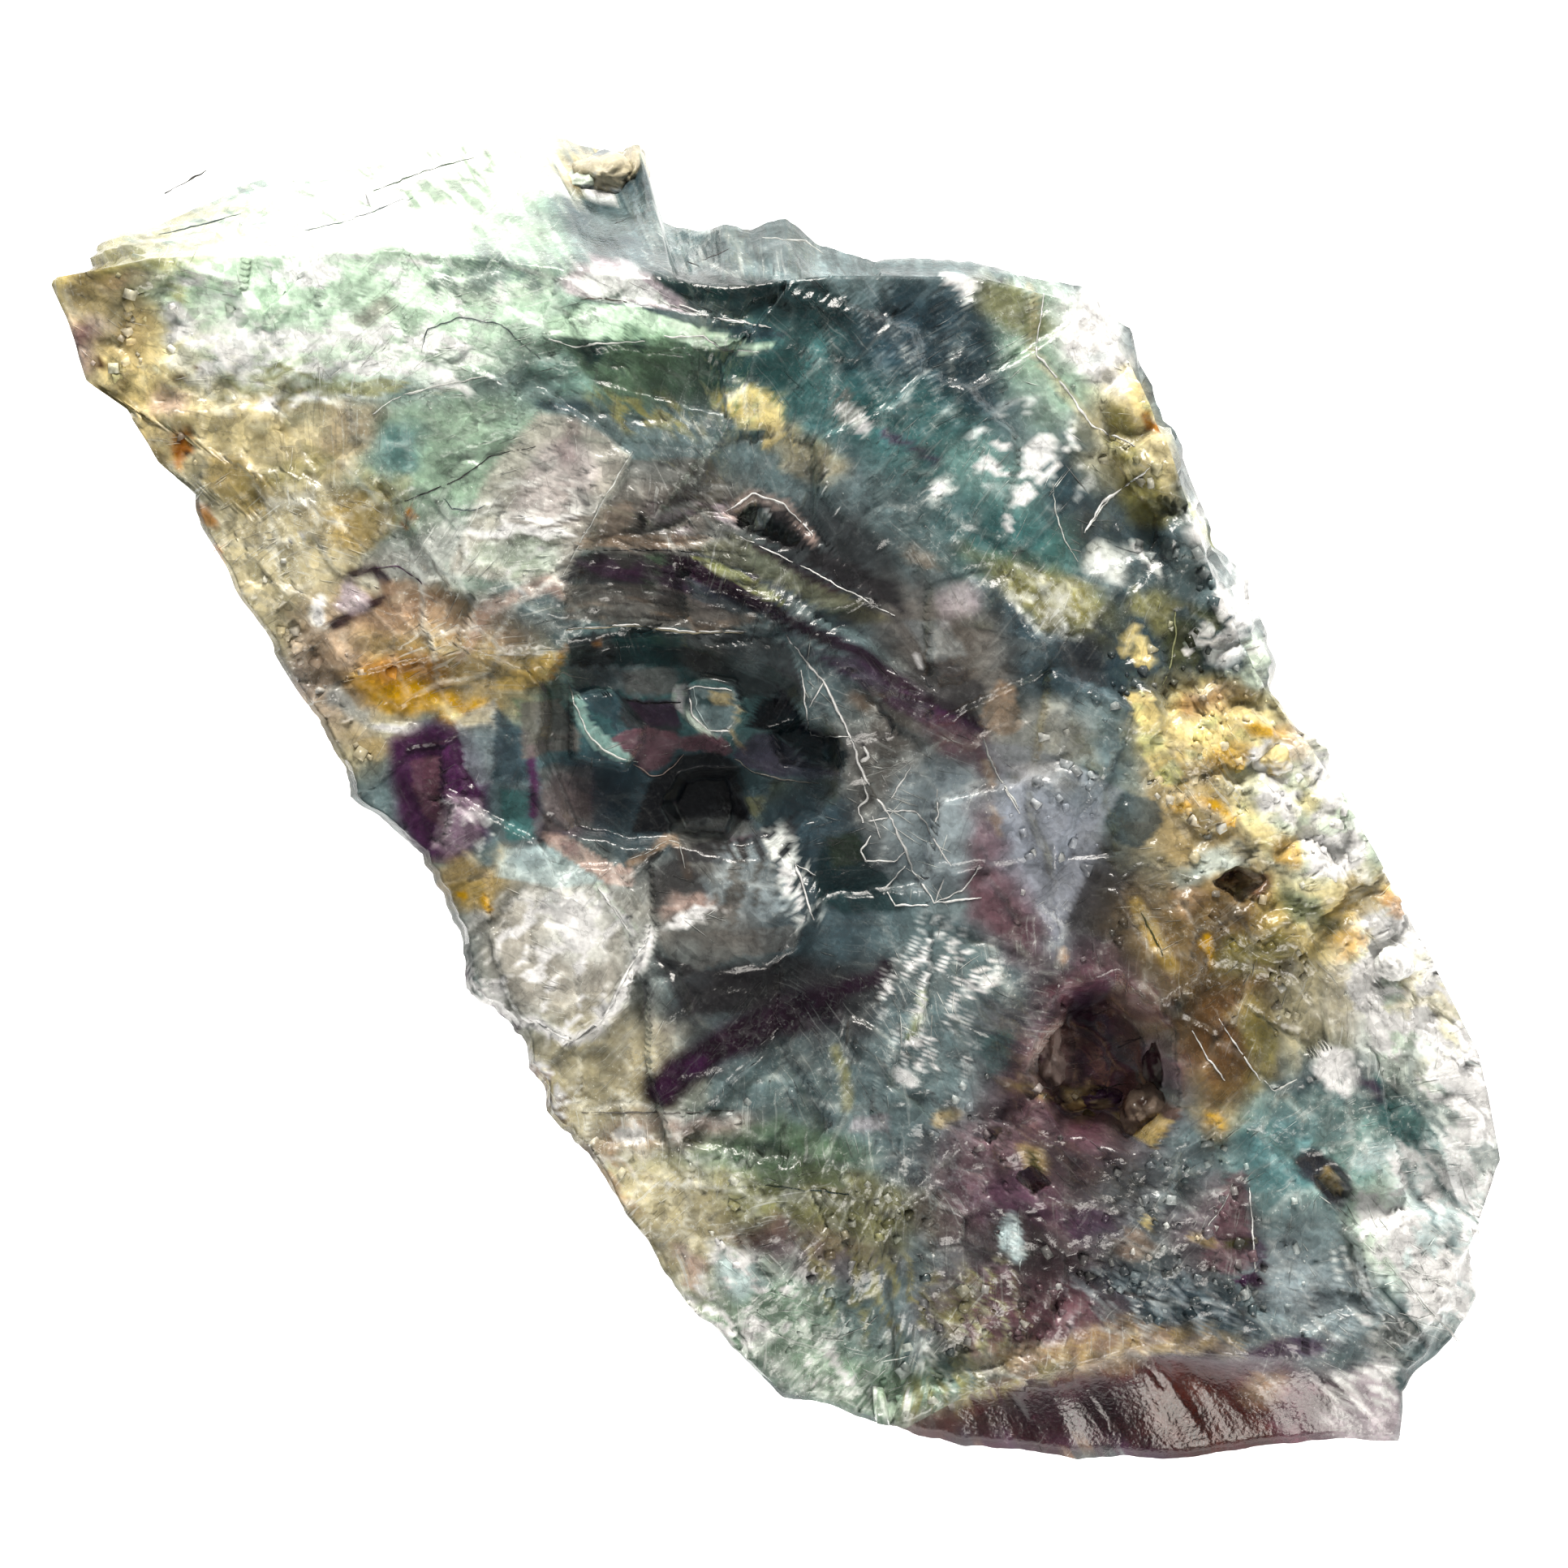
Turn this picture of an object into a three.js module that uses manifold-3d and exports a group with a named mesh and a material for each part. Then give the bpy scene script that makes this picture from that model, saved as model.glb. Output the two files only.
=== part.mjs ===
// A rough, broken piece of rainbow fluorite: one thick slab of clear, colour-banded crystal,
// lying on its broad back with its stepped, pitted face up. Millimetres, +Z up.
//
// The stone is drawn in its "face frame", as one looks down on the face: u to the right, v up,
// z out of the back. At the end it is turned so that its long way lies along X and is centred
// over the origin.

import * as THREE from 'three';
import { mergeVertices } from 'three/addons/utils/BufferGeometryUtils.js';
import Module from 'manifold-3d';

const wasm = await Module();
wasm.setup();

// ---- Driving sizes -------------------------------------------------------------------------

const FACE_LEVEL = 17; // height of the middle of the broad face over the back
const FACE_TURN = THREE.MathUtils.degToRad(45); // the long way lies 45 degrees across the face frame
const HUB = [0.5, 0.5]; // every outline can be seen whole from here
const EDGE_BEVEL = 0.4; // narrow bright bevel where the face runs right up to the outline
const GRID_ACROSS = 34; // cells each way over the face
const GRID_DOWN = 8; // cells down the broken sides
const BURIED = 1.5; // how far a raised form reaches down into the stone, and a pit's cutter above it
const BACK_CUT = 1; // the slab is drawn this far below its flat back, and the back then cut flat
const MERGE_DISTANCE = 1e-5; // corners closer than this are one corner

// Widest outline of the stone, clockwise from its left tip; the horn is at (-5.9, 26.3).
const GIRTH = [
  [-30.4, 20.9], [-29.5, 21.9], [-27.6, 23.0], [-22.4, 25.4], [-17.9, 26.5], [-13.5, 27.6],
  [-10.8, 28.1], [-8.9, 27.2], [-7.1, 26.6], [-5.9, 26.3], [-5.1, 23.5], [-3.0, 22.8], [0.1, 23.1],
  [2.5, 21.7], [7.0, 21.8], [9.1, 21.2], [12.5, 20.6], [15.0, 18.7], [15.5, 16.5], [16.7, 13.7],
  [17.9, 10.0], [19.3, 8.4], [20.6, 5.0], [20.2, 3.8], [21.8, 2.5], [23.6, 1.0], [25.2, -2.1],
  [27.1, -4.8], [27.1, -6.2], [28.3, -7.8], [29.9, -11.2], [30.8, -16.0], [30.3, -17.6],
  [29.0, -20.7], [27.1, -23.7], [25.5, -25.1], [25.3, -27.0], [22.7, -27.0], [20.0, -27.3],
  [16.1, -27.7], [11.1, -27.7], [7.8, -27.3], [5.0, -26.7], [2.6, -26.0], [-0.1, -25.3],
  [-2.4, -22.9], [-4.1, -21.4], [-6.3, -18.0], [-8.1, -15.2], [-9.7, -13.4], [-10.6, -10.6],
  [-11.4, -9.4], [-13.0, -8.3], [-13.2, -5.9], [-14.8, -3.1], [-17.6, -0.5], [-17.9, 0.7],
  [-19.0, 2.6], [-20.9, 5.4], [-21.8, 7.2], [-24.0, 10.6], [-24.1, 11.9], [-25.8, 13.2],
  [-27.4, 15.7], [-28.9, 16.6], [-29.7, 19.3],
];

// Outline of the broad face: its straight upper edge is the ridge over the long sloping side,
// and its lower right edge the line over the ledge. Elsewhere it lies outside the girth, and the
// face then runs right up to the girth.
const FACE = [
  [-29.6, 20.6], [-25.5, 21.3], [-15.5, 21.5], [-10.9, 21.0], [-6.9, 20.5], [-2.2, 20.0],
  [1.8, 20.5], [7.8, 20.6], [12.1, 19.6], [14.1, 17.2], [15.6, 13.6], [17.6, 7.9], [19.1, 4.5],
  [22.3, 0.2], [25.6, -5.5], [28.6, -11.1], [29.6, -15.5], [27.5, -21.1], [26.1, -24.1],
  [22.8, -23.6], [14.5, -22.9], [7.5, -24.8], [2.6, -27.5], [-7.5, -22.0], [-16.0, -8.0],
  [-24.0, 4.0], [-33.0, 17.0],
];

// The flat back that it rests on.
const FOOT = [
  [-26.0, 20.0], [-17.0, 25.4], [-11.0, 26.6], [-6.5, 25.0], [2.5, 20.6], [12.0, 18.6],
  [15.0, 12.0], [18.5, 3.5], [24.0, -4.5], [27.4, -13.0], [26.0, -20.5], [22.0, -24.4],
  [11.0, -24.8], [2.0, -22.0], [-3.5, -14.5], [-9.0, -4.5], [-16.5, 6.5], [-23.5, 14.5],
];

// How high over the back the stone is widest, by bearing in degrees from the hub.
const GIRTH_LEVELS = [
  [-180, 14.5], [-140, 15.2], [-108, 12.5], [-85, 11], [-45, 11.5], [-15, 9], [25, 9], [50, 7.5],
  [70, 12], [98, 13], [107, 5], [125, 2.6], [140, 6], [147, 11], [160, 14.5], [180, 14.5],
];

// The broad face is the lowest of these gently tilted cleavage planes: a point [u, v] that the
// plane passes through, its level there, and its rise per mm along u and v.
const FACE_PLANES = [
  { at: [0, 0], level: FACE_LEVEL, rise: [0.02, 0.03] },
  { at: [10.7, 5.4], level: FACE_LEVEL + 0.2, rise: [-0.34, -0.17] },
  { at: [8, -14], level: FACE_LEVEL - 0.4, rise: [-0.03, 0.17] },
  { at: [-20, 14], level: FACE_LEVEL - 0.4, rise: [0.16, -0.04] },
  { at: [24, -16], level: FACE_LEVEL - 4.0, rise: [-0.42, 0.1] },
];

// Broken facets over the face: flat chips with their own height and tilt, about this far apart.
const CHIPS = { spacing: 5.2, relief: 0.9, tilt: 0.2, seed: 11 };
const SIDE_CHIPS = { spacing: 6, relief: 2.4, tilt: 0.2, seed: 29 };
const SIDE_TURN = 22; // mm of side to a radian of bearing, for laying those chips out

// How deep the side's chips are, by bearing: the long sloping side is one nearly flat cleavage face.
const SIDE_CHIP_SHARES = [[-180, 1], [88, 1], [98, 0.15], [142, 0.15], [152, 1], [180, 1]];

// Flat cleavage faces that the sides broke along: a point [u, v, height] on each, and the way it
// faces. Most undercut the stone below its widest outline.
const CLEAVES = {
  left_undercut: { through: [-30.4, 20.9, 14.2], facing: [-0.79, -0.47, -0.39] },
  lower_left_undercut: { through: [-9.7, -13.4, 14.2], facing: [-0.78, -0.5, -0.38] },
  lower_undercut: { through: [9, -27.6, 8.6], facing: [-0.12, -0.86, -0.5] },
  lower_right_corner: { through: [28.8, -21.7, 8.6], facing: [0.74, -0.47, -0.48] },
  right_undercut: { through: [24.6, -1, 9], facing: [0.82, 0.4, -0.4] },
  upper_right_undercut: { through: [16.4, 14.6, 6.6], facing: [0.84, 0.24, -0.48] },
};
const CLEAVE_BLOCK = 80; // side of the block that is taken away beyond a cleavage face, or under the back

// The wide shallow basin in the middle of the face, which plates and blocks step down into. It
// goes from the face down to floor, mm over the back, and narrows to the given share of its
// outline on the way.
const BASIN = {
  floor: 14.9,
  narrow: 0.86,
  outline: [
    [-10.5, 4.5], [-8.9, 6.2], [-3.9, 6.4], [0.6, 4.5], [2.8, 0.9], [2.1, -1.5], [-1.2, -3.1],
    [-5.5, -3.0], [-9.2, -2.1], [-10.2, 0.5],
  ],
};

// Hollows, cut after the plates, and given as the basin is.
const PITS = {
  dark_hollow: {
    floor: 11.5,
    narrow: 0.5,
    outline: [[-5.5, -0.6], [-4.4, 1.0], [-1.4, 1.0], [-1.0, -0.8], [-2.0, -2.8], [-5.0, -2.8]],
  },
  teal_hollow: {
    floor: 12.8,
    narrow: 0.55,
    outline: [[-1.2, 2.5], [0.6, 3.2], [2.3, 2.0], [2.5, 0.5], [-0.5, 0.5]],
  },
  three_sided_hole: {
    floor: 13.4,
    narrow: 0.3,
    outline: [[-2.1, 10.7], [-1.0, 11.5], [1.1, 9.2], [-0.7, 9.9]],
  },
  plum_vug: {
    floor: 11.4,
    narrow: 0.6,
    outline: [
      [9.3, -11.5], [10.8, -8.1], [13.5, -7.3], [16.0, -9.8], [16.3, -13.1], [14.5, -15.3],
      [11.1, -14.8],
    ],
  },
  pinhole: {
    floor: 13.2,
    narrow: 0.5,
    outline: [[9.5, -15.8], [10.2, -15.0], [10.9, -16.0], [10.2, -16.9]],
  },
  brown_pocket: {
    floor: 12.6,
    narrow: 0.5,
    outline: [[17.3, -4.0], [18.5, -3.0], [19.6, -3.8], [18.6, -5.1]],
  },
  turquoise_pocket: {
    floor: 12.4,
    narrow: 0.4,
    outline: [[20.9, -15.8], [22.8, -15.0], [24.2, -16.8], [22.5, -18.0]],
  },
};

// Raised cleavage plates and steps. Each stands this high, mm over the back, at its middle, its
// top has its own tilt, and it narrows upwards to the given share of its outline.
const PLATES = {
  shell_plate: {
    top: 17.9,
    narrow: 0.93,
    rise: [0.09, -0.03],
    outline: [[-16.5, 12.2], [-13.5, 15.4], [-9.5, 16.2], [-5.9, 13.4], [-8.9, 6.9], [-13.5, 7.4]],
  },
  mint_plate: {
    top: 18.0,
    narrow: 0.85,
    rise: [0.02, 0.12],
    outline: [[-9.2, 18.9], [-5.5, 19.4], [-1.2, 18.5], [-0.5, 17.9], [-4.2, 17.3], [-8.2, 17.3]],
  },
  upper_step: {
    top: 17.5,
    narrow: 0.92,
    rise: [0.03, 0.05],
    outline: [[-8.9, 9.4], [-3.5, 11.1], [1.5, 10.2], [4.5, 7.2], [1.0, 6.6], [-4.5, 8.6]],
  },
  lower_step: {
    top: 16.6,
    narrow: 0.92,
    rise: [0.02, 0.06],
    outline: [[-9.4, 7.6], [-4.6, 8.8], [1.0, 6.9], [2.6, 5.0], [0.4, 4.8], [-4.2, 6.6], [-9.0, 6.4]],
  },
  long_rib: {
    top: 18.1,
    narrow: 0.55,
    rise: [0.01, 0.03],
    outline: [
      [-4.5, 9.2], [-1.5, 8.9], [1.5, 6.9], [4.9, 4.9], [8.9, 2.3], [8.3, 1.3], [4.1, 3.4],
      [0.4, 5.9], [-2.2, 7.8],
    ],
  },
  left_block: {
    top: 16.4,
    narrow: 0.85,
    rise: [-0.05, 0.08],
    outline: [[-8.9, 3.6], [-6.9, 4.0], [-5.6, 2.2], [-6.4, 0.4], [-8.6, 0.9]],
  },
  middle_block: {
    top: 16.6,
    narrow: 0.85,
    rise: [0.06, 0.05],
    outline: [[-4.0, 4.3], [-2.0, 4.5], [-1.6, 2.9], [-2.4, 1.5], [-3.9, 2.1]],
  },
  saw_edged_plate: {
    top: 17.5,
    narrow: 0.9,
    rise: [0.05, -0.05],
    outline: [
      [-5.5, -3.1], [-3.9, -2.3], [-2.2, -3.1], [-0.2, -2.6], [1.1, -4.8], [0.6, -6.8],
      [-2.2, -6.8], [-4.0, -7.8], [-5.4, -6.5],
    ],
  },
  round_lobe: {
    top: 17.7,
    narrow: 0.8,
    rise: [-0.03, 0.04],
    outline: [
      [-12.0, -6.1], [-10.2, -3.8], [-6.9, -3.1], [-5.4, -5.5], [-6.3, -8.8], [-8.9, -10.7],
      [-11.2, -9.1],
    ],
  },
  lilac_wedge: {
    top: 17.7,
    narrow: 0.35,
    rise: [-0.02, 0.03],
    outline: [[7.6, 1.9], [11.1, 2.9], [14.1, 2.5], [12.8, -2.5], [10.8, -7.3], [8.8, -2.8]],
  },
  fan_plate: {
    top: 13.4,
    narrow: 0.85,
    rise: [-0.3, 0.1],
    outline: [[22.8, -18.2], [26.5, -17.0], [29.0, -17.8], [27.4, -21.4], [25.6, -23.6], [23.8, -21.1]],
  },
};

// Small crystals and crumbly lumps: middle [u, v], height of the middle over the back, and size.
const PLUM_LUMP = { at: [11.9, -11.8], level: 13.2, size: [1.6, 2.4, 2.0] };
const TAN_BLOCK = { at: [15.0, -13.4], level: 13.6, size: [1.5, 2.2, 2.2], turn: 0.6 };
const PLUM_WEDGES = [
  { at: [18.0, -17.4], level: 13.6, radius: 1.1, turn: 0.3 },
  { at: [19.2, -19.6], level: 13.2, radius: 1.3, turn: 1.1 },
  { at: [17.2, -19.3], level: 13.9, radius: 0.9, turn: 2.0 },
];
const CRUMBLY_LUMPS = [
  { at: [14.3, 2.9], radius: 1.2 }, { at: [16.3, 1.6], radius: 1.5 }, { at: [18.6, 1.9], radius: 1.3 },
  { at: [20.3, 0.6], radius: 1.5 }, { at: [17.2, -0.9], radius: 1.2 }, { at: [19.4, -1.3], radius: 1.6 },
  { at: [21.8, -1.2], radius: 1.4 }, { at: [23.2, -2.9], radius: 1.3 }, { at: [21.4, -3.9], radius: 1.5 },
  { at: [24.1, -5.3], radius: 1.3 }, { at: [20.1, -6.0], radius: 1.1 }, { at: [22.6, -6.6], radius: 1.4 },
  { at: [25.4, -7.4], radius: 1.2 }, { at: [24.6, -9.6], radius: 1.3 }, { at: [27.0, -10.8], radius: 1.1 },
  { at: [14.2, 15.4], radius: 1.1 }, { at: [15.3, 12.9], radius: 1.2 }, { at: [16.3, 9.9], radius: 1.1 },
  { at: [17.7, 6.7], radius: 1.2 }, { at: [18.7, 4.4], radius: 1.1 }, { at: [27.6, -14.0], radius: 1.2 },
];
const WEDGE_STRETCH = 1.5; // how much longer than wide a wedge is
const LUMP_SQUASH = [1.25, 1, 0.85];
const LUMP_PROUD = 0.3; // share of a crumbly lump's radius that its middle stands over the face
const RIM_LUMPS = [
  { at: [-28.3, 18.0], level: 13.2, radius: 1.1 }, { at: [-27.2, 16.4], level: 13.6, radius: 1.0 },
  { at: [-6.6, 25.0], level: 5.6, radius: 1.5 }, { at: [-7.9, 25.7], level: 5.0, radius: 1.3 },
  { at: [23.8, -25.4], level: 10.6, radius: 1.5 }, { at: [20.8, -25.6], level: 10.9, radius: 1.3 },
];

// ---- Shape of the slab ---------------------------------------------------------------------

// A repeatable number from 0 to 1 for a cell of a grid.
function chance(i, j, k) {
  let n = Math.imul(i, 73856093) ^ Math.imul(j, 19349663) ^ Math.imul(k, 83492791);
  n = Math.imul(n ^ (n >>> 13), 1274126177);
  n = Math.imul(n ^ (n >>> 15), 668265263);
  return ((n ^ (n >>> 16)) >>> 0) / 4294967296;
}

// Height of the flat chip that a point lies on: the chip whose seed is nearest.
function chipHeight(u, v, { spacing, relief, tilt, seed }) {
  const column = Math.floor(u / spacing);
  const row = Math.floor(v / spacing);
  let nearest = Infinity;
  let height = 0;
  for (let i = column - 1; i <= column + 1; i++) {
    for (let j = row - 1; j <= row + 1; j++) {
      const du = u - (i + chance(i, j, seed)) * spacing;
      const dv = v - (j + chance(i, j, seed + 1)) * spacing;
      const distance = du * du + dv * dv;
      if (distance >= nearest) continue;
      nearest = distance;
      height = (chance(i, j, seed + 2) - 0.5) * relief;
      height += du * (chance(i, j, seed + 3) - 0.5) * tilt * 2;
      height += dv * (chance(i, j, seed + 4) - 0.5) * tilt * 2;
    }
  }
  return height;
}

// Distance from the hub to a closed outline along a bearing.
function reach(outline, bearing) {
  const along = [Math.cos(bearing), Math.sin(bearing)];
  let farthest = 0;
  outline.forEach((start, index) => {
    const end = outline[(index + 1) % outline.length];
    const edge = [end[0] - start[0], end[1] - start[1]];
    const from = [start[0] - HUB[0], start[1] - HUB[1]];
    const cross = along[0] * edge[1] - along[1] * edge[0];
    const distance = (from[0] * edge[1] - from[1] * edge[0]) / cross;
    const share = (from[0] * along[1] - from[1] * along[0]) / cross;
    if (share >= 0 && share <= 1 && distance > farthest) farthest = distance;
  });
  return farthest;
}

// A value read off a table of [bearing in degrees, value] by straight lines.
function byBearing(table, bearing) {
  const degrees = THREE.MathUtils.radToDeg(bearing);
  const next = Math.max(1, table.findIndex(([at]) => at >= degrees));
  const [from, low] = table[next - 1];
  const [to, high] = table[next];
  return THREE.MathUtils.mapLinear(degrees, from, to, low, high);
}

function planeHeight({ at, level, rise }, u, v) {
  return level + rise[0] * (u - at[0]) + rise[1] * (v - at[1]);
}

function faceHeight(u, v) {
  const slab = Math.min(...FACE_PLANES.map((plane) => planeHeight(plane, u, v)));
  return slab + chipHeight(u, v, CHIPS);
}

// The three rings that a side runs through at one bearing: [distance from the hub, height].
function sideRings(bearing) {
  const girth = reach(GIRTH, bearing);
  const rim = Math.min(reach(FACE, bearing), girth - EDGE_BEVEL);
  const foot = Math.min(reach(FOOT, bearing), girth - EDGE_BEVEL);
  const u = HUB[0] + rim * Math.cos(bearing);
  const v = HUB[1] + rim * Math.sin(bearing);
  const rimHeight = faceHeight(u, v);
  const level = Math.min(byBearing(GIRTH_LEVELS, bearing), rimHeight - EDGE_BEVEL * 2);
  return { rim: [rim, rimHeight], girth: [girth, level], foot: [foot, -BACK_CUT] };
}

// A point of a side, from the rim of the face (down = 0) over the girth (0.5) to the foot (1).
// Chips are broken out of it between those three rings.
function sidePoint(bearing, down) {
  const { rim, girth, foot } = sideRings(bearing);
  const [from, to, share] = down < 0.5 ? [rim, girth, down * 2] : [girth, foot, down * 2 - 1];
  const height = THREE.MathUtils.lerp(from[1], to[1], share);
  const chip = SIDE_CHIPS.relief / 2 + chipHeight(bearing * SIDE_TURN, height, SIDE_CHIPS);
  const between = 4 * share * (1 - share);
  const room = Math.min(1, Math.abs(from[1] - to[1]) / SIDE_CHIPS.spacing);
  const depth = chip * between * room * byBearing(SIDE_CHIP_SHARES, bearing);
  return [THREE.MathUtils.lerp(from[0], to[0], share) - depth, height];
}

// The slab: a box's grid drawn out over the outlines, each cell keeping its bearing.
function slabGeometry() {
  const box = new THREE.BoxGeometry(2, 2, 2, GRID_ACROSS, GRID_ACROSS, GRID_DOWN);
  box.deleteAttribute('normal');
  box.deleteAttribute('uv');
  const geometry = mergeVertices(box);
  const points = geometry.getAttribute('position');
  for (let index = 0; index < points.count; index++) {
    const [x, y, z] = [points.getX(index), points.getY(index), points.getZ(index)];
    const bearing = Math.atan2(y, x);
    const out = Math.max(Math.abs(x), Math.abs(y));
    const [distance, sideHeight] = sidePoint(bearing, (1 - z) / 2);
    const u = HUB[0] + out * distance * Math.cos(bearing);
    const v = HUB[1] + out * distance * Math.sin(bearing);
    const onFace = z === 1 && out < 1;
    points.setXYZ(index, u, v, onFace ? faceHeight(u, v) : sideHeight);
  }
  return geometry;
}

// ---- Hollows, plates and crystals ----------------------------------------------------------

// A prism over an outline, from one height to another. The end that isn't at the outline's full
// size is drawn in about its middle, and the whole is tilted by rise.
function prismGeometry({ outline, narrow, rise = [0, 0] }, low, high, narrowEnd) {
  const shape = new THREE.Shape(outline.map(([u, v]) => new THREE.Vector2(u, v)));
  const prism = new THREE.ExtrudeGeometry(shape, { depth: high - low, bevelEnabled: false });
  const middle = outline.reduce(([u, v], [x, y]) => [u + x / outline.length, v + y / outline.length], [0, 0]);
  const points = prism.getAttribute('position');
  for (let index = 0; index < points.count; index++) {
    const atTop = points.getZ(index) > 0;
    const scale = atTop === (narrowEnd === 'top') ? narrow : 1;
    const du = (points.getX(index) - middle[0]) * scale;
    const dv = (points.getY(index) - middle[1]) * scale;
    const height = low + points.getZ(index) + rise[0] * du + rise[1] * dv;
    points.setXYZ(index, middle[0] + du, middle[1] + dv, height);
  }
  return prism;
}

function pitGeometry(pit) {
  return prismGeometry(pit, pit.floor, FACE_LEVEL + BURIED, 'bottom');
}

function plateGeometry(plate) {
  return prismGeometry(plate, plate.top - BURIED * 2, plate.top, 'top');
}

// A crumbly grain: a twelve-sided lump, turned its own way.
function lumpGeometry({ at, radius, level }) {
  const height = level ?? faceHeight(...at) + radius * LUMP_PROUD;
  const lump = new THREE.DodecahedronGeometry(radius);
  lump.scale(...LUMP_SQUASH);
  lump.rotateX(at[0]);
  lump.rotateZ(at[1]);
  return lump.translate(at[0], at[1], height);
}

function plumLumpGeometry() {
  const { at, level, size } = PLUM_LUMP;
  const lump = new THREE.IcosahedronGeometry(1);
  lump.scale(...size);
  return lump.translate(at[0], at[1], level);
}

function tanBlockGeometry() {
  const { at, level, size, turn } = TAN_BLOCK;
  const block = new THREE.BoxGeometry(...size);
  block.rotateX(turn / 2);
  block.rotateZ(-turn);
  return block.translate(at[0], at[1], level);
}

// An eight-sided cleavage wedge, half sunk in the face.
function wedgeGeometry({ at, level, radius, turn }) {
  const wedge = new THREE.OctahedronGeometry(radius);
  wedge.scale(1, WEDGE_STRETCH, 1);
  wedge.rotateZ(turn);
  return wedge.translate(at[0], at[1], level);
}

// ---- Joining and cutting -------------------------------------------------------------------

function solid(geometry) {
  const bare = geometry.clone();
  bare.deleteAttribute('normal');
  bare.deleteAttribute('uv');
  const merged = mergeVertices(bare, MERGE_DISTANCE);
  const vertProperties = new Float32Array(merged.getAttribute('position').array);
  const triVerts = new Uint32Array(merged.index.array);
  return new wasm.Manifold(new wasm.Mesh({ numProp: 3, vertProperties, triVerts }));
}

// Everything under the flat back.
function belowBackGeometry() {
  const block = new THREE.BoxGeometry(CLEAVE_BLOCK, CLEAVE_BLOCK, BACK_CUT * 4);
  return block.translate(0, 0, -BACK_CUT * 2);
}

// Everything beyond a cleavage face.
function cleaveGeometry({ through, facing }) {
  const block = new THREE.BoxGeometry(CLEAVE_BLOCK, CLEAVE_BLOCK, CLEAVE_BLOCK);
  const outward = new THREE.Vector3(...facing).normalize();
  block.translate(0, 0, CLEAVE_BLOCK / 2);
  block.applyQuaternion(new THREE.Quaternion().setFromUnitVectors(new THREE.Vector3(0, 0, 1), outward));
  return block.translate(...through);
}

function grownForms() {
  return [
    ...CRUMBLY_LUMPS.map(lumpGeometry),
    ...RIM_LUMPS.map(lumpGeometry),
    ...PLUM_WEDGES.map(wedgeGeometry),
    plumLumpGeometry(),
    tanBlockGeometry(),
  ];
}

function stoneGeometry() {
  const cuts = [belowBackGeometry(), ...Object.values(CLEAVES).map(cleaveGeometry), pitGeometry(BASIN)];
  let stone = solid(slabGeometry());
  cuts.forEach((cut) => {
    stone = stone.subtract(solid(cut));
  });
  Object.values(PLATES).forEach((plate) => {
    stone = stone.add(solid(plateGeometry(plate)));
  });
  Object.values(PITS).forEach((pit) => {
    stone = stone.subtract(solid(pitGeometry(pit)));
  });
  grownForms().forEach((form) => {
    stone = stone.add(solid(form));
  });
  const { vertProperties, triVerts } = stone.getMesh();
  const geometry = new THREE.BufferGeometry();
  geometry.setAttribute('position', new THREE.BufferAttribute(vertProperties, 3));
  geometry.setIndex(new THREE.BufferAttribute(triVerts, 1));
  return geometry;
}

// ---- The part ------------------------------------------------------------------------------

function fluoriteChunk() {
  const geometry = stoneGeometry();
  geometry.rotateZ(FACE_TURN);
  geometry.computeBoundingBox();
  const middle = geometry.boundingBox.getCenter(new THREE.Vector3());
  geometry.translate(-middle.x, -middle.y, 0);
  geometry.computeVertexNormals();
  const fluorite = new THREE.MeshStandardMaterial({
    color: 0x8fb5a8,
    roughness: 0.25,
    metalness: 0,
    transparent: true,
    opacity: 0.8,
    flatShading: true,
  });
  const chunk = new THREE.Mesh(geometry, fluorite);
  chunk.name = 'fluorite_chunk';
  return chunk;
}

const part = new THREE.Group();
part.add(fluoriteChunk());

export default part;
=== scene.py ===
"""Looks of a rough, broken slab of rainbow fluorite that lies on its back.

Lengths in the tables are millimetres in the stone's "face frame": u to the right and v up as one
looks down on the broad face, heights over the flat back. Meshes are made in metres, turned and
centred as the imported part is.
"""

import logging
import math
from dataclasses import dataclass
from enum import Enum
from typing import Any, Callable, ClassVar, Sequence

import bpy
import numpy as np
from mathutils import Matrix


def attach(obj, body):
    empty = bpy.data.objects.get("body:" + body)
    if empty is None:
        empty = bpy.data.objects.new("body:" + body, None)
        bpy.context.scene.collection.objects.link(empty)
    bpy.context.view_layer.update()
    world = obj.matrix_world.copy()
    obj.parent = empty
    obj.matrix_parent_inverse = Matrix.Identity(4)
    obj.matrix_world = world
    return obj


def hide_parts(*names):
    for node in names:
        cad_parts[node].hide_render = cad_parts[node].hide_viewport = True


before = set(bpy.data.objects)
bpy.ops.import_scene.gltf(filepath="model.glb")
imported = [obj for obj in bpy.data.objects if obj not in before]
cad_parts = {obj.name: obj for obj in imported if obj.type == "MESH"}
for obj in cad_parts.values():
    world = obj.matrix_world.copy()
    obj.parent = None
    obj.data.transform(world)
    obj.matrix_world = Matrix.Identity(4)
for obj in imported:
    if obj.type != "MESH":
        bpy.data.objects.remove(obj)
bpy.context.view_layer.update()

LOG = logging.getLogger("fluorite")

NODE = "fluorite_chunk"
BODY = "root"
MM = 0.001

Array = np.ndarray
Pair = tuple[float, float]
Points = Sequence[Pair]
Triple = tuple[float, float, float]
Colour = tuple[float, float, float]
Density = Callable[[Array, Array], Array]

FAR = 1e9  # stands for no limit
NEARLY_ZERO = 1e-12

# ---- Driving sizes, mm -----------------------------------------------------------------------

FACE_LEVEL = 17.0
FACE_TURN = math.radians(45.0)
HUB = (0.5, 0.5)
EDGE_BEVEL = 0.4
SIDE_TURN = 22.0

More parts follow.
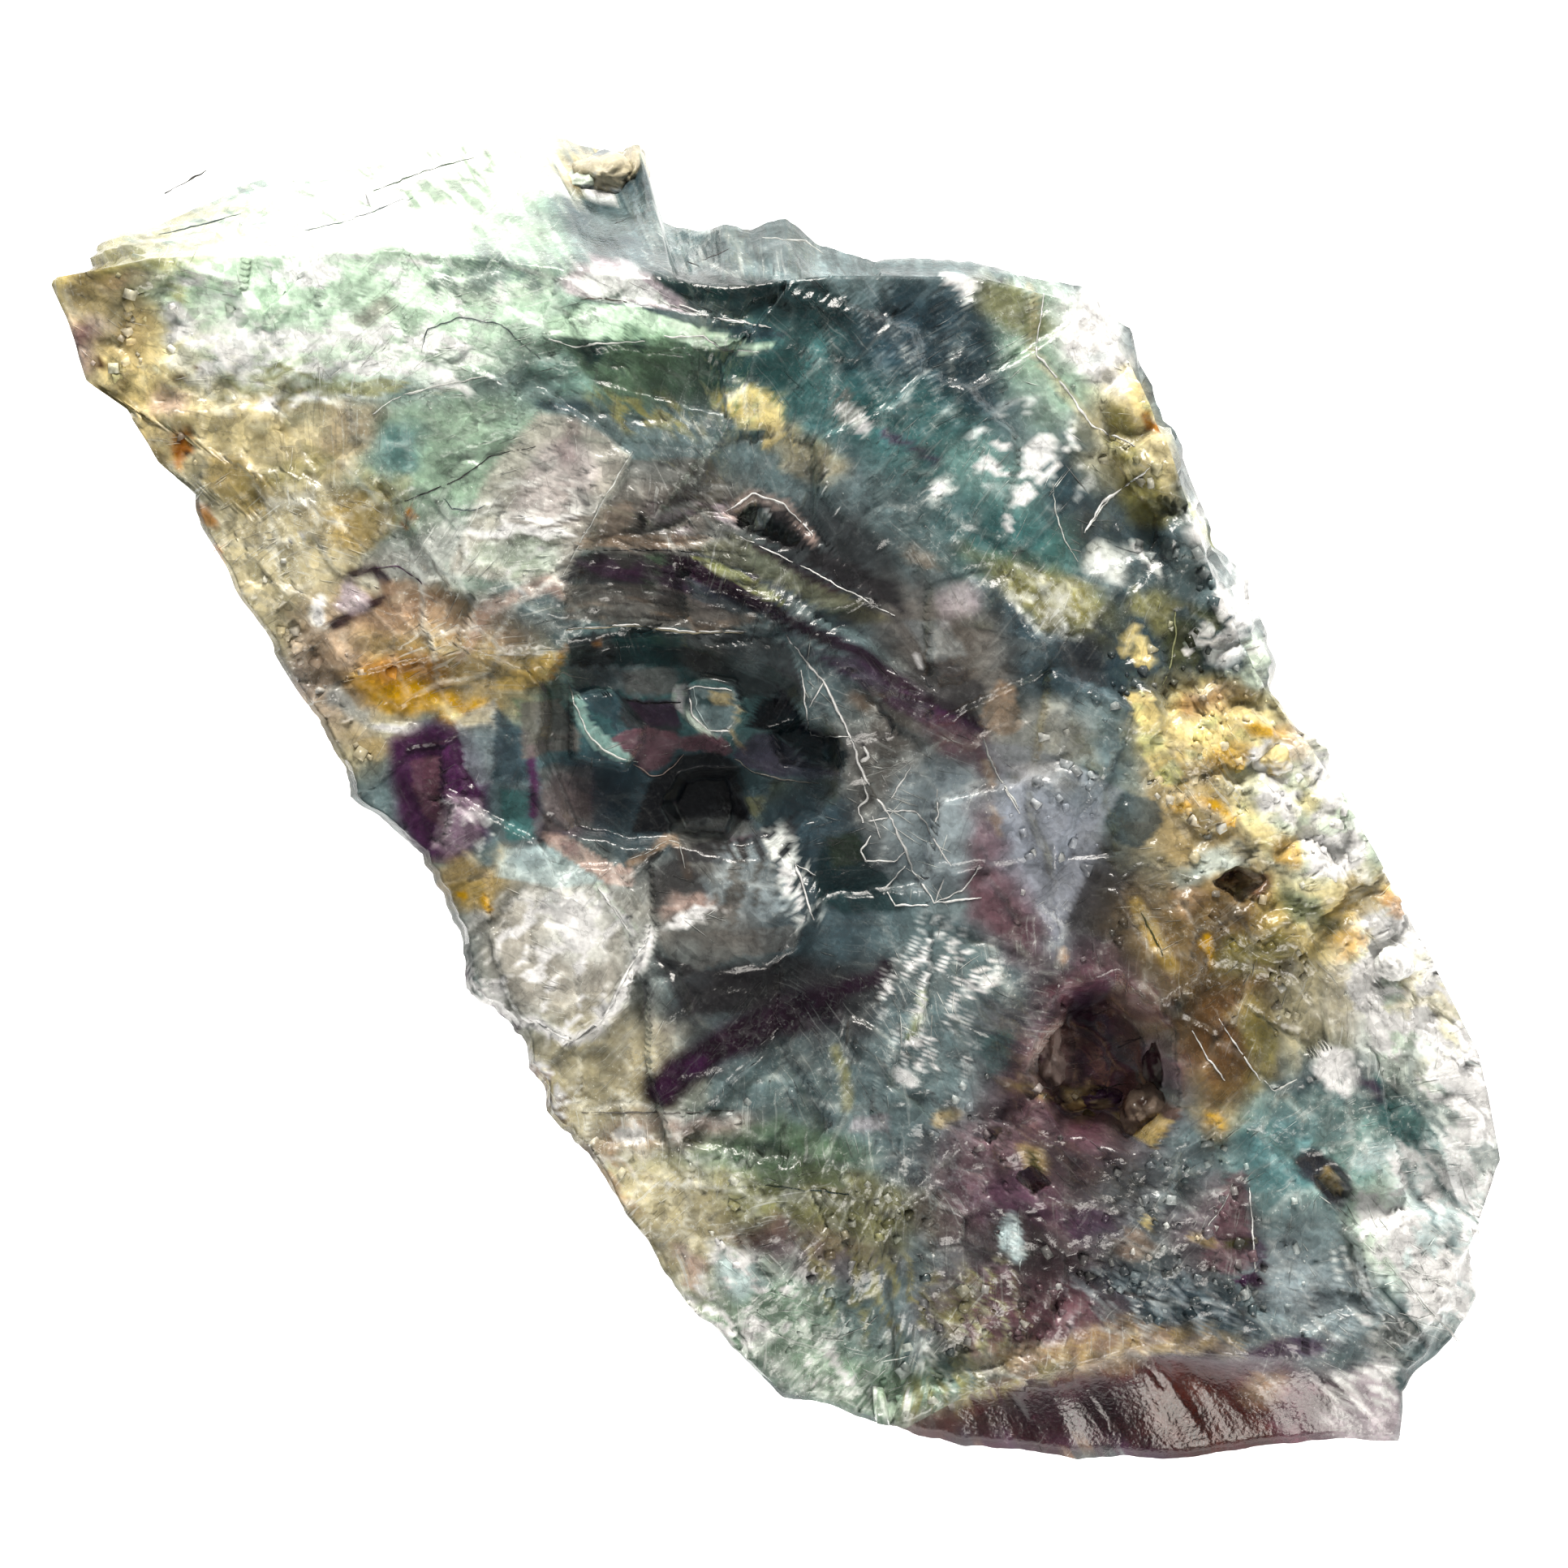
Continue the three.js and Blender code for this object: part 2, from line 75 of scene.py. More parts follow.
GIRTH: Points = (
    (-30.4, 20.9), (-29.5, 21.9), (-27.6, 23.0), (-22.4, 25.4), (-17.9, 26.5), (-13.5, 27.6),
    (-10.8, 28.1), (-8.9, 27.2), (-7.1, 26.6), (-5.9, 26.3), (-5.1, 23.5), (-3.0, 22.8), (0.1, 23.1),
    (2.5, 21.7), (7.0, 21.8), (9.1, 21.2), (12.5, 20.6), (15.0, 18.7), (15.5, 16.5), (16.7, 13.7),
    (17.9, 10.0), (19.3, 8.4), (20.6, 5.0), (20.2, 3.8), (21.8, 2.5), (23.6, 1.0), (25.2, -2.1),
    (27.1, -4.8), (27.1, -6.2), (28.3, -7.8), (29.9, -11.2), (30.8, -16.0), (30.3, -17.6),
    (29.0, -20.7), (27.1, -23.7), (25.5, -25.1), (25.3, -27.0), (22.7, -27.0), (20.0, -27.3),
    (16.1, -27.7), (11.1, -27.7), (7.8, -27.3), (5.0, -26.7), (2.6, -26.0), (-0.1, -25.3),
    (-2.4, -22.9), (-4.1, -21.4), (-6.3, -18.0), (-8.1, -15.2), (-9.7, -13.4), (-10.6, -10.6),
    (-11.4, -9.4), (-13.0, -8.3), (-13.2, -5.9), (-14.8, -3.1), (-17.6, -0.5), (-17.9, 0.7),
    (-19.0, 2.6), (-20.9, 5.4), (-21.8, 7.2), (-24.0, 10.6), (-24.1, 11.9), (-25.8, 13.2),
    (-27.4, 15.7), (-28.9, 16.6), (-29.7, 19.3),
)

FACE: Points = (
    (-29.6, 20.6), (-25.5, 21.3), (-15.5, 21.5), (-10.9, 21.0), (-6.9, 20.5), (-2.2, 20.0),
    (1.8, 20.5), (7.8, 20.6), (12.1, 19.6), (14.1, 17.2), (15.6, 13.6), (17.6, 7.9), (19.1, 4.5),
    (22.3, 0.2), (25.6, -5.5), (28.6, -11.1), (29.6, -15.5), (27.5, -21.1), (26.1, -24.1),
    (22.8, -23.6), (14.5, -22.9), (7.5, -24.8), (2.6, -27.5), (-7.5, -22.0), (-16.0, -8.0),
    (-24.0, 4.0), (-33.0, 17.0),
)

FOOT: Points = (
    (-26.0, 20.0), (-17.0, 25.4), (-11.0, 26.6), (-6.5, 25.0), (2.5, 20.6), (12.0, 18.6),
    (15.0, 12.0), (18.5, 3.5), (24.0, -4.5), (27.4, -13.0), (26.0, -20.5), (22.0, -24.4),
    (11.0, -24.8), (2.0, -22.0), (-3.5, -14.5), (-9.0, -4.5), (-16.5, 6.5), (-23.5, 14.5),
)

# Bearing in degrees from the hub, and the height at which the stone is widest there.
GIRTH_LEVELS: Points = (
    (-180, 14.5), (-140, 15.2), (-108, 12.5), (-85, 11), (-45, 11.5), (-15, 9), (25, 9), (50, 7.5),
    (70, 12), (98, 13), (107, 5), (125, 2.6), (140, 6), (147, 11), (160, 14.5), (180, 14.5),
)

# Bearing in degrees, and the share of the full depth that the side's chips have there.
SIDE_CHIP_SHARES: Points = ((-180, 1), (88, 1), (98, 0.15), (142, 0.15), (152, 1), (180, 1))


# ---- Repeatable chance and noise -------------------------------------------------------------


def chance(column: Array, row: Array, seed: int) -> Array:
    """Give one repeatable number from 0 to 1 for each cell of a grid.

    Args:
        column: whole column numbers.
        row: whole row numbers.
        seed: which set of numbers.

    Returns:
        The products of the three with large primes, mixed by shifts and divided by 2 to the 32.
    """
    low = np.uint64(0xFFFFFFFF)
    first = column.astype(np.int64).astype(np.uint64) * np.uint64(73856093) & low
    second = row.astype(np.int64).astype(np.uint64) * np.uint64(19349663) & low
    bits = first ^ second ^ np.uint64(seed * 83492791 & 0xFFFFFFFF)
    bits = (bits ^ bits >> np.uint64(13)) * np.uint64(1274126177) & low
    bits = (bits ^ bits >> np.uint64(15)) * np.uint64(668265263) & low
    return (bits ^ bits >> np.uint64(16)).astype(float) / 2.0**32


def smoothstep(low: float, high: float, value: Array) -> Array:
    """Rise from 0 at low to 1 at high along a smooth S."""
    share = np.clip((value - low) / (high - low), 0.0, 1.0)
    return share * share * (3.0 - 2.0 * share)


def ripple(u: Array, v: Array, spacing: float, seed: int) -> Array:
    """Smooth noise from -1 to 1: chances at grid corners, blended along an S between them."""
    column, row = np.floor(u / spacing), np.floor(v / spacing)
    across = smoothstep(0.0, 1.0, u / spacing - column)
    up = smoothstep(0.0, 1.0, v / spacing - row)
    low = chance(column, row, seed) * (1 - across) + chance(column + 1, row, seed) * across
    high = chance(column, row + 1, seed) * (1 - across) + chance(column + 1, row + 1, seed) * across
    return 2.0 * (low * (1 - up) + high * up) - 1.0


def rough(u: Array, v: Array, spacing: float, seed: int, layers: int = 3) -> Array:
    """Add layers of ripple, each half as wide and half as high as the last."""
    total = np.zeros_like(u)
    for layer in range(layers):
        total += ripple(u, v, spacing / 2**layer, seed + 17 * layer) / 2**layer
    return total


def wander(u: Array, v: Array, bend: Pair, seed: int) -> Array:
    """Layered noise, given as its width and its size in millimetres."""
    return bend[1] * rough(u, v, bend[0], seed)


def bent(u: Array, v: Array, bend: Pair, seeds: tuple[int, int]) -> tuple[Array, Array]:
    """Points moved along u and along v by noise of the same width and size."""
    return u + wander(u, v, bend, seeds[0]), v + wander(u, v, bend, seeds[1])


@dataclass
class Cells:
    """The nearest of a field of scattered seeds, for each of many points."""

    column: Array
    row: Array
    du: Array
    dv: Array
    nearest: Array
    second: Array

    @classmethod
    def around(cls, u: Array, v: Array, spacing: float, seed: int) -> "Cells":
        """Find the nearest and second nearest seed: one seed lies by chance in each grid cell.

        Args:
            u: first coordinates.
            v: second coordinates.
            spacing: side of a grid cell.
            seed: which field of seeds.

        Returns:
            The nearest seed's cell, the offset from it, and both distances.
        """
        home_column, home_row = np.floor(u / spacing), np.floor(v / spacing)
        found = cls(*(np.zeros_like(u) for _ in range(4)), *(np.full_like(u, FAR) for _ in range(2)))
        for step_column in (-1, 0, 1):
            for step_row in (-1, 0, 1):
                column, row = home_column + step_column, home_row + step_row
                du = u - (column + chance(column, row, seed)) * spacing
                dv = v - (row + chance(column, row, seed + 1)) * spacing
                found.offer(column, row, du, dv)
        return found

    def offer(self, column: Array, row: Array, du: Array, dv: Array) -> None:
        """Keep a seed wherever it is nearer than the nearest so far."""
        distance = np.hypot(du, dv)
        nearer = distance < self.nearest
        self.second = np.where(nearer, self.nearest, np.minimum(self.second, distance))
        self.nearest = np.where(nearer, distance, self.nearest)
        self.column = np.where(nearer, column, self.column)
        self.row = np.where(nearer, row, self.row)
        self.du = np.where(nearer, du, self.du)
        self.dv = np.where(nearer, dv, self.dv)

    def pick(self, seed: int) -> Array:
        """Give each cell its own number from -0.5 to 0.5."""
        return chance(self.column, self.row, seed) - 0.5

    def edge(self) -> Array:
        """Distance, roughly, to the border between two cells."""
        return (self.second - self.nearest) / 2.0

    def rim(self, inner: float, outer: float, share: float) -> Array:
        """A line along the borders: the share up to the inner distance, nothing past the outer."""
        return share * (1.0 - smoothstep(inner, outer, self.edge()))


@dataclass(frozen=True)
class Chips:
    """Flat broken facets: each cell of a seed field has its own height and tilt."""

    spacing: float
    relief: float
    tilt: float
    seed: int

    def height(self, u: Array, v: Array) -> Array:
        """Height over each point."""
        return self.height_in(Cells.around(u, v, self.spacing, self.seed))

    def height_in(self, cells: Cells) -> Array:
        """Height: the cell's own level, plus its slopes times the offset from its seed."""
        level = cells.pick(self.seed + 2) * self.relief
        slope = cells.du * cells.pick(self.seed + 3) + cells.dv * cells.pick(self.seed + 4)
        return level + slope * self.tilt * 2.0


CHIPS = Chips(spacing=5.2, relief=0.9, tilt=0.2, seed=11)
SIDE_CHIPS = Chips(spacing=6.0, relief=2.4, tilt=0.2, seed=29)
MEDIUM_CHIPS = Chips(spacing=1.9, relief=0.36, tilt=0.22, seed=41)
SMALL_CHIPS = Chips(spacing=0.8, relief=0.2, tilt=0.4, seed=47)
EDGE_CHIPS = Chips(spacing=1.8, relief=0.5, tilt=0.3, seed=83)
SMALL_CHIP_BEND = (1.0, 0.2)


def chip_cells(u: Array, v: Array) -> Cells:
    """The medium chip that each point lies on."""
    return Cells.around(u, v, MEDIUM_CHIPS.spacing, MEDIUM_CHIPS.seed)


def crumb_cells(u: Array, v: Array) -> Cells:
    """The small chip that each point lies on."""
    bent = u + wander(u, v, SMALL_CHIP_BEND, 49)
    return Cells.around(bent, v, SMALL_CHIPS.spacing, SMALL_CHIPS.seed)


# ---- Outlines and forms of the stone ---------------------------------------------------------

LEAST_TURN = 0.05  # a cleavage face turned less than this towards a bearing doesn't limit it
OUTSIDE = 9.0  # share of the way to an outline that stands for well outside it
PIT_MOUTH = FACE_LEVEL + 1.5
PLATE_SIDE = 3.0  # how far a plate's side goes down
LUMP_PROUD = 0.3  # how far a lump's middle stands over the face, as a share of its radius
LUMP_STEPS = 4.0
LUMP_RISE = 0.5

def reach(outline: Points, bearing: Array, hub: Pair = HUB) -> Array:
    """Distance from a hub to a closed outline along each bearing.

    Args:
        outline: corners in order.
        bearing: angles in radians.
        hub: the point looked from.

    Returns:
        The farthest crossing of the ray with an edge, by the cross-product rule.
    """
    start = np.array(outline) - hub
    edge = np.roll(start, -1, axis=0) - start
    along_u, along_v = np.cos(bearing)[:, None], np.sin(bearing)[:, None]
    cross = along_u * edge[:, 1] - along_v * edge[:, 0]
    cross = np.where(np.abs(cross) < NEARLY_ZERO, NEARLY_ZERO, cross)
    distance = (start[:, 0] * edge[:, 1] - start[:, 1] * edge[:, 0]) / cross
    share = (start[:, 0] * along_v - start[:, 1] * along_u) / cross
    crossed = (share >= 0) & (share <= 1) & (distance > 0)
    return np.where(crossed, distance, 0.0).max(axis=1)


def by_bearing(table: Points, bearing: Array) -> Array:
    """Read a table of (bearing in degrees, value) by straight lines."""
    at, value = np.array(table, dtype=float).T
    return np.interp(np.degrees(bearing), at, value)


@dataclass(frozen=True)
class Plane:
    """A gently tilted cleavage plane of the broad face."""

    at: Pair
    level: float
    rise: Pair

    def height(self, u: Array, v: Array) -> Array:
        """Height: the level at the given point plus the rise along u and v."""
        return self.level + self.rise[0] * (u - self.at[0]) + self.rise[1] * (v - self.at[1])


FACE_PLANES = (
    Plane((0, 0), FACE_LEVEL, (0.02, 0.03)),
    Plane((10.7, 5.4), FACE_LEVEL + 0.2, (-0.34, -0.17)),
    Plane((8, -14), FACE_LEVEL - 0.4, (-0.03, 0.17)),
    Plane((-20, 14), FACE_LEVEL - 0.4, (0.16, -0.04)),
    Plane((24, -16), FACE_LEVEL - 4.0, (-0.42, 0.1)),
)


@dataclass(frozen=True)
class Cleave:
    """A flat cleavage face that a side broke along."""

    through: Triple
    facing: Triple

    def limit(self, bearing: Array, height: Array) -> Array:
        """Farthest distance from the hub that lies inside the face, at a bearing and height."""
        to_face = sum(a * b for a, b in zip(self.facing, self.through))
        to_hub = self.facing[0] * HUB[0] + self.facing[1] * HUB[1]
        turned = self.facing[0] * np.cos(bearing) + self.facing[1] * np.sin(bearing)
        room = (to_face - to_hub - self.facing[2] * height) / np.maximum(turned, LEAST_TURN)
        return np.where(turned > LEAST_TURN, room, FAR)


CLEAVES = (
    Cleave((-30.4, 20.9, 14.2), (-0.79, -0.47, -0.39)),
    Cleave((-9.7, -13.4, 14.2), (-0.78, -0.5, -0.38)),
    Cleave((9, -27.6, 8.6), (-0.12, -0.86, -0.5)),
    Cleave((28.8, -21.7, 8.6), (0.74, -0.47, -0.48)),
    Cleave((24.6, -1, 9), (0.82, 0.4, -0.4)),
    Cleave((16.4, 14.6, 6.6), (0.84, 0.24, -0.48)),
)


@dataclass(frozen=True)
class Pit:
    """A hollow that goes down to a floor and narrows on the way."""

    floor: float
    narrow: float
    outline: Points

    def cut(self, u: Array, v: Array, height: Array) -> Array:
        """Lower a height: the floor inside, and a straight slope up to the outline."""
        share = outline_share(self.outline, u, v)
        slope = np.clip((share - self.narrow) / (1.0 - self.narrow), 0.0, 1.0)
        depth = self.floor + slope * (PIT_MOUTH - self.floor)
        return np.where(share < 1.0, np.minimum(height, depth), height)


@dataclass(frozen=True)
class Plate:
    """A raised, tilted cleavage plate that narrows upwards."""

    top: float
    narrow: float
    rise: Pair
    outline: Points

    def raise_over(self, u: Array, v: Array, height: Array) -> Array:
        """Lift a height: the tilted top inside, and a steep slope down to the outline."""
        middle = np.mean(self.outline, axis=0)
        share = outline_share(self.outline, u, v)
        slope = np.clip((share - self.narrow) / (1.0 - self.narrow), 0.0, 1.0)
        top = self.top + self.rise[0] * (u - middle[0]) + self.rise[1] * (v - middle[1])
        return np.where(share < 1.0, np.maximum(height, top - slope * PLATE_SIDE), height)


def outline_share(outline: Points, u: Array, v: Array) -> Array:
    """Distance from an outline's middle as a share of the way to the outline itself."""
    middle = tuple(np.mean(outline, axis=0))
    du, dv = u - middle[0], v - middle[1]
    distance = np.hypot(du, dv)
    farthest = max(math.dist(corner, middle) for corner in outline)
    share = np.full_like(u, OUTSIDE)
    near = distance < farthest
    share[near] = distance[near] / reach(outline, np.arctan2(dv[near], du[near]), middle)
    return share


BASIN = Pit(14.9, 0.86, (
    (-10.5, 4.5), (-8.9, 6.2), (-3.9, 6.4), (0.6, 4.5), (2.8, 0.9), (2.1, -1.5), (-1.2, -3.1),
    (-5.5, -3.0), (-9.2, -2.1), (-10.2, 0.5),
))

PITS = {
    "dark_hollow": Pit(11.5, 0.5, (
        (-5.5, -0.6), (-4.4, 1.0), (-1.4, 1.0), (-1.0, -0.8), (-2.0, -2.8), (-5.0, -2.8),
    )),
    "teal_hollow": Pit(12.8, 0.55, ((-1.2, 2.5), (0.6, 3.2), (2.3, 2.0), (2.5, 0.5), (-0.5, 0.5))),
    "three_sided_hole": Pit(13.4, 0.3, ((-2.1, 10.7), (-1.0, 11.5), (1.1, 9.2), (-0.7, 9.9))),
    "plum_vug": Pit(11.4, 0.6, (
        (9.3, -11.5), (10.8, -8.1), (13.5, -7.3), (16.0, -9.8), (16.3, -13.1), (14.5, -15.3),
        (11.1, -14.8),
    )),
    "pinhole": Pit(13.2, 0.5, ((9.5, -15.8), (10.2, -15.0), (10.9, -16.0), (10.2, -16.9))),
    "brown_pocket": Pit(12.6, 0.5, ((17.3, -4.0), (18.5, -3.0), (19.6, -3.8), (18.6, -5.1))),
    "turquoise_pocket": Pit(12.4, 0.4, ((20.9, -15.8), (22.8, -15.0), (24.2, -16.8), (22.5, -18.0))),
}

PLATES = {
    "shell_plate": Plate(17.9, 0.93, (0.09, -0.03), (
        (-16.5, 12.2), (-13.5, 15.4), (-9.5, 16.2), (-5.9, 13.4), (-8.9, 6.9), (-13.5, 7.4),
    )),
    "mint_plate": Plate(18.0, 0.85, (0.02, 0.12), (
        (-9.2, 18.9), (-5.5, 19.4), (-1.2, 18.5), (-0.5, 17.9), (-4.2, 17.3), (-8.2, 17.3),
    )),
    "upper_step": Plate(17.5, 0.92, (0.03, 0.05), (
        (-8.9, 9.4), (-3.5, 11.1), (1.5, 10.2), (4.5, 7.2), (1.0, 6.6), (-4.5, 8.6),
    )),
    "lower_step": Plate(16.6, 0.92, (0.02, 0.06), (
        (-9.4, 7.6), (-4.6, 8.8), (1.0, 6.9), (2.6, 5.0), (0.4, 4.8), (-4.2, 6.6), (-9.0, 6.4),
    )),
    "long_rib": Plate(18.1, 0.55, (0.01, 0.03), (
        (-4.5, 9.2), (-1.5, 8.9), (1.5, 6.9), (4.9, 4.9), (8.9, 2.3), (8.3, 1.3), (4.1, 3.4),
        (0.4, 5.9), (-2.2, 7.8),
    )),
    "left_block": Plate(16.4, 0.85, (-0.05, 0.08), (
        (-8.9, 3.6), (-6.9, 4.0), (-5.6, 2.2), (-6.4, 0.4), (-8.6, 0.9),
    )),
    "middle_block": Plate(16.6, 0.85, (0.06, 0.05), (
        (-4.0, 4.3), (-2.0, 4.5), (-1.6, 2.9), (-2.4, 1.5), (-3.9, 2.1),
    )),
    "saw_edged_plate": Plate(17.3, 0.95, (0.05, -0.05), (
        (-5.5, -3.1), (-3.9, -2.3), (-2.2, -3.1), (-0.2, -2.6), (1.1, -4.8), (0.6, -6.8),
        (-2.2, -6.8), (-4.0, -7.8), (-5.4, -6.5),
    )),
    "round_lobe": Plate(17.5, 0.93, (-0.03, 0.04), (
        (-12.0, -6.1), (-10.2, -3.8), (-6.9, -3.1), (-5.4, -5.5), (-6.3, -8.8), (-8.9, -10.7),
        (-11.2, -9.1),
    )),
    "lilac_wedge": Plate(17.7, 0.35, (-0.02, 0.03), (
        (7.6, 1.9), (11.1, 2.9), (14.1, 2.5), (12.8, -2.5), (10.8, -7.3), (8.8, -2.8),
    )),
    "fan_plate": Plate(13.4, 0.85, (-0.3, 0.1), (
        (22.8, -18.2), (26.5, -17.0), (29.0, -17.8), (27.4, -21.4), (25.6, -23.6), (23.8, -21.1),
    )),
}


@dataclass(frozen=True)
class Lump:
    """A rounded or blocky grain that stands out of the face."""

    at: Pair
    radius: float
    level: float | None = None

    def raise_over(self, u: Array, v: Array, height: Array, ground: float) -> Array:
        """Lift a height to a ball of this radius, whose side goes up in flat steps."""
        du, dv = u - self.at[0], v - self.at[1]
        inside = np.sqrt(np.maximum(self.radius**2 - du**2 - dv**2, 0.0))
        middle = ground + self.radius * LUMP_PROUD if self.level is None else self.level
        steps = np.floor(inside / self.radius * LUMP_STEPS) / LUMP_STEPS
        ball = middle + steps * self.radius * LUMP_RISE
        return np.where(inside > 0, np.maximum(height, ball), height)


LUMPS = (
    Lump((14.3, 2.9), 1.2), Lump((16.3, 1.6), 1.5), Lump((18.6, 1.9), 1.3), Lump((20.3, 0.6), 1.5),
    Lump((17.2, -0.9), 1.2), Lump((19.4, -1.3), 1.6), Lump((21.8, -1.2), 1.4), Lump((23.2, -2.9), 1.3),
    Lump((21.4, -3.9), 1.5), Lump((24.1, -5.3), 1.3), Lump((20.1, -6.0), 1.1), Lump((22.6, -6.6), 1.4),
    Lump((25.4, -7.4), 1.2), Lump((24.6, -9.6), 1.3), Lump((27.0, -10.8), 1.1), Lump((14.2, 15.4), 1.1),
    Lump((15.3, 12.9), 1.2), Lump((16.3, 9.9), 1.1), Lump((17.7, 6.7), 1.2), Lump((18.7, 4.4), 1.1),
    Lump((27.6, -14.0), 1.2), Lump((11.3, -11.8), 1.9, 13.4), Lump((18.0, -17.4), 1.1, 13.3),
    Lump((19.2, -19.6), 1.3, 12.9), Lump((17.2, -19.3), 0.9, 13.6),
)


def face_height(u: Array, v: Array) -> Array:
    """Height of the broad face before pits and plates: the lowest plane, plus the large chips."""
    return np.min([plane.height(u, v) for plane in FACE_PLANES], axis=0) + CHIPS.height(u, v)


# ---- Colours of the stone --------------------------------------------------------------------


class Tint(Enum):
    """The stone's own colours, together with those used for painted shade and a painted reflection, as
    display values from 0 to 255.
    """

    WHITE = (252, 253, 252)
    FROST = (232, 236, 232)
    PEARL = (172, 168, 160)
    ICE = (182, 200, 202)
    PALE_MINT = (206, 220, 204)
    MINT = (188, 212, 190)
    SEA_GREEN = (140, 158, 142)
    MOSS = (98, 116, 98)
    AQUA = (132, 156, 151)
    TURQUOISE = (102, 131, 135)
    TEAL = (82, 112, 112)
    DEEP_TEAL = (38, 58, 60)
    INK_TEAL = (10, 40, 46)
    SLATE = (108, 120, 122)
    PALE_SLATE = (150, 160, 164)
    DARK_SLATE = (66, 80, 88)
    SMOKE = (112, 108, 104)
    DARK_SMOKE = (62, 60, 62)
    BLACK = (26, 22, 26)
    # dark red-brown of the lower ledge, with a painted warm reflection over it
    GARNET_AND_REFLECTION = (92, 48, 44)
    OLIVE = (138, 134, 98)
    DARK_OLIVE = (78, 80, 52)
    LIME = (158, 162, 120)
    BEIGE = (180, 172, 146)
    SAND = (164, 148, 116)
    HONEY = (172, 152, 108)
    AMBER = (196, 158, 84)
    RUST = (162, 108, 62)
    YELLOW = (220, 202, 146)
    TAN = (152, 134, 118)
    PINK = (180, 160, 152)
    BROWN = (96, 70, 58)
    UMBER = (116, 98, 74)
    LILAC = (178, 168, 174)
    BLUE_LILAC = (146, 150, 158)
    MAUVE = (116, 92, 98)
    WINE = (104, 74, 84)
    PLUM = (84, 54, 84)
    DEEP_PLUM = (48, 26, 44)

    def linear(self) -> Colour:
        """The colour as linear light."""
        shares = [value / 255 for value in self.value]
        return tuple(s / 12.92 if s < 0.04045 else ((s + 0.055) / 1.055) ** 2.4 for s in shares)


# Width and size of a wander, mm.
STREAK_BEND = (1.7, 0.12)
STREAK_FRAY = (0.37, 0.16)

STREAK_EDGE = (0.86, 1.06)  # noise where a streak starts and where it is whole, before its share
SEAM_EDGE = (0.5, 1.5)  # where a seam starts to fade and where it is gone, in half widths
SEAM_REACH = 1.6  # half widths that are looked at around a seam


@dataclass(frozen=True)
class Cloud:
    """A soft-edged, turned ellipse of one colour, whose edge wanders with the stone's bands."""

    tint: Tint
    at: Pair
    radii: Pair
    turn: float = 0.0
    strength: float = 0.8
    soft: float = 0.45
    torn: ClassVar[bool] = False

    def cover(self, u: Array, v: Array) -> Array:
        """Share covered: 1 well inside the ellipse, falling smoothly to 0 past its edge."""
        angle = math.radians(self.turn)
        du, dv = u - self.at[0], v - self.at[1]
        along = (du * math.cos(angle) + dv * math.sin(angle)) / self.radii[0]
        across = (dv * math.cos(angle) - du * math.sin(angle)) / self.radii[1]
        return 1.0 - smoothstep(1.0 - self.soft, 1.0 + self.soft, np.hypot(along, across))


@dataclass(frozen=True)
class Streaks(Cloud):
    """A cloud broken up into fine parallel streaks."""

    way: float = 0.0
    width: float = 0.25
    length: float = 3.0
    share: float = 0.4

    def cover(self, u: Array, v: Array) -> Array:
        """Share covered: the cloud, kept where noise drawn out along the streaks is high."""
        angle = math.radians(self.way)
        along = u * math.cos(angle) + v * math.sin(angle)
        across = v * math.cos(angle) - u * math.sin(angle)
        across = across + STREAK_BEND[1] * ripple(u, v, STREAK_BEND[0], 811)
        along, across = along / self.length, across / self.width
        noise = 0.5 + 0.5 * ripple(along, across, 1.0, 821)
        noise += STREAK_FRAY[1] * ripple(along, across, STREAK_FRAY[0], 823)
        start, whole = STREAK_EDGE
        return super().cover(u, v) * smoothstep(start - self.share, whole - self.share, noise)


@dataclass(frozen=True)
class Facet:
    """A crisp-edged patch of one colour: mostly a cleavage facet; a few of them are painted shade and a
    painted glint in holes.
    """

    tint: Tint
    corners: Points
    strength: float = 0.8
    soft: float = 0.05
    torn: ClassVar[bool] = True

    def cover(self, u: Array, v: Array) -> Array:
        """Share covered: 1 inside the outline, with a thin soft edge."""
        return 1.0 - smoothstep(1.0 - self.soft, 1.0 + self.soft, outline_share(self.corners, u, v))


@dataclass(frozen=True)
class Seam:
    """A vein, edge or streak of one colour along a line that tapers at both ends."""

    tint: Tint
    line: Points
    half_width: float = 0.2
    strength: float = 0.8
    torn: ClassVar[bool] = True

    def cover(self, u: Array, v: Array) -> Array:
        """Share covered: 1 on the line, falling to 0 a little past half the width."""
        points = np.array(self.line)
        reach_out = self.half_width * SEAM_REACH
        low, high = points.min(axis=0) - reach_out, points.max(axis=0) + reach_out
        near = (u > low[0]) & (u < high[0]) & (v > low[1]) & (v < high[1])
        place = np.column_stack([u[near], v[near]])
        apart = np.full(len(place), FAR)
        for start, end in zip(points[:-1], points[1:]):
            way = end - start
            along = np.clip((place - start) @ way / (way @ way), 0.0, 1.0)[:, None]
            apart = np.minimum(apart, np.linalg.norm(place - start - along * way, axis=1))
        share = np.zeros_like(u)
        share[near] = 1.0 - smoothstep(*SEAM_EDGE, apart / self.half_width)
        return share


Mark = Cloud | Facet | Seam


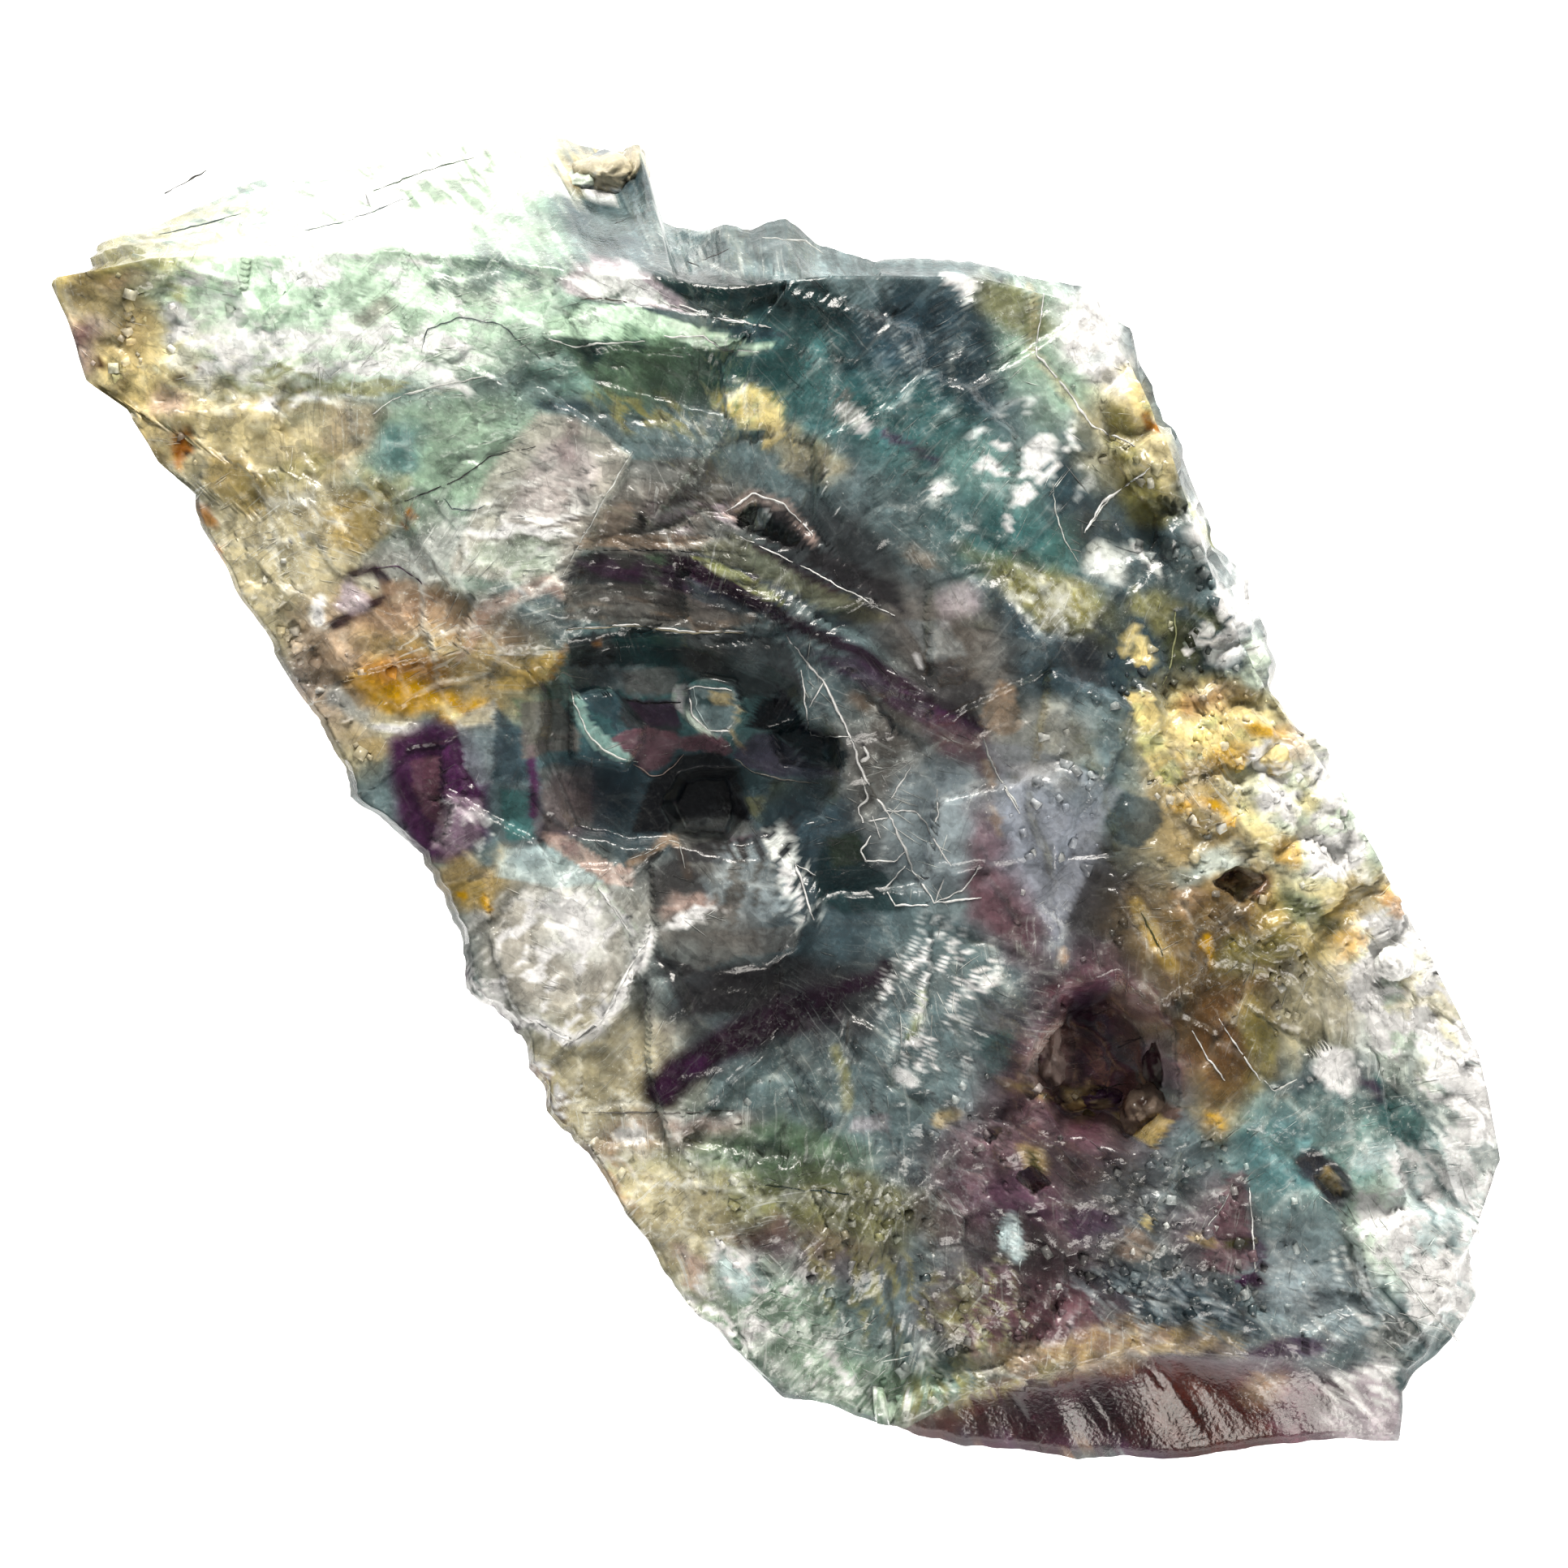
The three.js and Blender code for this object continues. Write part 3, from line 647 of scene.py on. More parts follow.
# Broad bands first; what is named later lies over what is named before.
BANDS: Sequence[Mark] = (
    Cloud(Tint.BEIGE, (-26, 18), (6, 6), -50, 1),
    Cloud(Tint.MINT, (-18, 19.6), (8.5, 2.4), -2, 1),
    Cloud(Tint.PALE_MINT, (-18.4, 17.1), (5.6, 1.3), 4, 0.7),
    Cloud(Tint.BEIGE, (-20.8, 13.8), (4.6, 2.4), -8, 0.95),
    Cloud(Tint.SEA_GREEN, (-13.5, 13.2), (3.4, 2.6), 10, 0.95),
    Cloud(Tint.BEIGE, (-19.5, 8), (5, 3.2), -30, 0.95),
    Cloud(Tint.SEA_GREEN, (-12.5, 9.8), (4, 1.8), 10, 0.7),
    Cloud(Tint.OLIVE, (-24, 23.4), (9, 2.4), 16, 1, 0.25),
    Cloud(Tint.PALE_MINT, (-13.5, 25.4), (9, 3.4), 14, 1, 0.3),
    Cloud(Tint.SEA_GREEN, (-10, 22.6), (2.8, 1.6), 8, 1),
    Cloud(Tint.DARK_SLATE, (-6.2, 22.9), (3.2, 2.2), -8, 1),
    Cloud(Tint.SLATE, (-0.4, 22.2), (6, 1.6), -4, 0.9),
    Cloud(Tint.MOSS, (-5.5, 16.6), (5, 1.4), -6),
    Cloud(Tint.TEAL, (1.5, 16.4), (4, 2.6), -6, 0.9),
    Cloud(Tint.DEEP_TEAL, (-0.4, 16.1), (1.6, 0.6), -6, 0.4),
    Cloud(Tint.DEEP_TEAL, (1.2, 19.2), (5, 1), -2, 0.85),
    Cloud(Tint.DARK_SLATE, (6, 17), (3.4, 3), -15, 0.95),
    Cloud(Tint.TEAL, (5.5, 14), (3, 2), -20),
    Cloud(Tint.AQUA, (8.6, 12.4), (2.6, 1.5), -20, 0.6),
    Cloud(Tint.TEAL, (9, 9.8), (3.4, 1.8), -20, 0.9),
    Cloud(Tint.SEA_GREEN, (11.2, 17.5), (2.4, 3.2), 10),
    Cloud(Tint.DARK_SLATE, (12.3, 12.2), (2, 1.9), 30, 0.85),
    Cloud(Tint.YELLOW, (14.6, 14.4), (1.4, 3.6), 20, 0.7),
    Cloud(Tint.DARK_SMOKE, (13.2, 9.8), (2.4, 1.4), -20, 0.7),
    Cloud(Tint.SLATE, (16.2, 8.4), (3.4, 3), -40, 0.9),
    Cloud(Tint.DARK_SLATE, (11.5, 5), (4.5, 2.6), -20),
    Cloud(Tint.DARK_SLATE, (15.5, 5.8), (3.4, 1.9), 0, 0.7),
    Cloud(Tint.OLIVE, (10.6, 7.6), (3.2, 0.9), -28, 0.85),
    Cloud(Tint.TAN, (-14.6, 6.4), (4, 1.6), -10, 0.95),
    Cloud(Tint.SAND, (-13.5, 4.4), (5.5, 1.5), -6, 0.9),
    Cloud(Tint.BEIGE, (-17.6, 2), (2, 2.6), -50),
    Cloud(Tint.PEARL, (-7, 10.8), (3.6, 1.6), -4, 0.6),
    Cloud(Tint.SMOKE, (-3.4, 11), (2.6, 1.8), -4, 0.7),
    Cloud(Tint.DARK_SMOKE, (-5, 8.2), (5.5, 1.4), -5),
    Cloud(Tint.TEAL, (-5.5, 3), (5, 3), 0, 0.85),
    Cloud(Tint.DARK_SLATE, (-6, -0.4), (5, 2.6), 0, 0.9),
    Cloud(Tint.MAUVE, (-8.4, -0.8), (1.8, 1.4), 0, 0.5),
    Cloud(Tint.DARK_SMOKE, (2.4, 9.2), (3.2, 1.8), -35, 0.75),
    Cloud(Tint.SMOKE, (6.4, 5.8), (3.4, 1.8), -30, 0.85),
    Cloud(Tint.SMOKE, (5.6, 0.2), (3.6, 4.6), -15, 0.9),
    Cloud(Tint.PALE_SLATE, (6.2, -1.8), (2.2, 2.8), -15),
    Cloud(Tint.SMOKE, (-2.4, -4.6), (3.6, 2.2)),
    Cloud(Tint.DARK_SLATE, (2.4, -6), (3.4, 2.6), 0, 0.7),
    Cloud(Tint.PEARL, (-8.9, -6.4), (3.4, 3.6), 0, 0.85),
    Cloud(Tint.FROST, (-8.2, -5.4), (1.6, 1.2), -40, 0.6),
    Cloud(Tint.DARK_SMOKE, (-2, -8.4), (3.2, 1.3), 15, 0.85),
    Cloud(Tint.PEARL, (-6, -10.6), (2, 1.6), 0, 0.6),
    Cloud(Tint.SLATE, (0, -12), (5, 2.6), 0, 0.95),
    Cloud(Tint.SLATE, (5.6, -9), (2.6, 4.6), 0, 0.85),
    Cloud(Tint.BEIGE, (-8, -12.2), (3, 3.4), -50, 0.85),
    Cloud(Tint.PINK, (-4, -14.2), (3, 1), 0, 0.6),
    Cloud(Tint.SEA_GREEN, (-2.8, -16.4), (3, 2)),
    Cloud(Tint.BEIGE, (-4.4, -18), (3.4, 2.8), -50, 0.9),
    Cloud(Tint.MOSS, (0.4, -15.2), (3.2, 1.2), -5),
    Cloud(Tint.OLIVE, (2, -17.6), (4.2, 1.4), -5, 0.7),
    Cloud(Tint.MAUVE, (1.4, -19.2), (3.4, 1), -10, 0.6),
    Cloud(Tint.SEA_GREEN, (0.4, -22.4), (4.4, 2.2), -20),
    Cloud(Tint.SLATE, (5, -21.8), (3.6, 2.2), -20, 0.7),
    Cloud(Tint.SEA_GREEN, (4, -24.8), (4, 1.4), -5),
    Cloud(Tint.MAUVE, (8.9, -4.2), (1.2, 3.4), 12, 0.9),
    Cloud(Tint.MAUVE, (7.6, 1.6), (1.6, 1), -30),
    Cloud(Tint.BLUE_LILAC, (10.8, -2.6), (1.9, 4), 12, 0.95),
    Cloud(Tint.SLATE, (12.4, 1.4), (2.2, 2.4), 0, 0.9),
    Cloud(Tint.PEARL, (10.4, 1.9), (1.8, 1.6), 0, 0.6),
    Cloud(Tint.DARK_SMOKE, (12.8, -5.4), (1.6, 2.6), -10),
    Cloud(Tint.MAUVE, (10.5, -16.8), (4.6, 4.2), -20),
    Cloud(Tint.DARK_SMOKE, (12.2, -15.6), (2.4, 1.2), -10, 0.5),
    Cloud(Tint.WINE, (12, -20), (2, 1.2), -10, 0.5),
    Cloud(Tint.WINE, (12.9, -10.8), (3.7, 3.5), -20, 0.95),
    Cloud(Tint.PLUM, (13.6, -10), (1.6, 1.3), -20, 0.5),
    Cloud(Tint.DARK_SMOKE, (10, -19.6), (2.6, 1.6), -20, 0.7),
    Cloud(Tint.SLATE, (14.8, -17.6), (2.6, 3), -20, 0.55),
    Cloud(Tint.MAUVE, (17.6, -18.4), (1.8, 2), 0, 0.5),
    Cloud(Tint.DARK_SLATE, (15.6, -21.4), (3.8, 1.3), -8, 0.9),
    Cloud(Tint.YELLOW, (18.6, 1.4), (4.2, 2.4), -20, 0.9),
    Cloud(Tint.SAND, (18, -2), (4, 3), -20, 0.85),
    Cloud(Tint.PALE_MINT, (21.8, -1.6), (2.6, 3.8), 30),
    Cloud(Tint.UMBER, (17.4, -6.4), (3.8, 2.6), -20, 0.9),
    Cloud(Tint.UMBER, (18.4, -10.4), (2.2, 3.6), 10, 0.95),
    Cloud(Tint.BROWN, (18, -10), (1.4, 1.8), 10, 0.5),
    Cloud(Tint.SAND, (18.2, -13.8), (1.2, 1), 0, 0.7),
    Cloud(Tint.YELLOW, (22, -6), (2.4, 1.8), -30, 0.7),
    Cloud(Tint.SEA_GREEN, (21, -5.2), (1.2, 0.7), -30, 0.7),
    Cloud(Tint.HONEY, (24, -5), (2.4, 1.8), -40),
    Cloud(Tint.WHITE, (25.6, -8), (3, 2.6), -30, 0.9),
    Cloud(Tint.SEA_GREEN, (26, -9.6), (2, 1.6)),
    Cloud(Tint.WHITE, (28.4, -11.6), (2, 3.6), 10, 0.9),
    Cloud(Tint.PALE_MINT, (26.8, -11.4), (2, 3), 20, 0.6),
    Cloud(Tint.SLATE, (22.4, -12.4), (2, 1.2), 20),
    Cloud(Tint.BEIGE, (22.4, -9.4), (2, 2)),
    Cloud(Tint.AQUA, (22.4, -16), (3.8, 2.8), -25, 0.9),
    Cloud(Tint.SLATE, (21.8, -13.8), (1.8, 0.9), -10, 0.7),
    Cloud(Tint.TURQUOISE, (20.3, -15.4), (1.6, 2), -10),
    Cloud(Tint.PALE_SLATE, (22.6, -20.8), (3.4, 2.2), -15, 0.7),
    Cloud(Tint.SLATE, (21.8, -18.6), (2.2, 1.4), -20),
    Cloud(Tint.PALE_MINT, (25.2, -18.8), (1.6, 2), 30),
    Cloud(Tint.FROST, (28.2, -18.6), (2.4, 4), 15, 0.95),
    Cloud(Tint.MAUVE, (14, -29.4), (9, 3.2), 0, 0.8, 0.4),
    Streaks(Tint.TAN, (14, -28.8), (9, 2.6), 0, 0.8, 0.5, -60, 0.5, 1.5, 0.5),
    Streaks(Tint.SLATE, (12, -28.8), (9, 2.6), 0, 0.8, 0.5, 30, 0.6, 1.8, 0.5),
    Streaks(Tint.PLUM, (14, -28.6), (9, 2.4), 0, 0.8, 0.5, -20, 0.5, 2, 0.5),
    # painted reflection: a warm reddish glow over the lower ledge's own dark colour
    Cloud(Tint.GARNET_AND_REFLECTION, (13.5, -26), (7.4, 1.8), 0, 1, 0.35),
    Cloud(Tint.WINE, (18.8, -25.2), (3, 1.6), 0, 0.7),
    Cloud(Tint.MAUVE, (10, -21.8), (3.8, 1.5), -5, 0.9),
    Cloud(Tint.TAN, (13, -23.1), (5, 0.8), 0, 0.85),
    Cloud(Tint.LILAC, (24.6, -26.4), (1.6, 2.4), 0, 0.9, 0.3),
)

DETAILS: Sequence[Mark] = (
    # upper left
    Cloud(Tint.HONEY, (-25.4, 14.4), (1.6, 2.2), 30, 0.4),
    Cloud(Tint.BEIGE, (-21.5, 14.2), (3.6, 1.6), -20, 0.5),
    Cloud(Tint.YELLOW, (-26, 16.6), (1.8, 1.6), 0, 0.4),
    Cloud(Tint.PALE_MINT, (-12, 20.3), (1.8, 0.6), 0, 0.6),
    Cloud(Tint.SMOKE, (-6, 10), (2.2, 1.2), -20, 0.75),
    Cloud(Tint.SLATE, (-10, 10.4), (2.6, 1.6), -10, 0.35),
    Cloud(Tint.PINK, (-18.4, 4.4), (1.6, 2.6), 20, 0.5),
    Cloud(Tint.LILAC, (-14.2, 9.4), (2.6, 1.2), 10, 0.4),
    Cloud(Tint.BEIGE, (14.2, 14), (2.2, 2.2), 0, 0.75),
    Cloud(Tint.SLATE, (6.2, 10.4), (1.8, 1.2), -40, 0.4),
    Cloud(Tint.YELLOW, (-22, 14.4), (2.2, 1.2), -10, 0.25),
    Cloud(Tint.SAND, (-27.5, 19.2), (2.6, 1.2), -50, 0.7),
    Cloud(Tint.TAN, (-26.3, 20.3), (1.3, 0.5), 5, 0.7),
    Cloud(Tint.OLIVE, (-24.7, 19.6), (0.7, 0.5), -30),
    Cloud(Tint.FROST, (-24.6, 18.4), (0.9, 0.7)),
    Cloud(Tint.PINK, (-28.4, 17.8), (0.9, 1.1), 20),
    Cloud(Tint.MAUVE, (-28.3, 18.2), (0.5, 0.3), -20, 0.7),
    Cloud(Tint.FROST, (-28.9, 18.1), (0.5, 0.25), -20, 0.9),
    Cloud(Tint.BROWN, (-27.3, 16.8), (0.35, 0.22), -50, 1),
    Cloud(Tint.BROWN, (-24.3, 16.6), (0.22, 0.14), 30, 0.9),
    Cloud(Tint.BROWN, (-23.8, 16.8), (0.12, 0.12), 30, 0.9),
    Cloud(Tint.PINK, (-24.6, 15.6), (0.6, 0.5), -40, 0.7),
    Cloud(Tint.MINT, (-19.3, 19.4), (0.9, 0.7), 60, 0.9),
    Cloud(Tint.MAUVE, (-16.3, 18.7), (1.1, 0.4), 20, 0.6),
    Cloud(Tint.SEA_GREEN, (-13.5, 17.8), (2, 1.1), -20, 0.5),
    Cloud(Tint.PALE_MINT, (-22, 18), (2, 1.4), -20, 0.5),
    Cloud(Tint.PLUM, (-14, 17.3), (0.4, 0.22), 0, 0.55),
    Cloud(Tint.RUST, (-24.2, 13.3), (0.42, 0.85), 0, 1),
    Cloud(Tint.BROWN, (-24.05, 13.2), (0.25, 0.25), 0, 1),
    Cloud(Tint.OLIVE, (-19.6, 12.4), (2.2, 0.6), 25, 0.6),
    Cloud(Tint.HONEY, (-21.6, 12), (1.6, 0.9), -40, 0.6),
    Cloud(Tint.HONEY, (-17.2, 11), (1.9, 1), 20, 0.7),
    Cloud(Tint.TAN, (-17.6, 13.9), (1.2, 1.2), 0, 0.6),
    Cloud(Tint.TURQUOISE, (-15.5, 13.2), (1.1, 1), 20, 0.75),
    Cloud(Tint.RUST, (-14.9, 10.95), (0.35, 0.12), -15),
    Cloud(Tint.RUST, (-23.3, 10.6), (0.8, 0.35), -40, 0.6),
    Cloud(Tint.RUST, (-22.4, 9), (0.35, 0.2), -60),
    Cloud(Tint.FROST, (-13.6, 16.2), (0.6, 0.3), -20),
    Streaks(Tint.FROST, (-18.5, 17.1), (6.5, 1), 4, 0.6, 0.4, 15, 0.22, 1.3, 0.5),
    Streaks(Tint.FROST, (-19.6, 15.4), (2.8, 0.45), -2, 0.85, 0.4, 0, 0.25, 1, 0.55),
    Streaks(Tint.OLIVE, (-19, 16), (5, 0.5), -2, 0.7, 0.4, -4, 0.15, 3, 0.35),
    Streaks(Tint.SEA_GREEN, (-20, 20), (6, 1.6), 0, 0.6, 0.4, 60, 0.5, 1.2),
    Streaks(Tint.SLATE, (-11, 20.9), (2.6, 0.9), 0, 0.7, 0.5, 84, 0.14, 0.8, 0.5),
    Streaks(Tint.DEEP_TEAL, (-13.4, 20.2), (0.9, 0.6), -40, 0.7, 0.4, -45, 0.3, 0.8, 0.5),
    Seam(Tint.DARK_SMOKE, ((-15.3, 11.4), (-13.2, 12.2), (-11.8, 13.2), (-10, 13.6)), 0.09),
    Seam(Tint.SLATE, ((-14.6, 17.4), (-14.4, 18.3), (-13, 18.8), (-11.4, 18.5), (-9.8, 17.1)), 0.09),
    Seam(Tint.DARK_SLATE, ((-13.7, 11.5), (-13.4, 11.1), (-12.6, 11), (-12, 11.2)), 0.08),
    Seam(Tint.FROST, ((-16.6, 14.9), (-15.6, 15.6), (-14, 16), (-12, 16.4)), 0.12, 0.6),
    # the long sloping side above
    Streaks(Tint.PALE_MINT, (-16.4, 24.8), (9, 2.6), 16, 0.5, 0.4, 17, 0.3, 6, 0.45),
    Streaks(Tint.MOSS, (-15.4, 24.1), (6, 1.2), 16, 0.8, 0.4, 17, 0.16, 5, 0.3),
    Streaks(Tint.TEAL, (-22.5, 23.2), (5, 1.2), 20, 0.8, 0.4, 19, 0.14, 4, 0.3),
    Seam(Tint.MOSS, ((-16.6, 24), (-14.6, 24.7), (-12.5, 25.3)), 0.1, 0.6),
    Seam(Tint.SLATE, ((-25.4, 22.3), (-24, 22.6), (-22, 23.1)), 0.1),
    Seam(Tint.SLATE, ((-19.6, 22.4), (-17, 22.9), (-15, 23.7)), 0.08, 0.7),
    Seam(Tint.DARK_SMOKE, ((-25.2, 24), (-23.9, 24.7), (-23.4, 24.9)), 0.11, 0.95),
    Cloud(Tint.SAND, (-7.4, 25.4), (1.9, 1.2), 10, 0.9),
    Streaks(Tint.SLATE, (-7.6, 25.2), (1.6, 1), 10, 0.9, 0.4, 70, 0.4, 0.8, 0.45),
    Cloud(Tint.DARK_OLIVE, (-6.6, 25), (0.35, 0.8), -10),
    Streaks(Tint.SLATE, (-4, 22.3), (7, 1.6), -6, 0.7, 0.5, -4, 0.3, 4),
    Seam(Tint.FROST, ((-10, 24.4), (-8, 24.2), (-6.4, 23.8)), 0.16),
    Seam(Tint.FROST, ((-0.9, 22), (0.8, 21.9), (1.6, 21.4)), 0.1),
    Seam(Tint.DARK_SMOKE, ((-3.9, 21), (-3.4, 20.85)), 0.06, 0.9),
    Seam(Tint.DARK_SMOKE, ((-3.3, 21.1), (-2.6, 21.4), (-2.2, 21.6)), 0.05, 0.9),
    Seam(Tint.DARK_SMOKE, ((-6.8, 22.6), (-6.2, 22.8)), 0.05, 0.9),
    # upper middle
    Facet(Tint.DEEP_TEAL, (
        (-6.2, 20.7), (-3, 20.6), (1, 20.2), (-1, 19.6), (-4, 19.5), (-5.2, 20.2),
    ), 0.85),
    Facet(Tint.LILAC, (
        (-9.2, 20.3), (-7.6, 21.2), (-6.2, 21), (-4.7, 20), (-3.6, 19), (-6.2, 19.4), (-8.9, 19.7),
    ), 0.9, 0.12),
    Facet(Tint.WHITE, (
        (-8.5, 20.2), (-7.4, 20.9), (-6.4, 20.8), (-5.2, 19.9), (-4.6, 19.3), (-6.3, 19.5), (-7.7, 19.6),
    ), 1),
    Seam(Tint.BROWN, ((-8.2, 19.5), (-7.2, 19.55), (-6.3, 19.4)), 0.08, 0.7),
    Facet(Tint.MINT, (
        (-9.8, 18.6), (-8, 19.4), (-6, 19.3), (-4, 18.6), (-1.9, 17.9), (-0.4, 17.7), (-1.3, 17.4),
        (-3, 17.6), (-5, 18), (-7, 17.9), (-9.4, 18),
    ), 0.95),
    Facet(Tint.DARK_SLATE, ((-3.4, 18.7), (-1.6, 18.6), (0.2, 18.2), (-0.2, 17.9), (-1.9, 18.1)), 0.85),
    Seam(Tint.FROST, ((-4.6, 19.3), (-3.4, 18.9), (-1.9, 18.7), (-0.5, 18.4)), 0.1, 0.9),
    Seam(Tint.FROST, ((-4.8, 18), (-3.4, 18), (-2.4, 17.5)), 0.09),
    Seam(Tint.FROST, ((-9.7, 18), (-8.5, 17.6), (-7.6, 17.7), (-5.6, 17.8)), 0.1, 0.6),
    Cloud(Tint.MOSS, (-6, 17.1), (1.7, 0.7), 0, 0.9),
    Streaks(Tint.DEEP_TEAL, (-7.6, 17.5), (1.8, 0.5), 0, 0.9, 0.4, 60, 0.25, 0.7, 0.5),
    Cloud(Tint.AQUA, (-9.5, 16.3), (1.4, 0.7), 0, 0.7),
    Seam(Tint.DARK_SLATE, ((-10, 15.4), (-9, 15.2), (-8, 15.3)), 0.2, 0.75),
    Streaks(Tint.OLIVE, (-5.8, 15.1), (2.6, 0.8), -18, 0.8, 0.4, -50, 0.3, 0.8, 0.5),
    Cloud(Tint.LIME, (-1.6, 14.9), (1, 0.6), -20, 0.8, 0.35),
    Streaks(Tint.YELLOW, (-1.2, 14.7), (1.3, 0.7), -30, 0.8, 0.35, 60, 0.3, 0.6, 0.45),
    Facet(Tint.FROST, (
        (1.9, 15.2), (2.3, 15.5), (3, 15.2), (3.4, 14.4), (3.2, 14.1), (2.5, 14.6),
    ), 0.85, 0.1),
    Streaks(Tint.SMOKE, (2.7, 14.8), (0.9, 0.6), -30, 0.7, 0.3, 50, 0.12, 0.5, 0.5),
    Seam(Tint.PLUM, ((3.9, 14.2), (5, 13.7), (6, 13)), 0.16, 0.6),
    Cloud(Tint.SAND, (0.5, 13.5), (1.8, 0.7), -30, 0.5),
    Cloud(Tint.WHITE, (7.3, 20), (0.6, 0.55), 0, 0.7, 0.3),
    Streaks(Tint.PALE_SLATE, (5, 17.6), (4, 2), -60, 0.35, 0.4, -62, 0.16, 4, 0.25),
    Streaks(Tint.WHITE, (9.8, 13.2), (2.6, 1.5), -20, 0.85, 0.4, 30, 0.3, 0.8, 0.24),
    Cloud(Tint.WHITE, (10.1, 13.6), (0.6, 0.4), 0, 0.85),
    Cloud(Tint.WHITE, (8.7, 10.9), (0.25, 0.45), 0, 0.95, 0.3),
    Cloud(Tint.WHITE, (9.5, 12.2), (0.5, 0.3)),
    Cloud(Tint.FROST, (6.1, 11.9), (0.4, 0.4), 0, 0.7),
    Cloud(Tint.OLIVE, (9.4, 19.3), (1.6, 0.9), -10, 0.6),
    Cloud(Tint.BLACK, (9.3, 20.4), (0.16, 0.1), 30, 1, 0.3),
    # upper right and the right rim
    Cloud(Tint.WHITE, (13, 18), (1.8, 2.2), 10, 0.95),
    Cloud(Tint.PALE_SLATE, (12.8, 17.3), (0.8, 0.5), 0, 0.6),
    Cloud(Tint.YELLOW, (14.4, 15.9), (0.7, 1.1), 20, 0.85, 0.35),
    Seam(Tint.RUST, ((14.8, 14.9), (15.1, 14.4), (15.6, 14.2)), 0.16, 0.85),
    Cloud(Tint.OLIVE, (13.7, 13.7), (1, 0.9), -30, 0.9),
    Cloud(Tint.OLIVE, (14.7, 11.6), (1.1, 1), 0, 0.9),
    Seam(Tint.BEIGE, ((10.6, 20), (10.2, 17.6), (11.4, 16), (12.6, 14.6), (14.4, 13.7)), 0.16, 0.55),
    Seam(Tint.FROST, ((14.8, 12.8), (13.2, 11.6), (12.3, 10.3)), 0.12, 0.7),
    Seam(Tint.FROST, ((10.9, 12.2), (11, 11), (11.4, 9.8), (11.9, 9)), 0.1, 0.6),
    Cloud(Tint.DARK_SLATE, (14, 9.8), (1.8, 1.2), 0, 0.6),
    Cloud(Tint.FROST, (12.8, 8.9), (0.8, 0.7), 0, 0.6),
    Seam(Tint.FROST, ((14.4, 9.6), (15, 8.9), (15.4, 8.4)), 0.16, 0.7),
    Cloud(Tint.WHITE, (16.9, 10), (0.8, 0.9), -30, 0.95),
    Seam(Tint.LIME, ((16.8, 11.4), (17.4, 10.1), (18.8, 9.4)), 0.25, 0.85),
    Cloud(Tint.WHITE, (19.4, 7.4), (0.8, 1.3), -30, 0.85),
    Streaks(Tint.WHITE, (18.2, 6.8), (1.6, 1.6), 0, 0.7, 0.4, 60, 0.4, 0.6, 0.35),
    Cloud(Tint.OLIVE, (15, 7), (1.1, 0.8), 0, 0.7),
    Cloud(Tint.DARK_OLIVE, (16.3, 6), (0.9, 1.1)),
    Facet(Tint.PALE_MINT, ((16.9, 6.35), (17.05, 5.8), (16.8, 5.1), (16.45, 5.1)), 1),
    Seam(Tint.LIME, ((15.9, 7), (15.9, 6), (15.7, 4.8), (15.3, 4)), 0.12, 0.7),
    Cloud(Tint.YELLOW, (14.5, 5.4), (0.6, 0.25), -20, 0.7, 0.35),
    Cloud(Tint.PALE_MINT, (19.8, 4.9), (0.7, 0.8), -30),
    Cloud(Tint.DARK_SMOKE, (12.2, 5.2), (1, 0.8), 0, 0.7),
    Streaks(Tint.FROST, (11, 7), (2, 0.8), -30, 0.35, 0.4, -40, 0.3, 0.6, 0.35),
    # golden crust
    Facet(Tint.YELLOW, (
        (13.9, 3.6), (14.8, 3.7), (15.4, 1.6), (16.3, 0.1), (15.4, -0.1), (14.7, 0.9),
    ), 0.9),
    Cloud(Tint.RUST, (17, 3.4), (1, 0.35), 0, 0.5),
    Cloud(Tint.TAN, (17.8, 3.3), (1.6, 0.8), 10, 0.6),
    Cloud(Tint.AMBER, (19.9, 2.1), (0.9, 0.35), -15, 0.85),
    Cloud(Tint.AMBER, (18.4, 1), (0.9, 0.8), 30, 0.6),
    Cloud(Tint.WHITE, (19.9, 0.9), (0.85, 0.75), 0, 1, 0.25),
    Cloud(Tint.AMBER, (20.3, 0.6), (0.14, 0.3), 0, 0.8, 0.3),
    Cloud(Tint.PINK, (21.2, 1.4), (0.9, 0.9), 0, 0.6),
    Cloud(Tint.RUST, (21.5, 1.35), (0.16, 0.14), 0, 0.9, 0.3),
    Cloud(Tint.SMOKE, (17.6, 0.4), (0.6, 0.7), 0, 0.5),
    Seam(Tint.AMBER, ((15.9, -1), (16.6, -0.7), (17.5, -0.9), (18, -1.5)), 0.22),
    Cloud(Tint.AMBER, (20.2, -2.7), (0.5, 0.9), 15, 0.75),
    Cloud(Tint.YELLOW, (19.2, -1.6), (0.6, 0.9), 30, 0.7),
    Cloud(Tint.YELLOW, (21.2, -0.9), (0.6, 0.4), 0, 0.6),
    Cloud(Tint.WHITE, (20, -0.7), (0.6, 0.35), 0, 0.9),
    Cloud(Tint.ICE, (17.4, -2.7), (1.1, 0.6), 0, 0.6),
    Cloud(Tint.SLATE, (16.1, -3.2), (0.9, 0.7), 0, 0.7),
    Cloud(Tint.BROWN, (18.6, -4.1), (1, 0.6), -20, 1, 0.25),
    Cloud(Tint.DEEP_PLUM, (18.3, -3.8), (0.5, 0.25), -20),
    Cloud(Tint.TAN, (19.1, -4.3), (0.35, 0.25), 0, 0.7),
    Cloud(Tint.TAN, (16.2, -4.3), (0.9, 0.5), -30, 0.6),
    Cloud(Tint.WHITE, (22.6, -2.9), (1.1, 0.9)),
    Cloud(Tint.RUST, (25, -4.9), (0.9, 0.35), -45, 0.45),
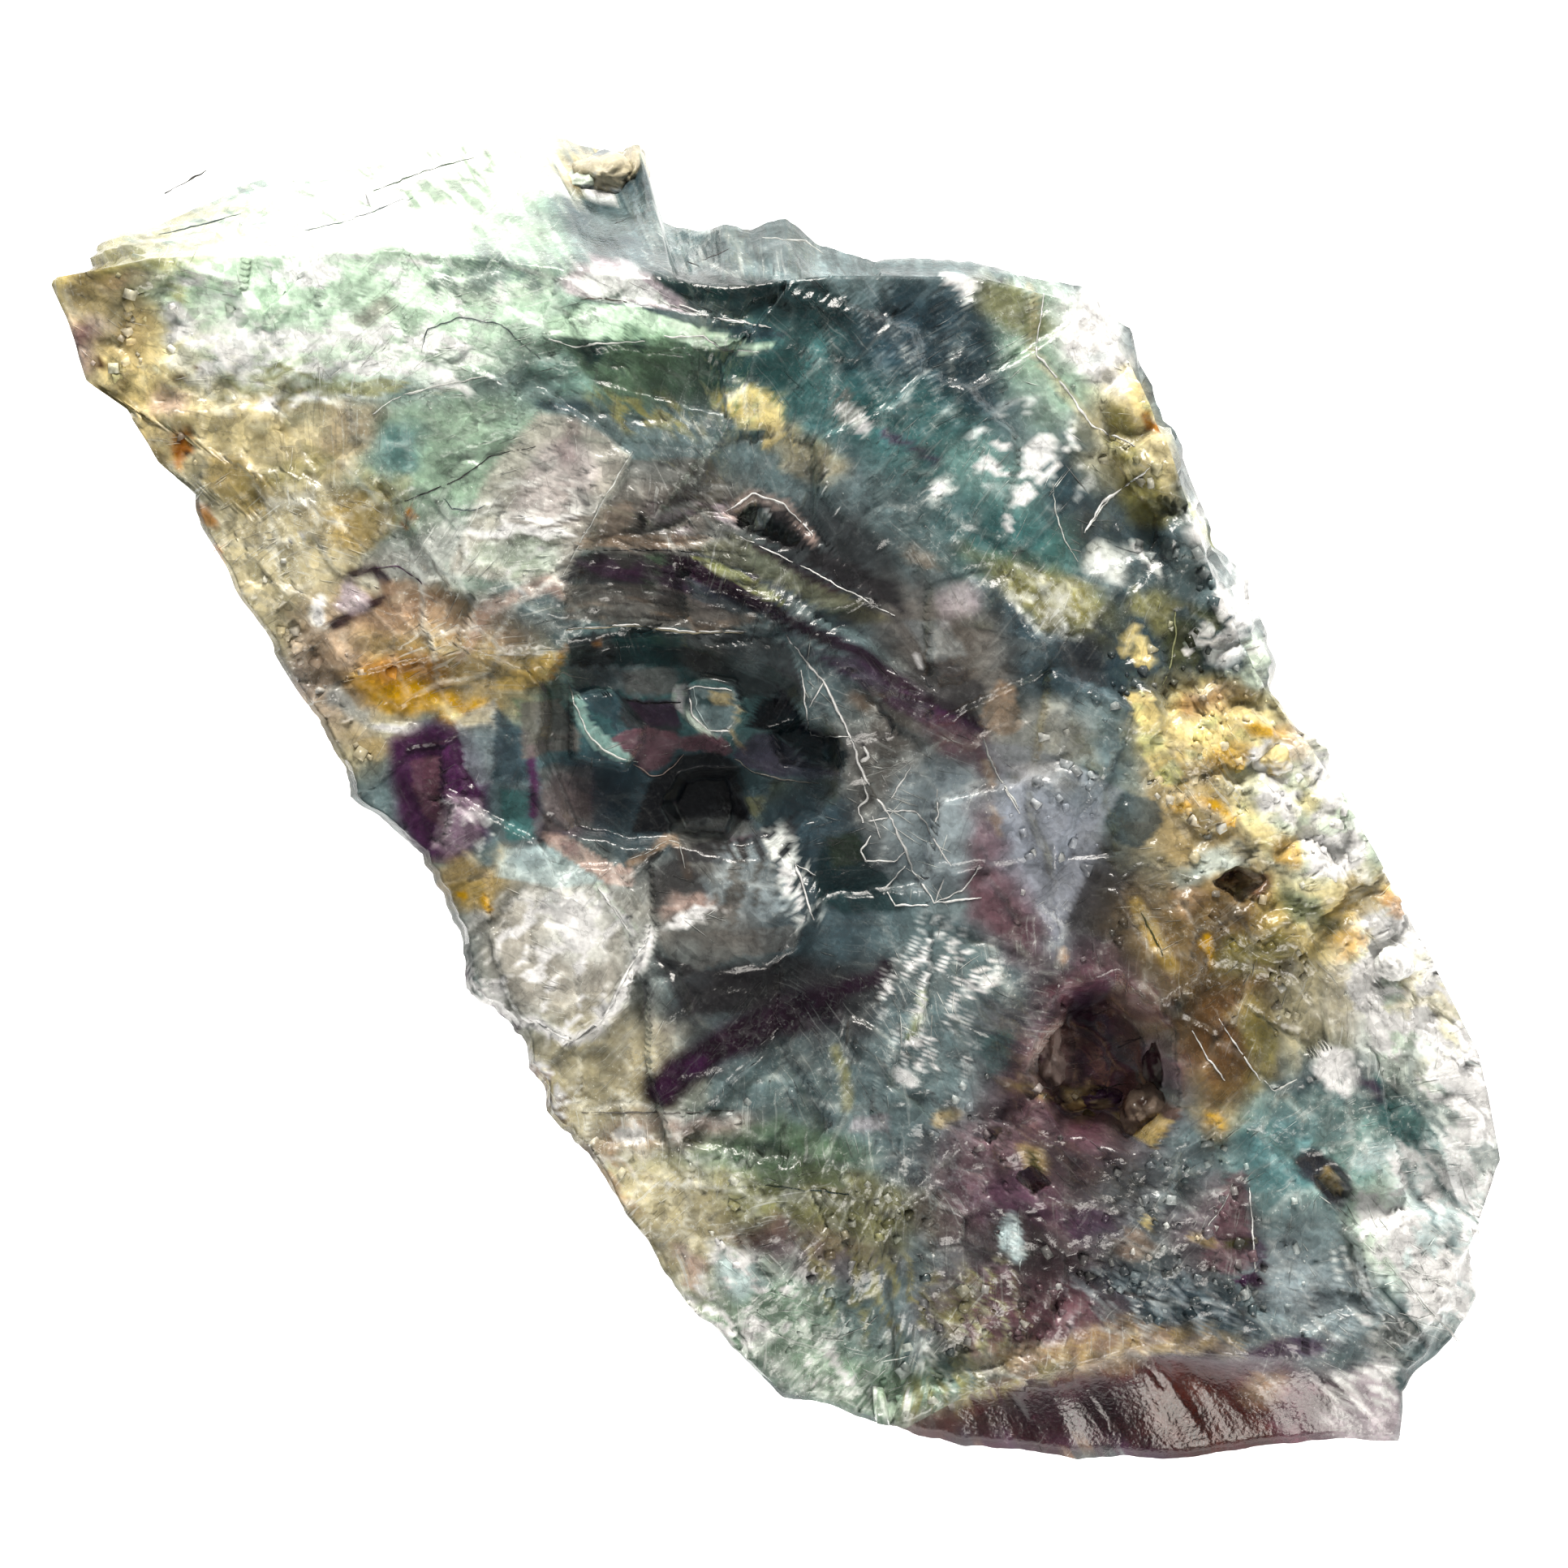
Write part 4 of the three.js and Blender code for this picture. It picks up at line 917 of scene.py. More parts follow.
    Cloud(Tint.AMBER, (23.2, -6.5), (1.2, 0.7), 0, 0.7),
    Cloud(Tint.WHITE, (24.9, -7.3), (0.8, 0.75), 0, 1, 0.3),
    Cloud(Tint.DARK_OLIVE, (21, -5.4), (1.2, 0.5), -10, 0.5),
    Seam(Tint.HONEY, ((14.2, -4.9), (14.8, -6), (15.6, -7.3)), 0.3, 0.6),
    Seam(Tint.DARK_OLIVE, ((14.4, -5.2), (15.3, -6.9)), 0.12, 0.6),
    Cloud(Tint.AMBER, (17.8, -6.6), (0.25, 0.5), 20),
    Cloud(Tint.OLIVE, (19.5, -7.2), (1.4, 0.8), 0, 0.7),
    Cloud(Tint.SAND, (18.9, -9.4), (0.8, 0.5), 0, 0.6),
    Cloud(Tint.OLIVE, (19.6, -10.6), (0.8, 1.8), 15, 0.6),
    Cloud(Tint.AMBER, (18.1, -13.5), (0.4, 0.6), 0, 0.9, 0.3),
    Seam(Tint.FROST, ((16.5, -10), (17.1, -11), (17.8, -12)), 0.09, 0.7),
    Seam(Tint.FROST, ((17.6, -9.5), (18.3, -10.6), (19.3, -12)), 0.09, 0.7),
    Seam(Tint.FROST, ((20.8, -12), (19.9, -12.5), (19.5, -12)), 0.12, 0.7),
    Streaks(Tint.WHITE, (26.4, -8), (3, 3.6), 0, 0.7, 0.4, 40, 0.6, 0.8),
    Streaks(Tint.HONEY, (26.8, -9.2), (1.6, 3), 20, 0.5, 0.4, -50, 0.5, 1.2, 0.3),
)

CENTRE_DETAILS: Sequence[Mark] = (
    # left: plum mark, amber belt, plum blotch
    Seam(Tint.DEEP_PLUM, (
        (-17.4, 8.5), (-16.5, 8.7), (-15.8, 7.8), (-16.8, 7.2), (-18.1, 6.4),
    ), 0.22, 0.85),
    Seam(Tint.PLUM, ((-16.5, 8.7), (-15.6, 8.8), (-14.6, 8.1)), 0.09),
    Cloud(Tint.LILAC, (-17.3, 7.7), (0.5, 0.7), 0, 0.9),
    Cloud(Tint.TAN, (-15.5, 8.3), (0.7, 0.35), -25),
    Cloud(Tint.BROWN, (-15, 7.4), (1.1, 0.5), 20, 0.4),
    Cloud(Tint.TAN, (-16.3, 6.9), (1.2, 0.35), 10, 0.6),
    Cloud(Tint.FROST, (-18.6, 7.2), (0.35, 0.5)),
    Cloud(Tint.RUST, (-15.2, 4.6), (1.6, 0.6), -10, 0.55),
    Cloud(Tint.AMBER, (-15.8, 4.1), (1.5, 0.6), -8),
    Cloud(Tint.AMBER, (-13.4, 3.5), (1.7, 0.55), -4),
    Cloud(Tint.YELLOW, (-12.9, 3.3), (1.1, 0.3), -4, 0.6),
    Facet(Tint.HONEY, ((-12, 3.8), (-9.4, 5.4), (-8.7, 5.1), (-9.2, 4.2), (-10.6, 3.7)), 0.9, 0.12),
    Cloud(Tint.RUST, (-9.1, 4.9), (0.6, 0.2), 60, 0.5),
    Cloud(Tint.FROST, (-15.6, 2.5), (0.9, 0.4), -10, 0.7),
    Cloud(Tint.PALE_SLATE, (-17.2, 3.1), (0.8, 0.4), -40, 0.6),
    Cloud(Tint.SAND, (-16.6, 1.2), (0.9, 0.5), -40, 0.7),
    Facet(Tint.PLUM, (
        (-15.9, 1.9), (-14, 2.5), (-12.7, 2.2), (-12, 0.5), (-12, -2), (-13.2, -3.1), (-14.5, -3.2),
        (-15.5, -1.6), (-15.8, 0),
    ), 0.95, 0.2),
    Cloud(Tint.DEEP_PLUM, (-13.4, 0.1), (0.5, 1.5), 10, 0.75),
    Facet(Tint.MAUVE, (
        (-15, 0.9), (-13.8, 1.1), (-13.9, -0.4), (-13.6, -1.9), (-14.4, -1.3), (-15, -0.2),
    ), 0.6),
    Facet(Tint.LILAC, (
        (-13.6, -0.4), (-12.2, -0.6), (-12.3, -2.2), (-13.4, -2.9), (-14.3, -2.6), (-13.9, -1.4),
    ), 0.4, 0.1),
    Facet(Tint.PALE_SLATE, (
        (-13.2, 2.6), (-11.6, 3.4), (-11.2, 1.2), (-12.2, -0.2), (-12.8, 0.6),
    ), 0.6, 0.1),
    Facet(Tint.DARK_SLATE, ((-11.6, 3), (-10.4, 2), (-10.2, 0.2), (-11.8, 0)), 0.75, 0.1),
    Facet(Tint.TEAL, ((-11.4, -0.2), (-10.2, -0.3), (-10.1, -2.2), (-11.3, -2.2)), 0.8, 0.1),
    Seam(Tint.PLUM, ((-10.2, 1.4), (-10.1, 0), (-10.1, -1.2)), 0.18, 0.9),
    Streaks(Tint.FROST, (-11.8, -1.8), (0.6, 0.9), 0, 0.35, 0.4, 60, 0.3, 0.5, 0.35),
    Cloud(Tint.SAND, (-12.1, -3.1), (1.7, 0.8), -10, 0.9),
    Cloud(Tint.HONEY, (-12.3, -4.2), (1.2, 0.8)),
    Cloud(Tint.AMBER, (-11.6, -4.4), (0.35, 0.35), 0, 1, 0.3),
    Cloud(Tint.AMBER, (-12.6, -4.3), (0.2, 0.25), 0, 0.8, 0.3),
    Facet(Tint.ICE, ((-11.4, -2.5), (-9.6, -2.4), (-7.2, -3.9), (-9.4, -4.1), (-11.6, -3.7)), 0.6, 0.15),
    Facet(Tint.PINK, (
        (-9.8, -1.9), (-9, -2), (-8, -2.6), (-7, -3.2), (-6.1, -3.4), (-6, -4.2), (-7.2, -3.9),
        (-8.6, -3.1), (-9.6, -2.5),
    ), 0.8, 0.06),
    Facet(Tint.WINE, ((-9, -2.3), (-8.4, -2.4), (-8.2, -3), (-8.9, -2.9)), 0.4, 0.1),
    Seam(Tint.TAN, (
        (-6.2, -3.2), (-5.5, -2.9), (-4.6, -2.3), (-4.2, -2.4), (-4.1, -3.1), (-3.9, -3.7),
    ), 0.15),
    Seam(Tint.FROST, ((-6.2, -3), (-5.5, -2.8), (-4.7, -2.25), (-4.25, -2.35), (-4, -3.4)), 0.06, 0.85),
    # the shell plate and the steps right of it
    Facet(Tint.PEARL, (
        (-13.6, 8.6), (-12, 12.6), (-10, 15), (-8.4, 14.8), (-6.2, 13.3), (-8.9, 8.4), (-11, 8.2),
    ), 0.75),
    Seam(Tint.FROST, ((-6.1, 13.4), (-7.3, 11.3), (-8.9, 8.4)), 0.08),
    Facet(Tint.LILAC, ((-11.4, 10.6), (-10, 13.6), (-8.4, 14.2), (-7.4, 12.6), (-8.6, 10.4)), 0.35, 0.2),
    Streaks(Tint.SMOKE, (-10.2, 10.6), (2.4, 1.1), 10, 0.7, 0.4, 8, 0.2, 2.2),
    Streaks(Tint.FROST, (-10.4, 10.6), (2.6, 1.3), 10, 0.7, 0.4, 6, 0.2, 2.2),
    Cloud(Tint.MAUVE, (-8.7, 13.6), (0.5, 1), 0, 0.4),
    Cloud(Tint.SEA_GREEN, (-11, 9.2), (1.6, 0.7), 15, 0.5),
    Seam(Tint.PINK, ((-12.4, 6.8), (-11, 7.6), (-9.6, 8.2), (-8.9, 7.8)), 0.3, 0.6),
    Seam(Tint.PINK, ((-13, 5), (-12.4, 6.2), (-11.9, 7.2)), 0.2, 0.5),
    Facet(Tint.SMOKE, (
        (-6.2, 13.1), (-3, 13.2), (-2, 11.4), (-4, 9.6), (-8.3, 9.7), (-7.4, 11.4),
    ), 0.6, 0.03),
    Facet(Tint.TAN, ((-7.4, 11.3), (-6.2, 11.4), (-6.2, 10.1), (-8, 10)), 0.3),
    Streaks(Tint.DEEP_PLUM, (-4, 11.4), (1.6, 0.7), 0, 0.7, 0.4, 0, 0.3, 1.4, 0.45),
    Streaks(Tint.LILAC, (-3.4, 10.7), (1.8, 0.6), 0, 0.8, 0.4, 4, 0.2, 0.8),
    Cloud(Tint.BLACK, (-6.1, 10.95), (0.3, 0.14), 40, 0.9, 0.3),
    Facet(Tint.TAN, ((-8.2, 10.1), (-2.8, 10), (-3.6, 9.5), (-8.5, 9.55)), 0.6, 0.04),
    Seam(Tint.BLACK, ((-8.4, 9.4), (-6, 9.45), (-3.7, 9.35)), 0.07),
    Facet(Tint.DARK_SMOKE, ((-8.6, 9.3), (-3.6, 9.3), (-1.6, 8), (-4.2, 8.1), (-8.9, 8.2)), 0.85, 0.04),
    Facet(Tint.MOSS, ((-5.7, 9.3), (-4.8, 9.3), (-4.95, 7.7), (-5.6, 7.7)), 0.75, 0.12),
    Streaks(Tint.PLUM, (-4.5, 8.5), (4, 0.6), -6, 0.6, 0.4, -10, 0.4, 0.9, 0.45),
    Facet(Tint.SMOKE, ((-9, 8.1), (-5, 8), (-2.2, 7.4), (-0.8, 6.5), (-4, 6.3), (-8.8, 6.5)), 0.75, 0.04),
    Facet(Tint.DARK_SLATE, ((-4, 8.3), (-1.6, 7.8), (-0.6, 6.8), (-2, 6.9), (-3.8, 7.5)), 0.6, 0.1),
    Streaks(Tint.TAN, (-5, 6.8), (4, 0.5), -2, 0.6, 0.4, -2, 0.2, 2.4),
    Seam(Tint.BEIGE, ((-8.8, 6.2), (-7.4, 6.3), (-6, 6.4), (-4, 6.1), (-1.6, 6.1)), 0.1, 0.7),
    # windows and blocks of the basin
    Facet(Tint.DEEP_TEAL, (
        (-8.6, 5.9), (-7, 6.15), (-5.2, 6.3), (-4.1, 6.2), (-4.05, 4.6), (-8.6, 4.6),
    ), 0.95),
    Facet(Tint.DARK_SMOKE, ((-8.6, 5.9), (-7, 6.15), (-6.6, 5.3), (-6.9, 4.6), (-8.6, 4.6)), 0.6, 0.08),
    Cloud(Tint.RUST, (-7.4, 5.6), (0.3, 0.14), 0, 0.6),
    Facet(Tint.DARK_SMOKE, (
        (-4.1, 6.2), (-2, 6.1), (0.1, 5.8), (0.6, 4.6), (0.7, 3.3), (-0.8, 3.4), (-1.7, 3.3), (-2, 3.9),
        (-4, 4.6),
    ), 0.7, 0.04),
    Cloud(Tint.SMOKE, (-3, 5.2), (0.8, 0.8), 0, 0.5),
    Facet(Tint.SLATE, (
        (-8.7, 4.62), (-4.2, 4.58), (-4.05, 4.2), (-4.15, 3.4), (-6.2, 3.35), (-6.5, 3.7), (-8.3, 4),
    ), 1),
    Facet(Tint.SMOKE, ((-6.4, 4.5), (-4.2, 4.5), (-4.1, 3.5), (-6.2, 3.45)), 0.6),
    Seam(Tint.BLACK, ((-6.4, 3.4), (-5.5, 3.26), (-4.2, 3.3)), 0.09),
    Facet(Tint.DARK_SLATE, (
        (-8.5, 3.9), (-6.5, 3.6), (-6.3, 3.2), (-6.8, 2.4), (-6.3, 1.5), (-6.6, 1.2), (-7.6, 2),
    )),
    Facet(Tint.TEAL, ((-7.9, 3), (-7, 2.6), (-6.5, 1.6), (-7.2, 1.6)), 0.5, 0.1),
    Facet(Tint.DARK_SMOKE, ((-6.5, 3.3), (-4.2, 3.2), (-4, 2.2), (-4.2, 1.6), (-6, 2), (-6.6, 2.6))),
    Facet(Tint.PLUM, ((-6.2, 3.2), (-4.2, 3.2), (-4, 2.2), (-5.4, 2.2)), 0.45, 0.1),
    Facet(Tint.MAUVE, (
        (-7.2, 1.7), (-6.3, 2.1), (-5.4, 2.2), (-4.2, 1.9), (-3.9, 1.6), (-4.5, 0.75), (-5, 0.35),
        (-5.5, 0.35), (-5.9, 0.85), (-6.6, 1.05),
    ), 0.8, 0.04),
    Facet(Tint.AQUA, (
        (-9, 4.5), (-8.75, 3.6), (-8.2, 2.2), (-7.7, 1.4), (-6.7, 0.85), (-5.9, 0.8), (-6.6, 1.2),
        (-7.2, 1.75), (-7.7, 2.5), (-8.3, 3.6), (-8.5, 4.4),
    ), 0.9, 0.03),
    Seam(Tint.FROST, ((-8.8, 4.2), (-8.4, 3.1), (-8, 2.15), (-7.4, 1.45), (-6.6, 1), (-5.9, 0.9)), 0.12),
    Seam(Tint.FROST, ((-9.3, 4.2), (-9, 4.55), (-8.6, 4.35), (-7.9, 4.25)), 0.12, 0.9),
    Seam(Tint.PINK, (
        (-6.2, 0.85), (-5.7, 0.55), (-5.4, 0.3), (-4.95, 0.35), (-4.5, 0.75), (-4.1, 1.2),
    ), 0.08, 0.85),
    Facet(Tint.MOSS, ((-11, 3.4), (-10.2, 3.2), (-9.9, 1.7), (-10.2, 1.6)), 0.6, 0.1),
    Facet(Tint.SMOKE, ((-10.6, 3.2), (-8.9, 3.3), (-8.2, 1.9), (-8.3, 1.2), (-10.6, 1))),
    Facet(Tint.SLATE, (
        (-4.15, 3.75), (-3.8, 3.95), (-2, 3.85), (-1.75, 3.4), (-1.85, 2.6), (-2.1, 1.85), (-2.9, 1.85),
        (-3.6, 2.4), (-4.15, 3),
    ), 1, 0.03),
    Facet(Tint.HONEY, ((-3, 3.75), (-2.1, 3.7), (-2.2, 3.1), (-2.8, 3.2)), 0.5, 0.15),
    Facet(Tint.DEEP_TEAL, ((-3.5, 3.45), (-2.9, 3.45), (-2.85, 3.1), (-3.4, 3.1)), 0.7, 0.1),
    Facet(Tint.PALE_MINT, ((-4.2, 3.75), (-3.75, 3.9), (-3.8, 3.3), (-3.9, 2.8), (-4.2, 3)), 0.85),
    Seam(Tint.PALE_MINT, ((-4.1, 3.2), (-3.75, 2.7), (-3.3, 2.25), (-2.9, 1.9)), 0.14),
    Seam(Tint.ICE, ((-3.65, 3.9), (-3.55, 3.1), (-3.1, 2.3), (-2.85, 2)), 0.1, 0.85),
    Cloud(Tint.SAND, (-1.85, 2.1), (0.26, 0.9), 5, 0.75, 0.3),
    Facet(Tint.MAUVE, (
        (-4.1, 1.25), (-3.9, 1.7), (-3.2, 1.9), (-2.1, 1.7), (-1.9, 1.15), (-2.4, 1), (-3.2, 1.2),
    ), 0.9),
    Facet(Tint.WINE, ((-3.6, 1.3), (-3.4, 1.7), (-2.4, 1.6), (-2.2, 1.15)), 0.5, 0.1),
    # the teal hollow: partly its own deep teal, partly painted shade of the hollow
    Facet(Tint.INK_TEAL, (
        (-1.25, 2.2), (-1, 2.9), (-0.6, 3.3), (0.4, 3.3), (0.8, 2.8), (1.1, 2.05), (2.2, 1.9),
        (2.6, 1.2), (2.4, 0.5), (1.4, 0.7), (0.4, 1.5), (-0.3, 1.9),
    ), 1, 0.04),
    # painted shade: black in the middle of the teal hollow
    Cloud(Tint.BLACK, (-0.1, 2.6), (0.7, 0.4)),
    Facet(Tint.PLUM, (
        (-1.6, 1.3), (-0.9, 1.9), (-0.2, 1.8), (0.6, 1.2), (1.4, 0.6), (2.4, 0.3), (1.2, 0.05),
        (-0.4, 0.2), (-1.2, 0.5), (-1.9, 1),
    ), 0.5),
    Seam(Tint.PEARL, ((-2, 1), (-1.2, 0.45), (0, 0.15), (1.4, 0.05)), 0.09, 0.85),
    Facet(Tint.SMOKE, ((-9.9, 0.7), (-7.6, 0.5), (-7.7, -1.9), (-9.6, -1.9)), 0.5),
    Facet(Tint.DARK_SLATE, ((-7.5, 0.4), (-6.2, 0.3), (-6.4, -1.9), (-7.6, -2)), 0.7),
    # painted shade: the two black facets below darken the dark hollow, where the pit goes deepest
    Facet(Tint.BLACK, (
        (-6, -2.1), (-5.6, -0.9), (-5.3, -0.2), (-4.8, 0.2), (-4.1, 1), (-2.4, 1.15), (-1.6, 0.6),
        (-1.3, -0.2), (-1.5, -0.7), (-1.2, -1.2), (-1.1, -1.7), (-4.2, -2.1),
    ), 0.85, 0.03),
    Facet(Tint.BLACK, ((-2.1, -0.2), (-1.5, -0.8), (-1.1, -1.7), (-2, -1.7), (-2.3, -0.9)), 0.9),
    Facet(Tint.SMOKE, ((-4, -1.9), (-1, -1.7), (-1, -2.4), (-2, -2.6), (-4.1, -2.6)), 0.5, 0.04),
    Facet(Tint.DARK_OLIVE, (
        (-0.3, 0), (2.2, 0), (2.2, -0.8), (0.8, -1.4), (-0.6, -2), (-1.2, -1.4), (-1.4, -0.7),
        (-0.4, -0.6),
    ), 0.75),
    Facet(Tint.OLIVE, ((-1.4, -0.7), (-0.6, -0.7), (-0.4, -1.3), (-1, -1.5)), 0.6, 0.08),
    Facet(Tint.DEEP_TEAL, ((-1.9, 0.9), (-1.2, 0.4), (-0.3, 0.1), (-0.35, -0.6), (-1.4, -0.6)), 0.6),
    Seam(Tint.WINE, ((-1.8, -2.5), (-0.4, -2.2), (0.4, -1.8)), 0.16, 0.7),
    # plates under the basin
    Cloud(Tint.DARK_SLATE, (1.4, -2), (2.2, 2), 0, 0.9),
    Facet(Tint.DARK_SMOKE, ((-4.6, -2.6), (-1, -2.4), (0.6, -1.4), (0.4, -3), (-2.2, -3.1), (-4.2, -3.2))),
    Facet(Tint.DARK_SMOKE, ((-5.4, -3.4), (-4.2, -3), (-3, -3.9), (-3, -4.9), (-5.2, -5.2)), 0.7, 0.06),
    Cloud(Tint.PINK, (-3.8, -5.1), (1.1, 0.4), 0, 0.6),
    Streaks(Tint.WHITE, (-3.4, -5.6), (1.2, 0.35), 10, 0.9, 0.4, 25, 0.2, 0.6, 0.5),
    Facet(Tint.SMOKE, (
        (-5.4, -5.9), (-3, -5.9), (0.8, -5.6), (0.6, -6.6), (-2, -6.9), (-4, -7.8),
    ), 0.5, 0.04),
    Streaks(Tint.PALE_SLATE, (-1.2, -4.4), (2.2, 1.4), 0, 0.6, 0.4, 60, 0.2, 1.6),
    Streaks(Tint.FROST, (0.7, -3.9), (0.7, 1.7), 10, 0.7, 0.4, 60, 0.2, 0.6),
    Facet(Tint.DEEP_TEAL, (
        (1.7, -2.2), (3.2, -2), (3.6, -3.4), (4.4, -3.8), (4.8, -5.1), (2.5, -5.3), (1.2, -4.8),
        (1.4, -3.4),
    ), 0.8, 0.08),
    Facet(Tint.DARK_OLIVE, ((1.8, -2.2), (3.1, -2), (3.4, -3.2), (2, -3.6)), 0.4, 0.1),
    Facet(Tint.DARK_SMOKE, (
        (-5.3, -6.8), (-4, -7.9), (-2.6, -7.4), (0.8, -6.9), (1.3, -7.6), (-1, -9.1), (-4, -9.3),
    ), 0.75, 0.06),
    # rib, groove and the dark plates right of them
    Facet(Tint.PINK, (
        (-2.5, 10.9), (-1.3, 11.9), (0.2, 11.4), (1.3, 9.9), (1.2, 9.5), (0.4, 10.6), (-1.2, 11.4),
        (-2.1, 10.6),
    ), 0.5, 0.1),
    Facet(Tint.DARK_SMOKE, ((-2.1, 10.5), (-1.3, 11.4), (0.1, 11), (1.2, 9.5), (0, 9.5), (-0.9, 9.9)), 0.9),
    # painted shade: black inside the three-sided hole
    Facet(Tint.BLACK, ((-2.1, 10.5), (-1.3, 11.4), (-1, 10.6), (-1.2, 10.1)), 1),
    # painted highlight: a white glint inside the three-sided hole
    Facet(Tint.FROST, ((-0.9, 11.1), (-0.6, 10.9), (-0.5, 10.3), (-0.75, 10.2)), 0.8, 0.2),
    Facet(Tint.OLIVE, (
        (-3.8, 9.5), (-2, 10.1), (-0.4, 9.2), (2, 7.9), (4.4, 6.6), (2.8, 6.4), (-0.6, 8.2),
    ), 0.35, 0.1),
    Facet(Tint.LIME, (
        (-3.9, 9.25), (-2.4, 8.9), (-0.9, 8.1), (0.1, 7.2), (-1, 7.6), (-2.6, 8.4),
    ), 0.6, 0.08),
    Facet(Tint.DARK_SMOKE, (
        (1.2, 9.5), (3, 8.9), (4.6, 7.9), (4.9, 6.9), (4, 7.2), (2.2, 8.1), (0.6, 9.1),
    ), 0.85),
    Seam(Tint.DEEP_PLUM, ((-1.2, 9.6), (0, 9), (2, 7.8)), 0.16, 0.7),
    Seam(Tint.DEEP_PLUM, ((-4.2, 9), (-2.5, 8), (0, 6.7), (3, 5.3), (5, 3.9), (8, 2.3)), 0.3, 0.9),
    Facet(Tint.PLUM, ((1.2, 5.3), (3, 5), (5, 3.7), (8, 2.2), (6.8, 2), (4.6, 2.9), (2.6, 4.2)), 0.6, 0.15),
    Cloud(Tint.TAN, (3.2, 3.3), (0.8, 0.5), -30, 0.6),
    Cloud(Tint.MAUVE, (7.3, 1.4), (0.9, 0.8), 0, 0.7),
    Facet(Tint.DARK_SMOKE, ((4.9, 4.4), (6.3, 5.2), (8.1, 4), (7.8, 2.7), (6.2, 3.1)), 0.75, 0.08),
    Facet(Tint.PALE_SLATE, ((4.9, 6.6), (6.6, 6.6), (7.2, 5.2), (5.8, 4.9)), 0.3, 0.1),
    Cloud(Tint.WHITE, (5.65, 4.7), (0.15, 0.3), 0, 0.9, 0.3),
    Cloud(Tint.LILAC, (7.2, 7.3), (0.9, 0.7), -20, 0.5),
    Cloud(Tint.TAN, (5.8, 9.3), (1, 0.5), -35, 0.5),
    Facet(Tint.TAN, ((7.9, 2.4), (8.5, 4.3), (9.3, 3.9), (9.6, 2.2), (8.8, 1.9)), 0.8, 0.08),
    # the long ice wedge
    Facet(Tint.BLUE_LILAC, (
        (8, 1.7), (10.2, 1.5), (13.6, -0.2), (12.8, -2), (11, -6.4), (10.3, -5.2), (9.6, -1.4),
    ), 0.5, 0.04),
    Seam(Tint.TAN, ((8.2, 0.8), (8.5, 0)), 0.18),
    Cloud(Tint.TAN, (8.7, -1.4), (0.3, 0.7), 0, 0.6, 0.3),
    Seam(Tint.FROST, ((8, 1.8), (8.7, 0.2), (9.5, -1)), 0.12),
    Facet(Tint.DARK_SLATE, (
        (12.9, -1.5), (13.6, -0.2), (15.2, -0.8), (15.4, -1.6), (14.3, -2.6), (13.4, -2.3),
    ), 0.7),
    Facet(Tint.DARK_SMOKE, ((12.9, -2.2), (13.8, -4), (13, -5.6), (11.4, -6.2), (12.2, -4)), 0.45, 0.1),
    Cloud(Tint.TAN, (10.7, -7.2), (0.3, 0.5), 0, 0.8, 0.3),
    Facet(Tint.TEAL, ((7.9, -10.3), (9.3, -9.9), (9.2, -11.5), (8.3, -12)), 0.5, 0.1),
    # vug
    # painted shade: black in the hollow of the plum vug
    Facet(Tint.BLACK, (
        (10.4, -9), (12, -9.3), (12.6, -11), (12.4, -12.6), (14.5, -13.8), (11, -14), (12, -11.5),
        (11.6, -9.9),
    ), 0.45, 0.1),
    Streaks(Tint.MAUVE, (14, -10), (2.4, 2.4), 0, 0.9, 0.4, -50, 0.4, 1.2, 0.45),
    Cloud(Tint.DEEP_PLUM, (12.3, -10.4), (0.6, 1.6), 10),
    Cloud(Tint.MAUVE, (10.8, -8.5), (0.8, 0.45), -10),
    Cloud(Tint.PINK, (10.9, -11.4), (0.9, 1.7), 0, 0.7),
    Streaks(Tint.SAND, (12, -12.8), (2.2, 0.5), -5, 0.9, 0.4, -20, 0.3, 0.6, 0.5),
    Facet(Tint.BROWN, ((14, -12.9), (15, -12.1), (16, -13.2), (15.9, -13.6), (14.9, -13.7)), 0.7),
    Facet(Tint.HONEY, ((14.2, -14.2), (14.9, -14.7), (15.9, -13.6), (14.7, -13.5))),
    # vein and lower left
    Cloud(Tint.DARK_SMOKE, (1.6, -9.2), (3.2, 1.9), 20, 0.95),
    Seam(Tint.DEEP_PLUM, ((-4.9, -12.4), (-4, -11.5), (-2.4, -10.5), (-0.4, -9.5), (1.6, -8.9)), 0.75, 1),
    Seam(Tint.DEEP_PLUM, ((1.2, -8.9), (2.6, -8.2), (3.7, -7.9), (4.1, -7.3)), 0.3, 0.9),
    Seam(Tint.PLUM, ((-4.9, -12.5), (-4.2, -11.6), (-3.4, -11.3)), 0.4, 0.6),
    Seam(Tint.FROST, (
        (-5.4, -6), (-5.9, -7.2), (-6.6, -8.6), (-7.6, -10.1), (-8.6, -10.4), (-10.3, -9.5),
    ), 0.28, 0.75),
    Seam(Tint.PALE_MINT, ((-7.5, -4.1), (-6.9, -5), (-6.2, -6)), 0.16, 0.9),
    Streaks(Tint.WHITE, (-9, -7), (3, 3), 0, 0.7, 0.4, 50, 0.25, 1.2, 0.3),
    Streaks(Tint.PLUM, (-11.6, -10.4), (0.9, 4.4), 32, 0.8, 0.4, -55, 0.5, 0.7, 0.45),
    Streaks(Tint.WHITE, (-11.2, -10.6), (0.9, 4.4), 32, 0.9, 0.4, -40, 0.35, 0.5, 0.35),
    Cloud(Tint.WHITE, (-6, -14.2), (0.6, 0.3), 0, 0.9, 0.35),
    Streaks(Tint.TAN, (-6.6, -16), (1.6, 2), -50, 0.7, 0.4, -55, 0.4, 1.2, 0.45),
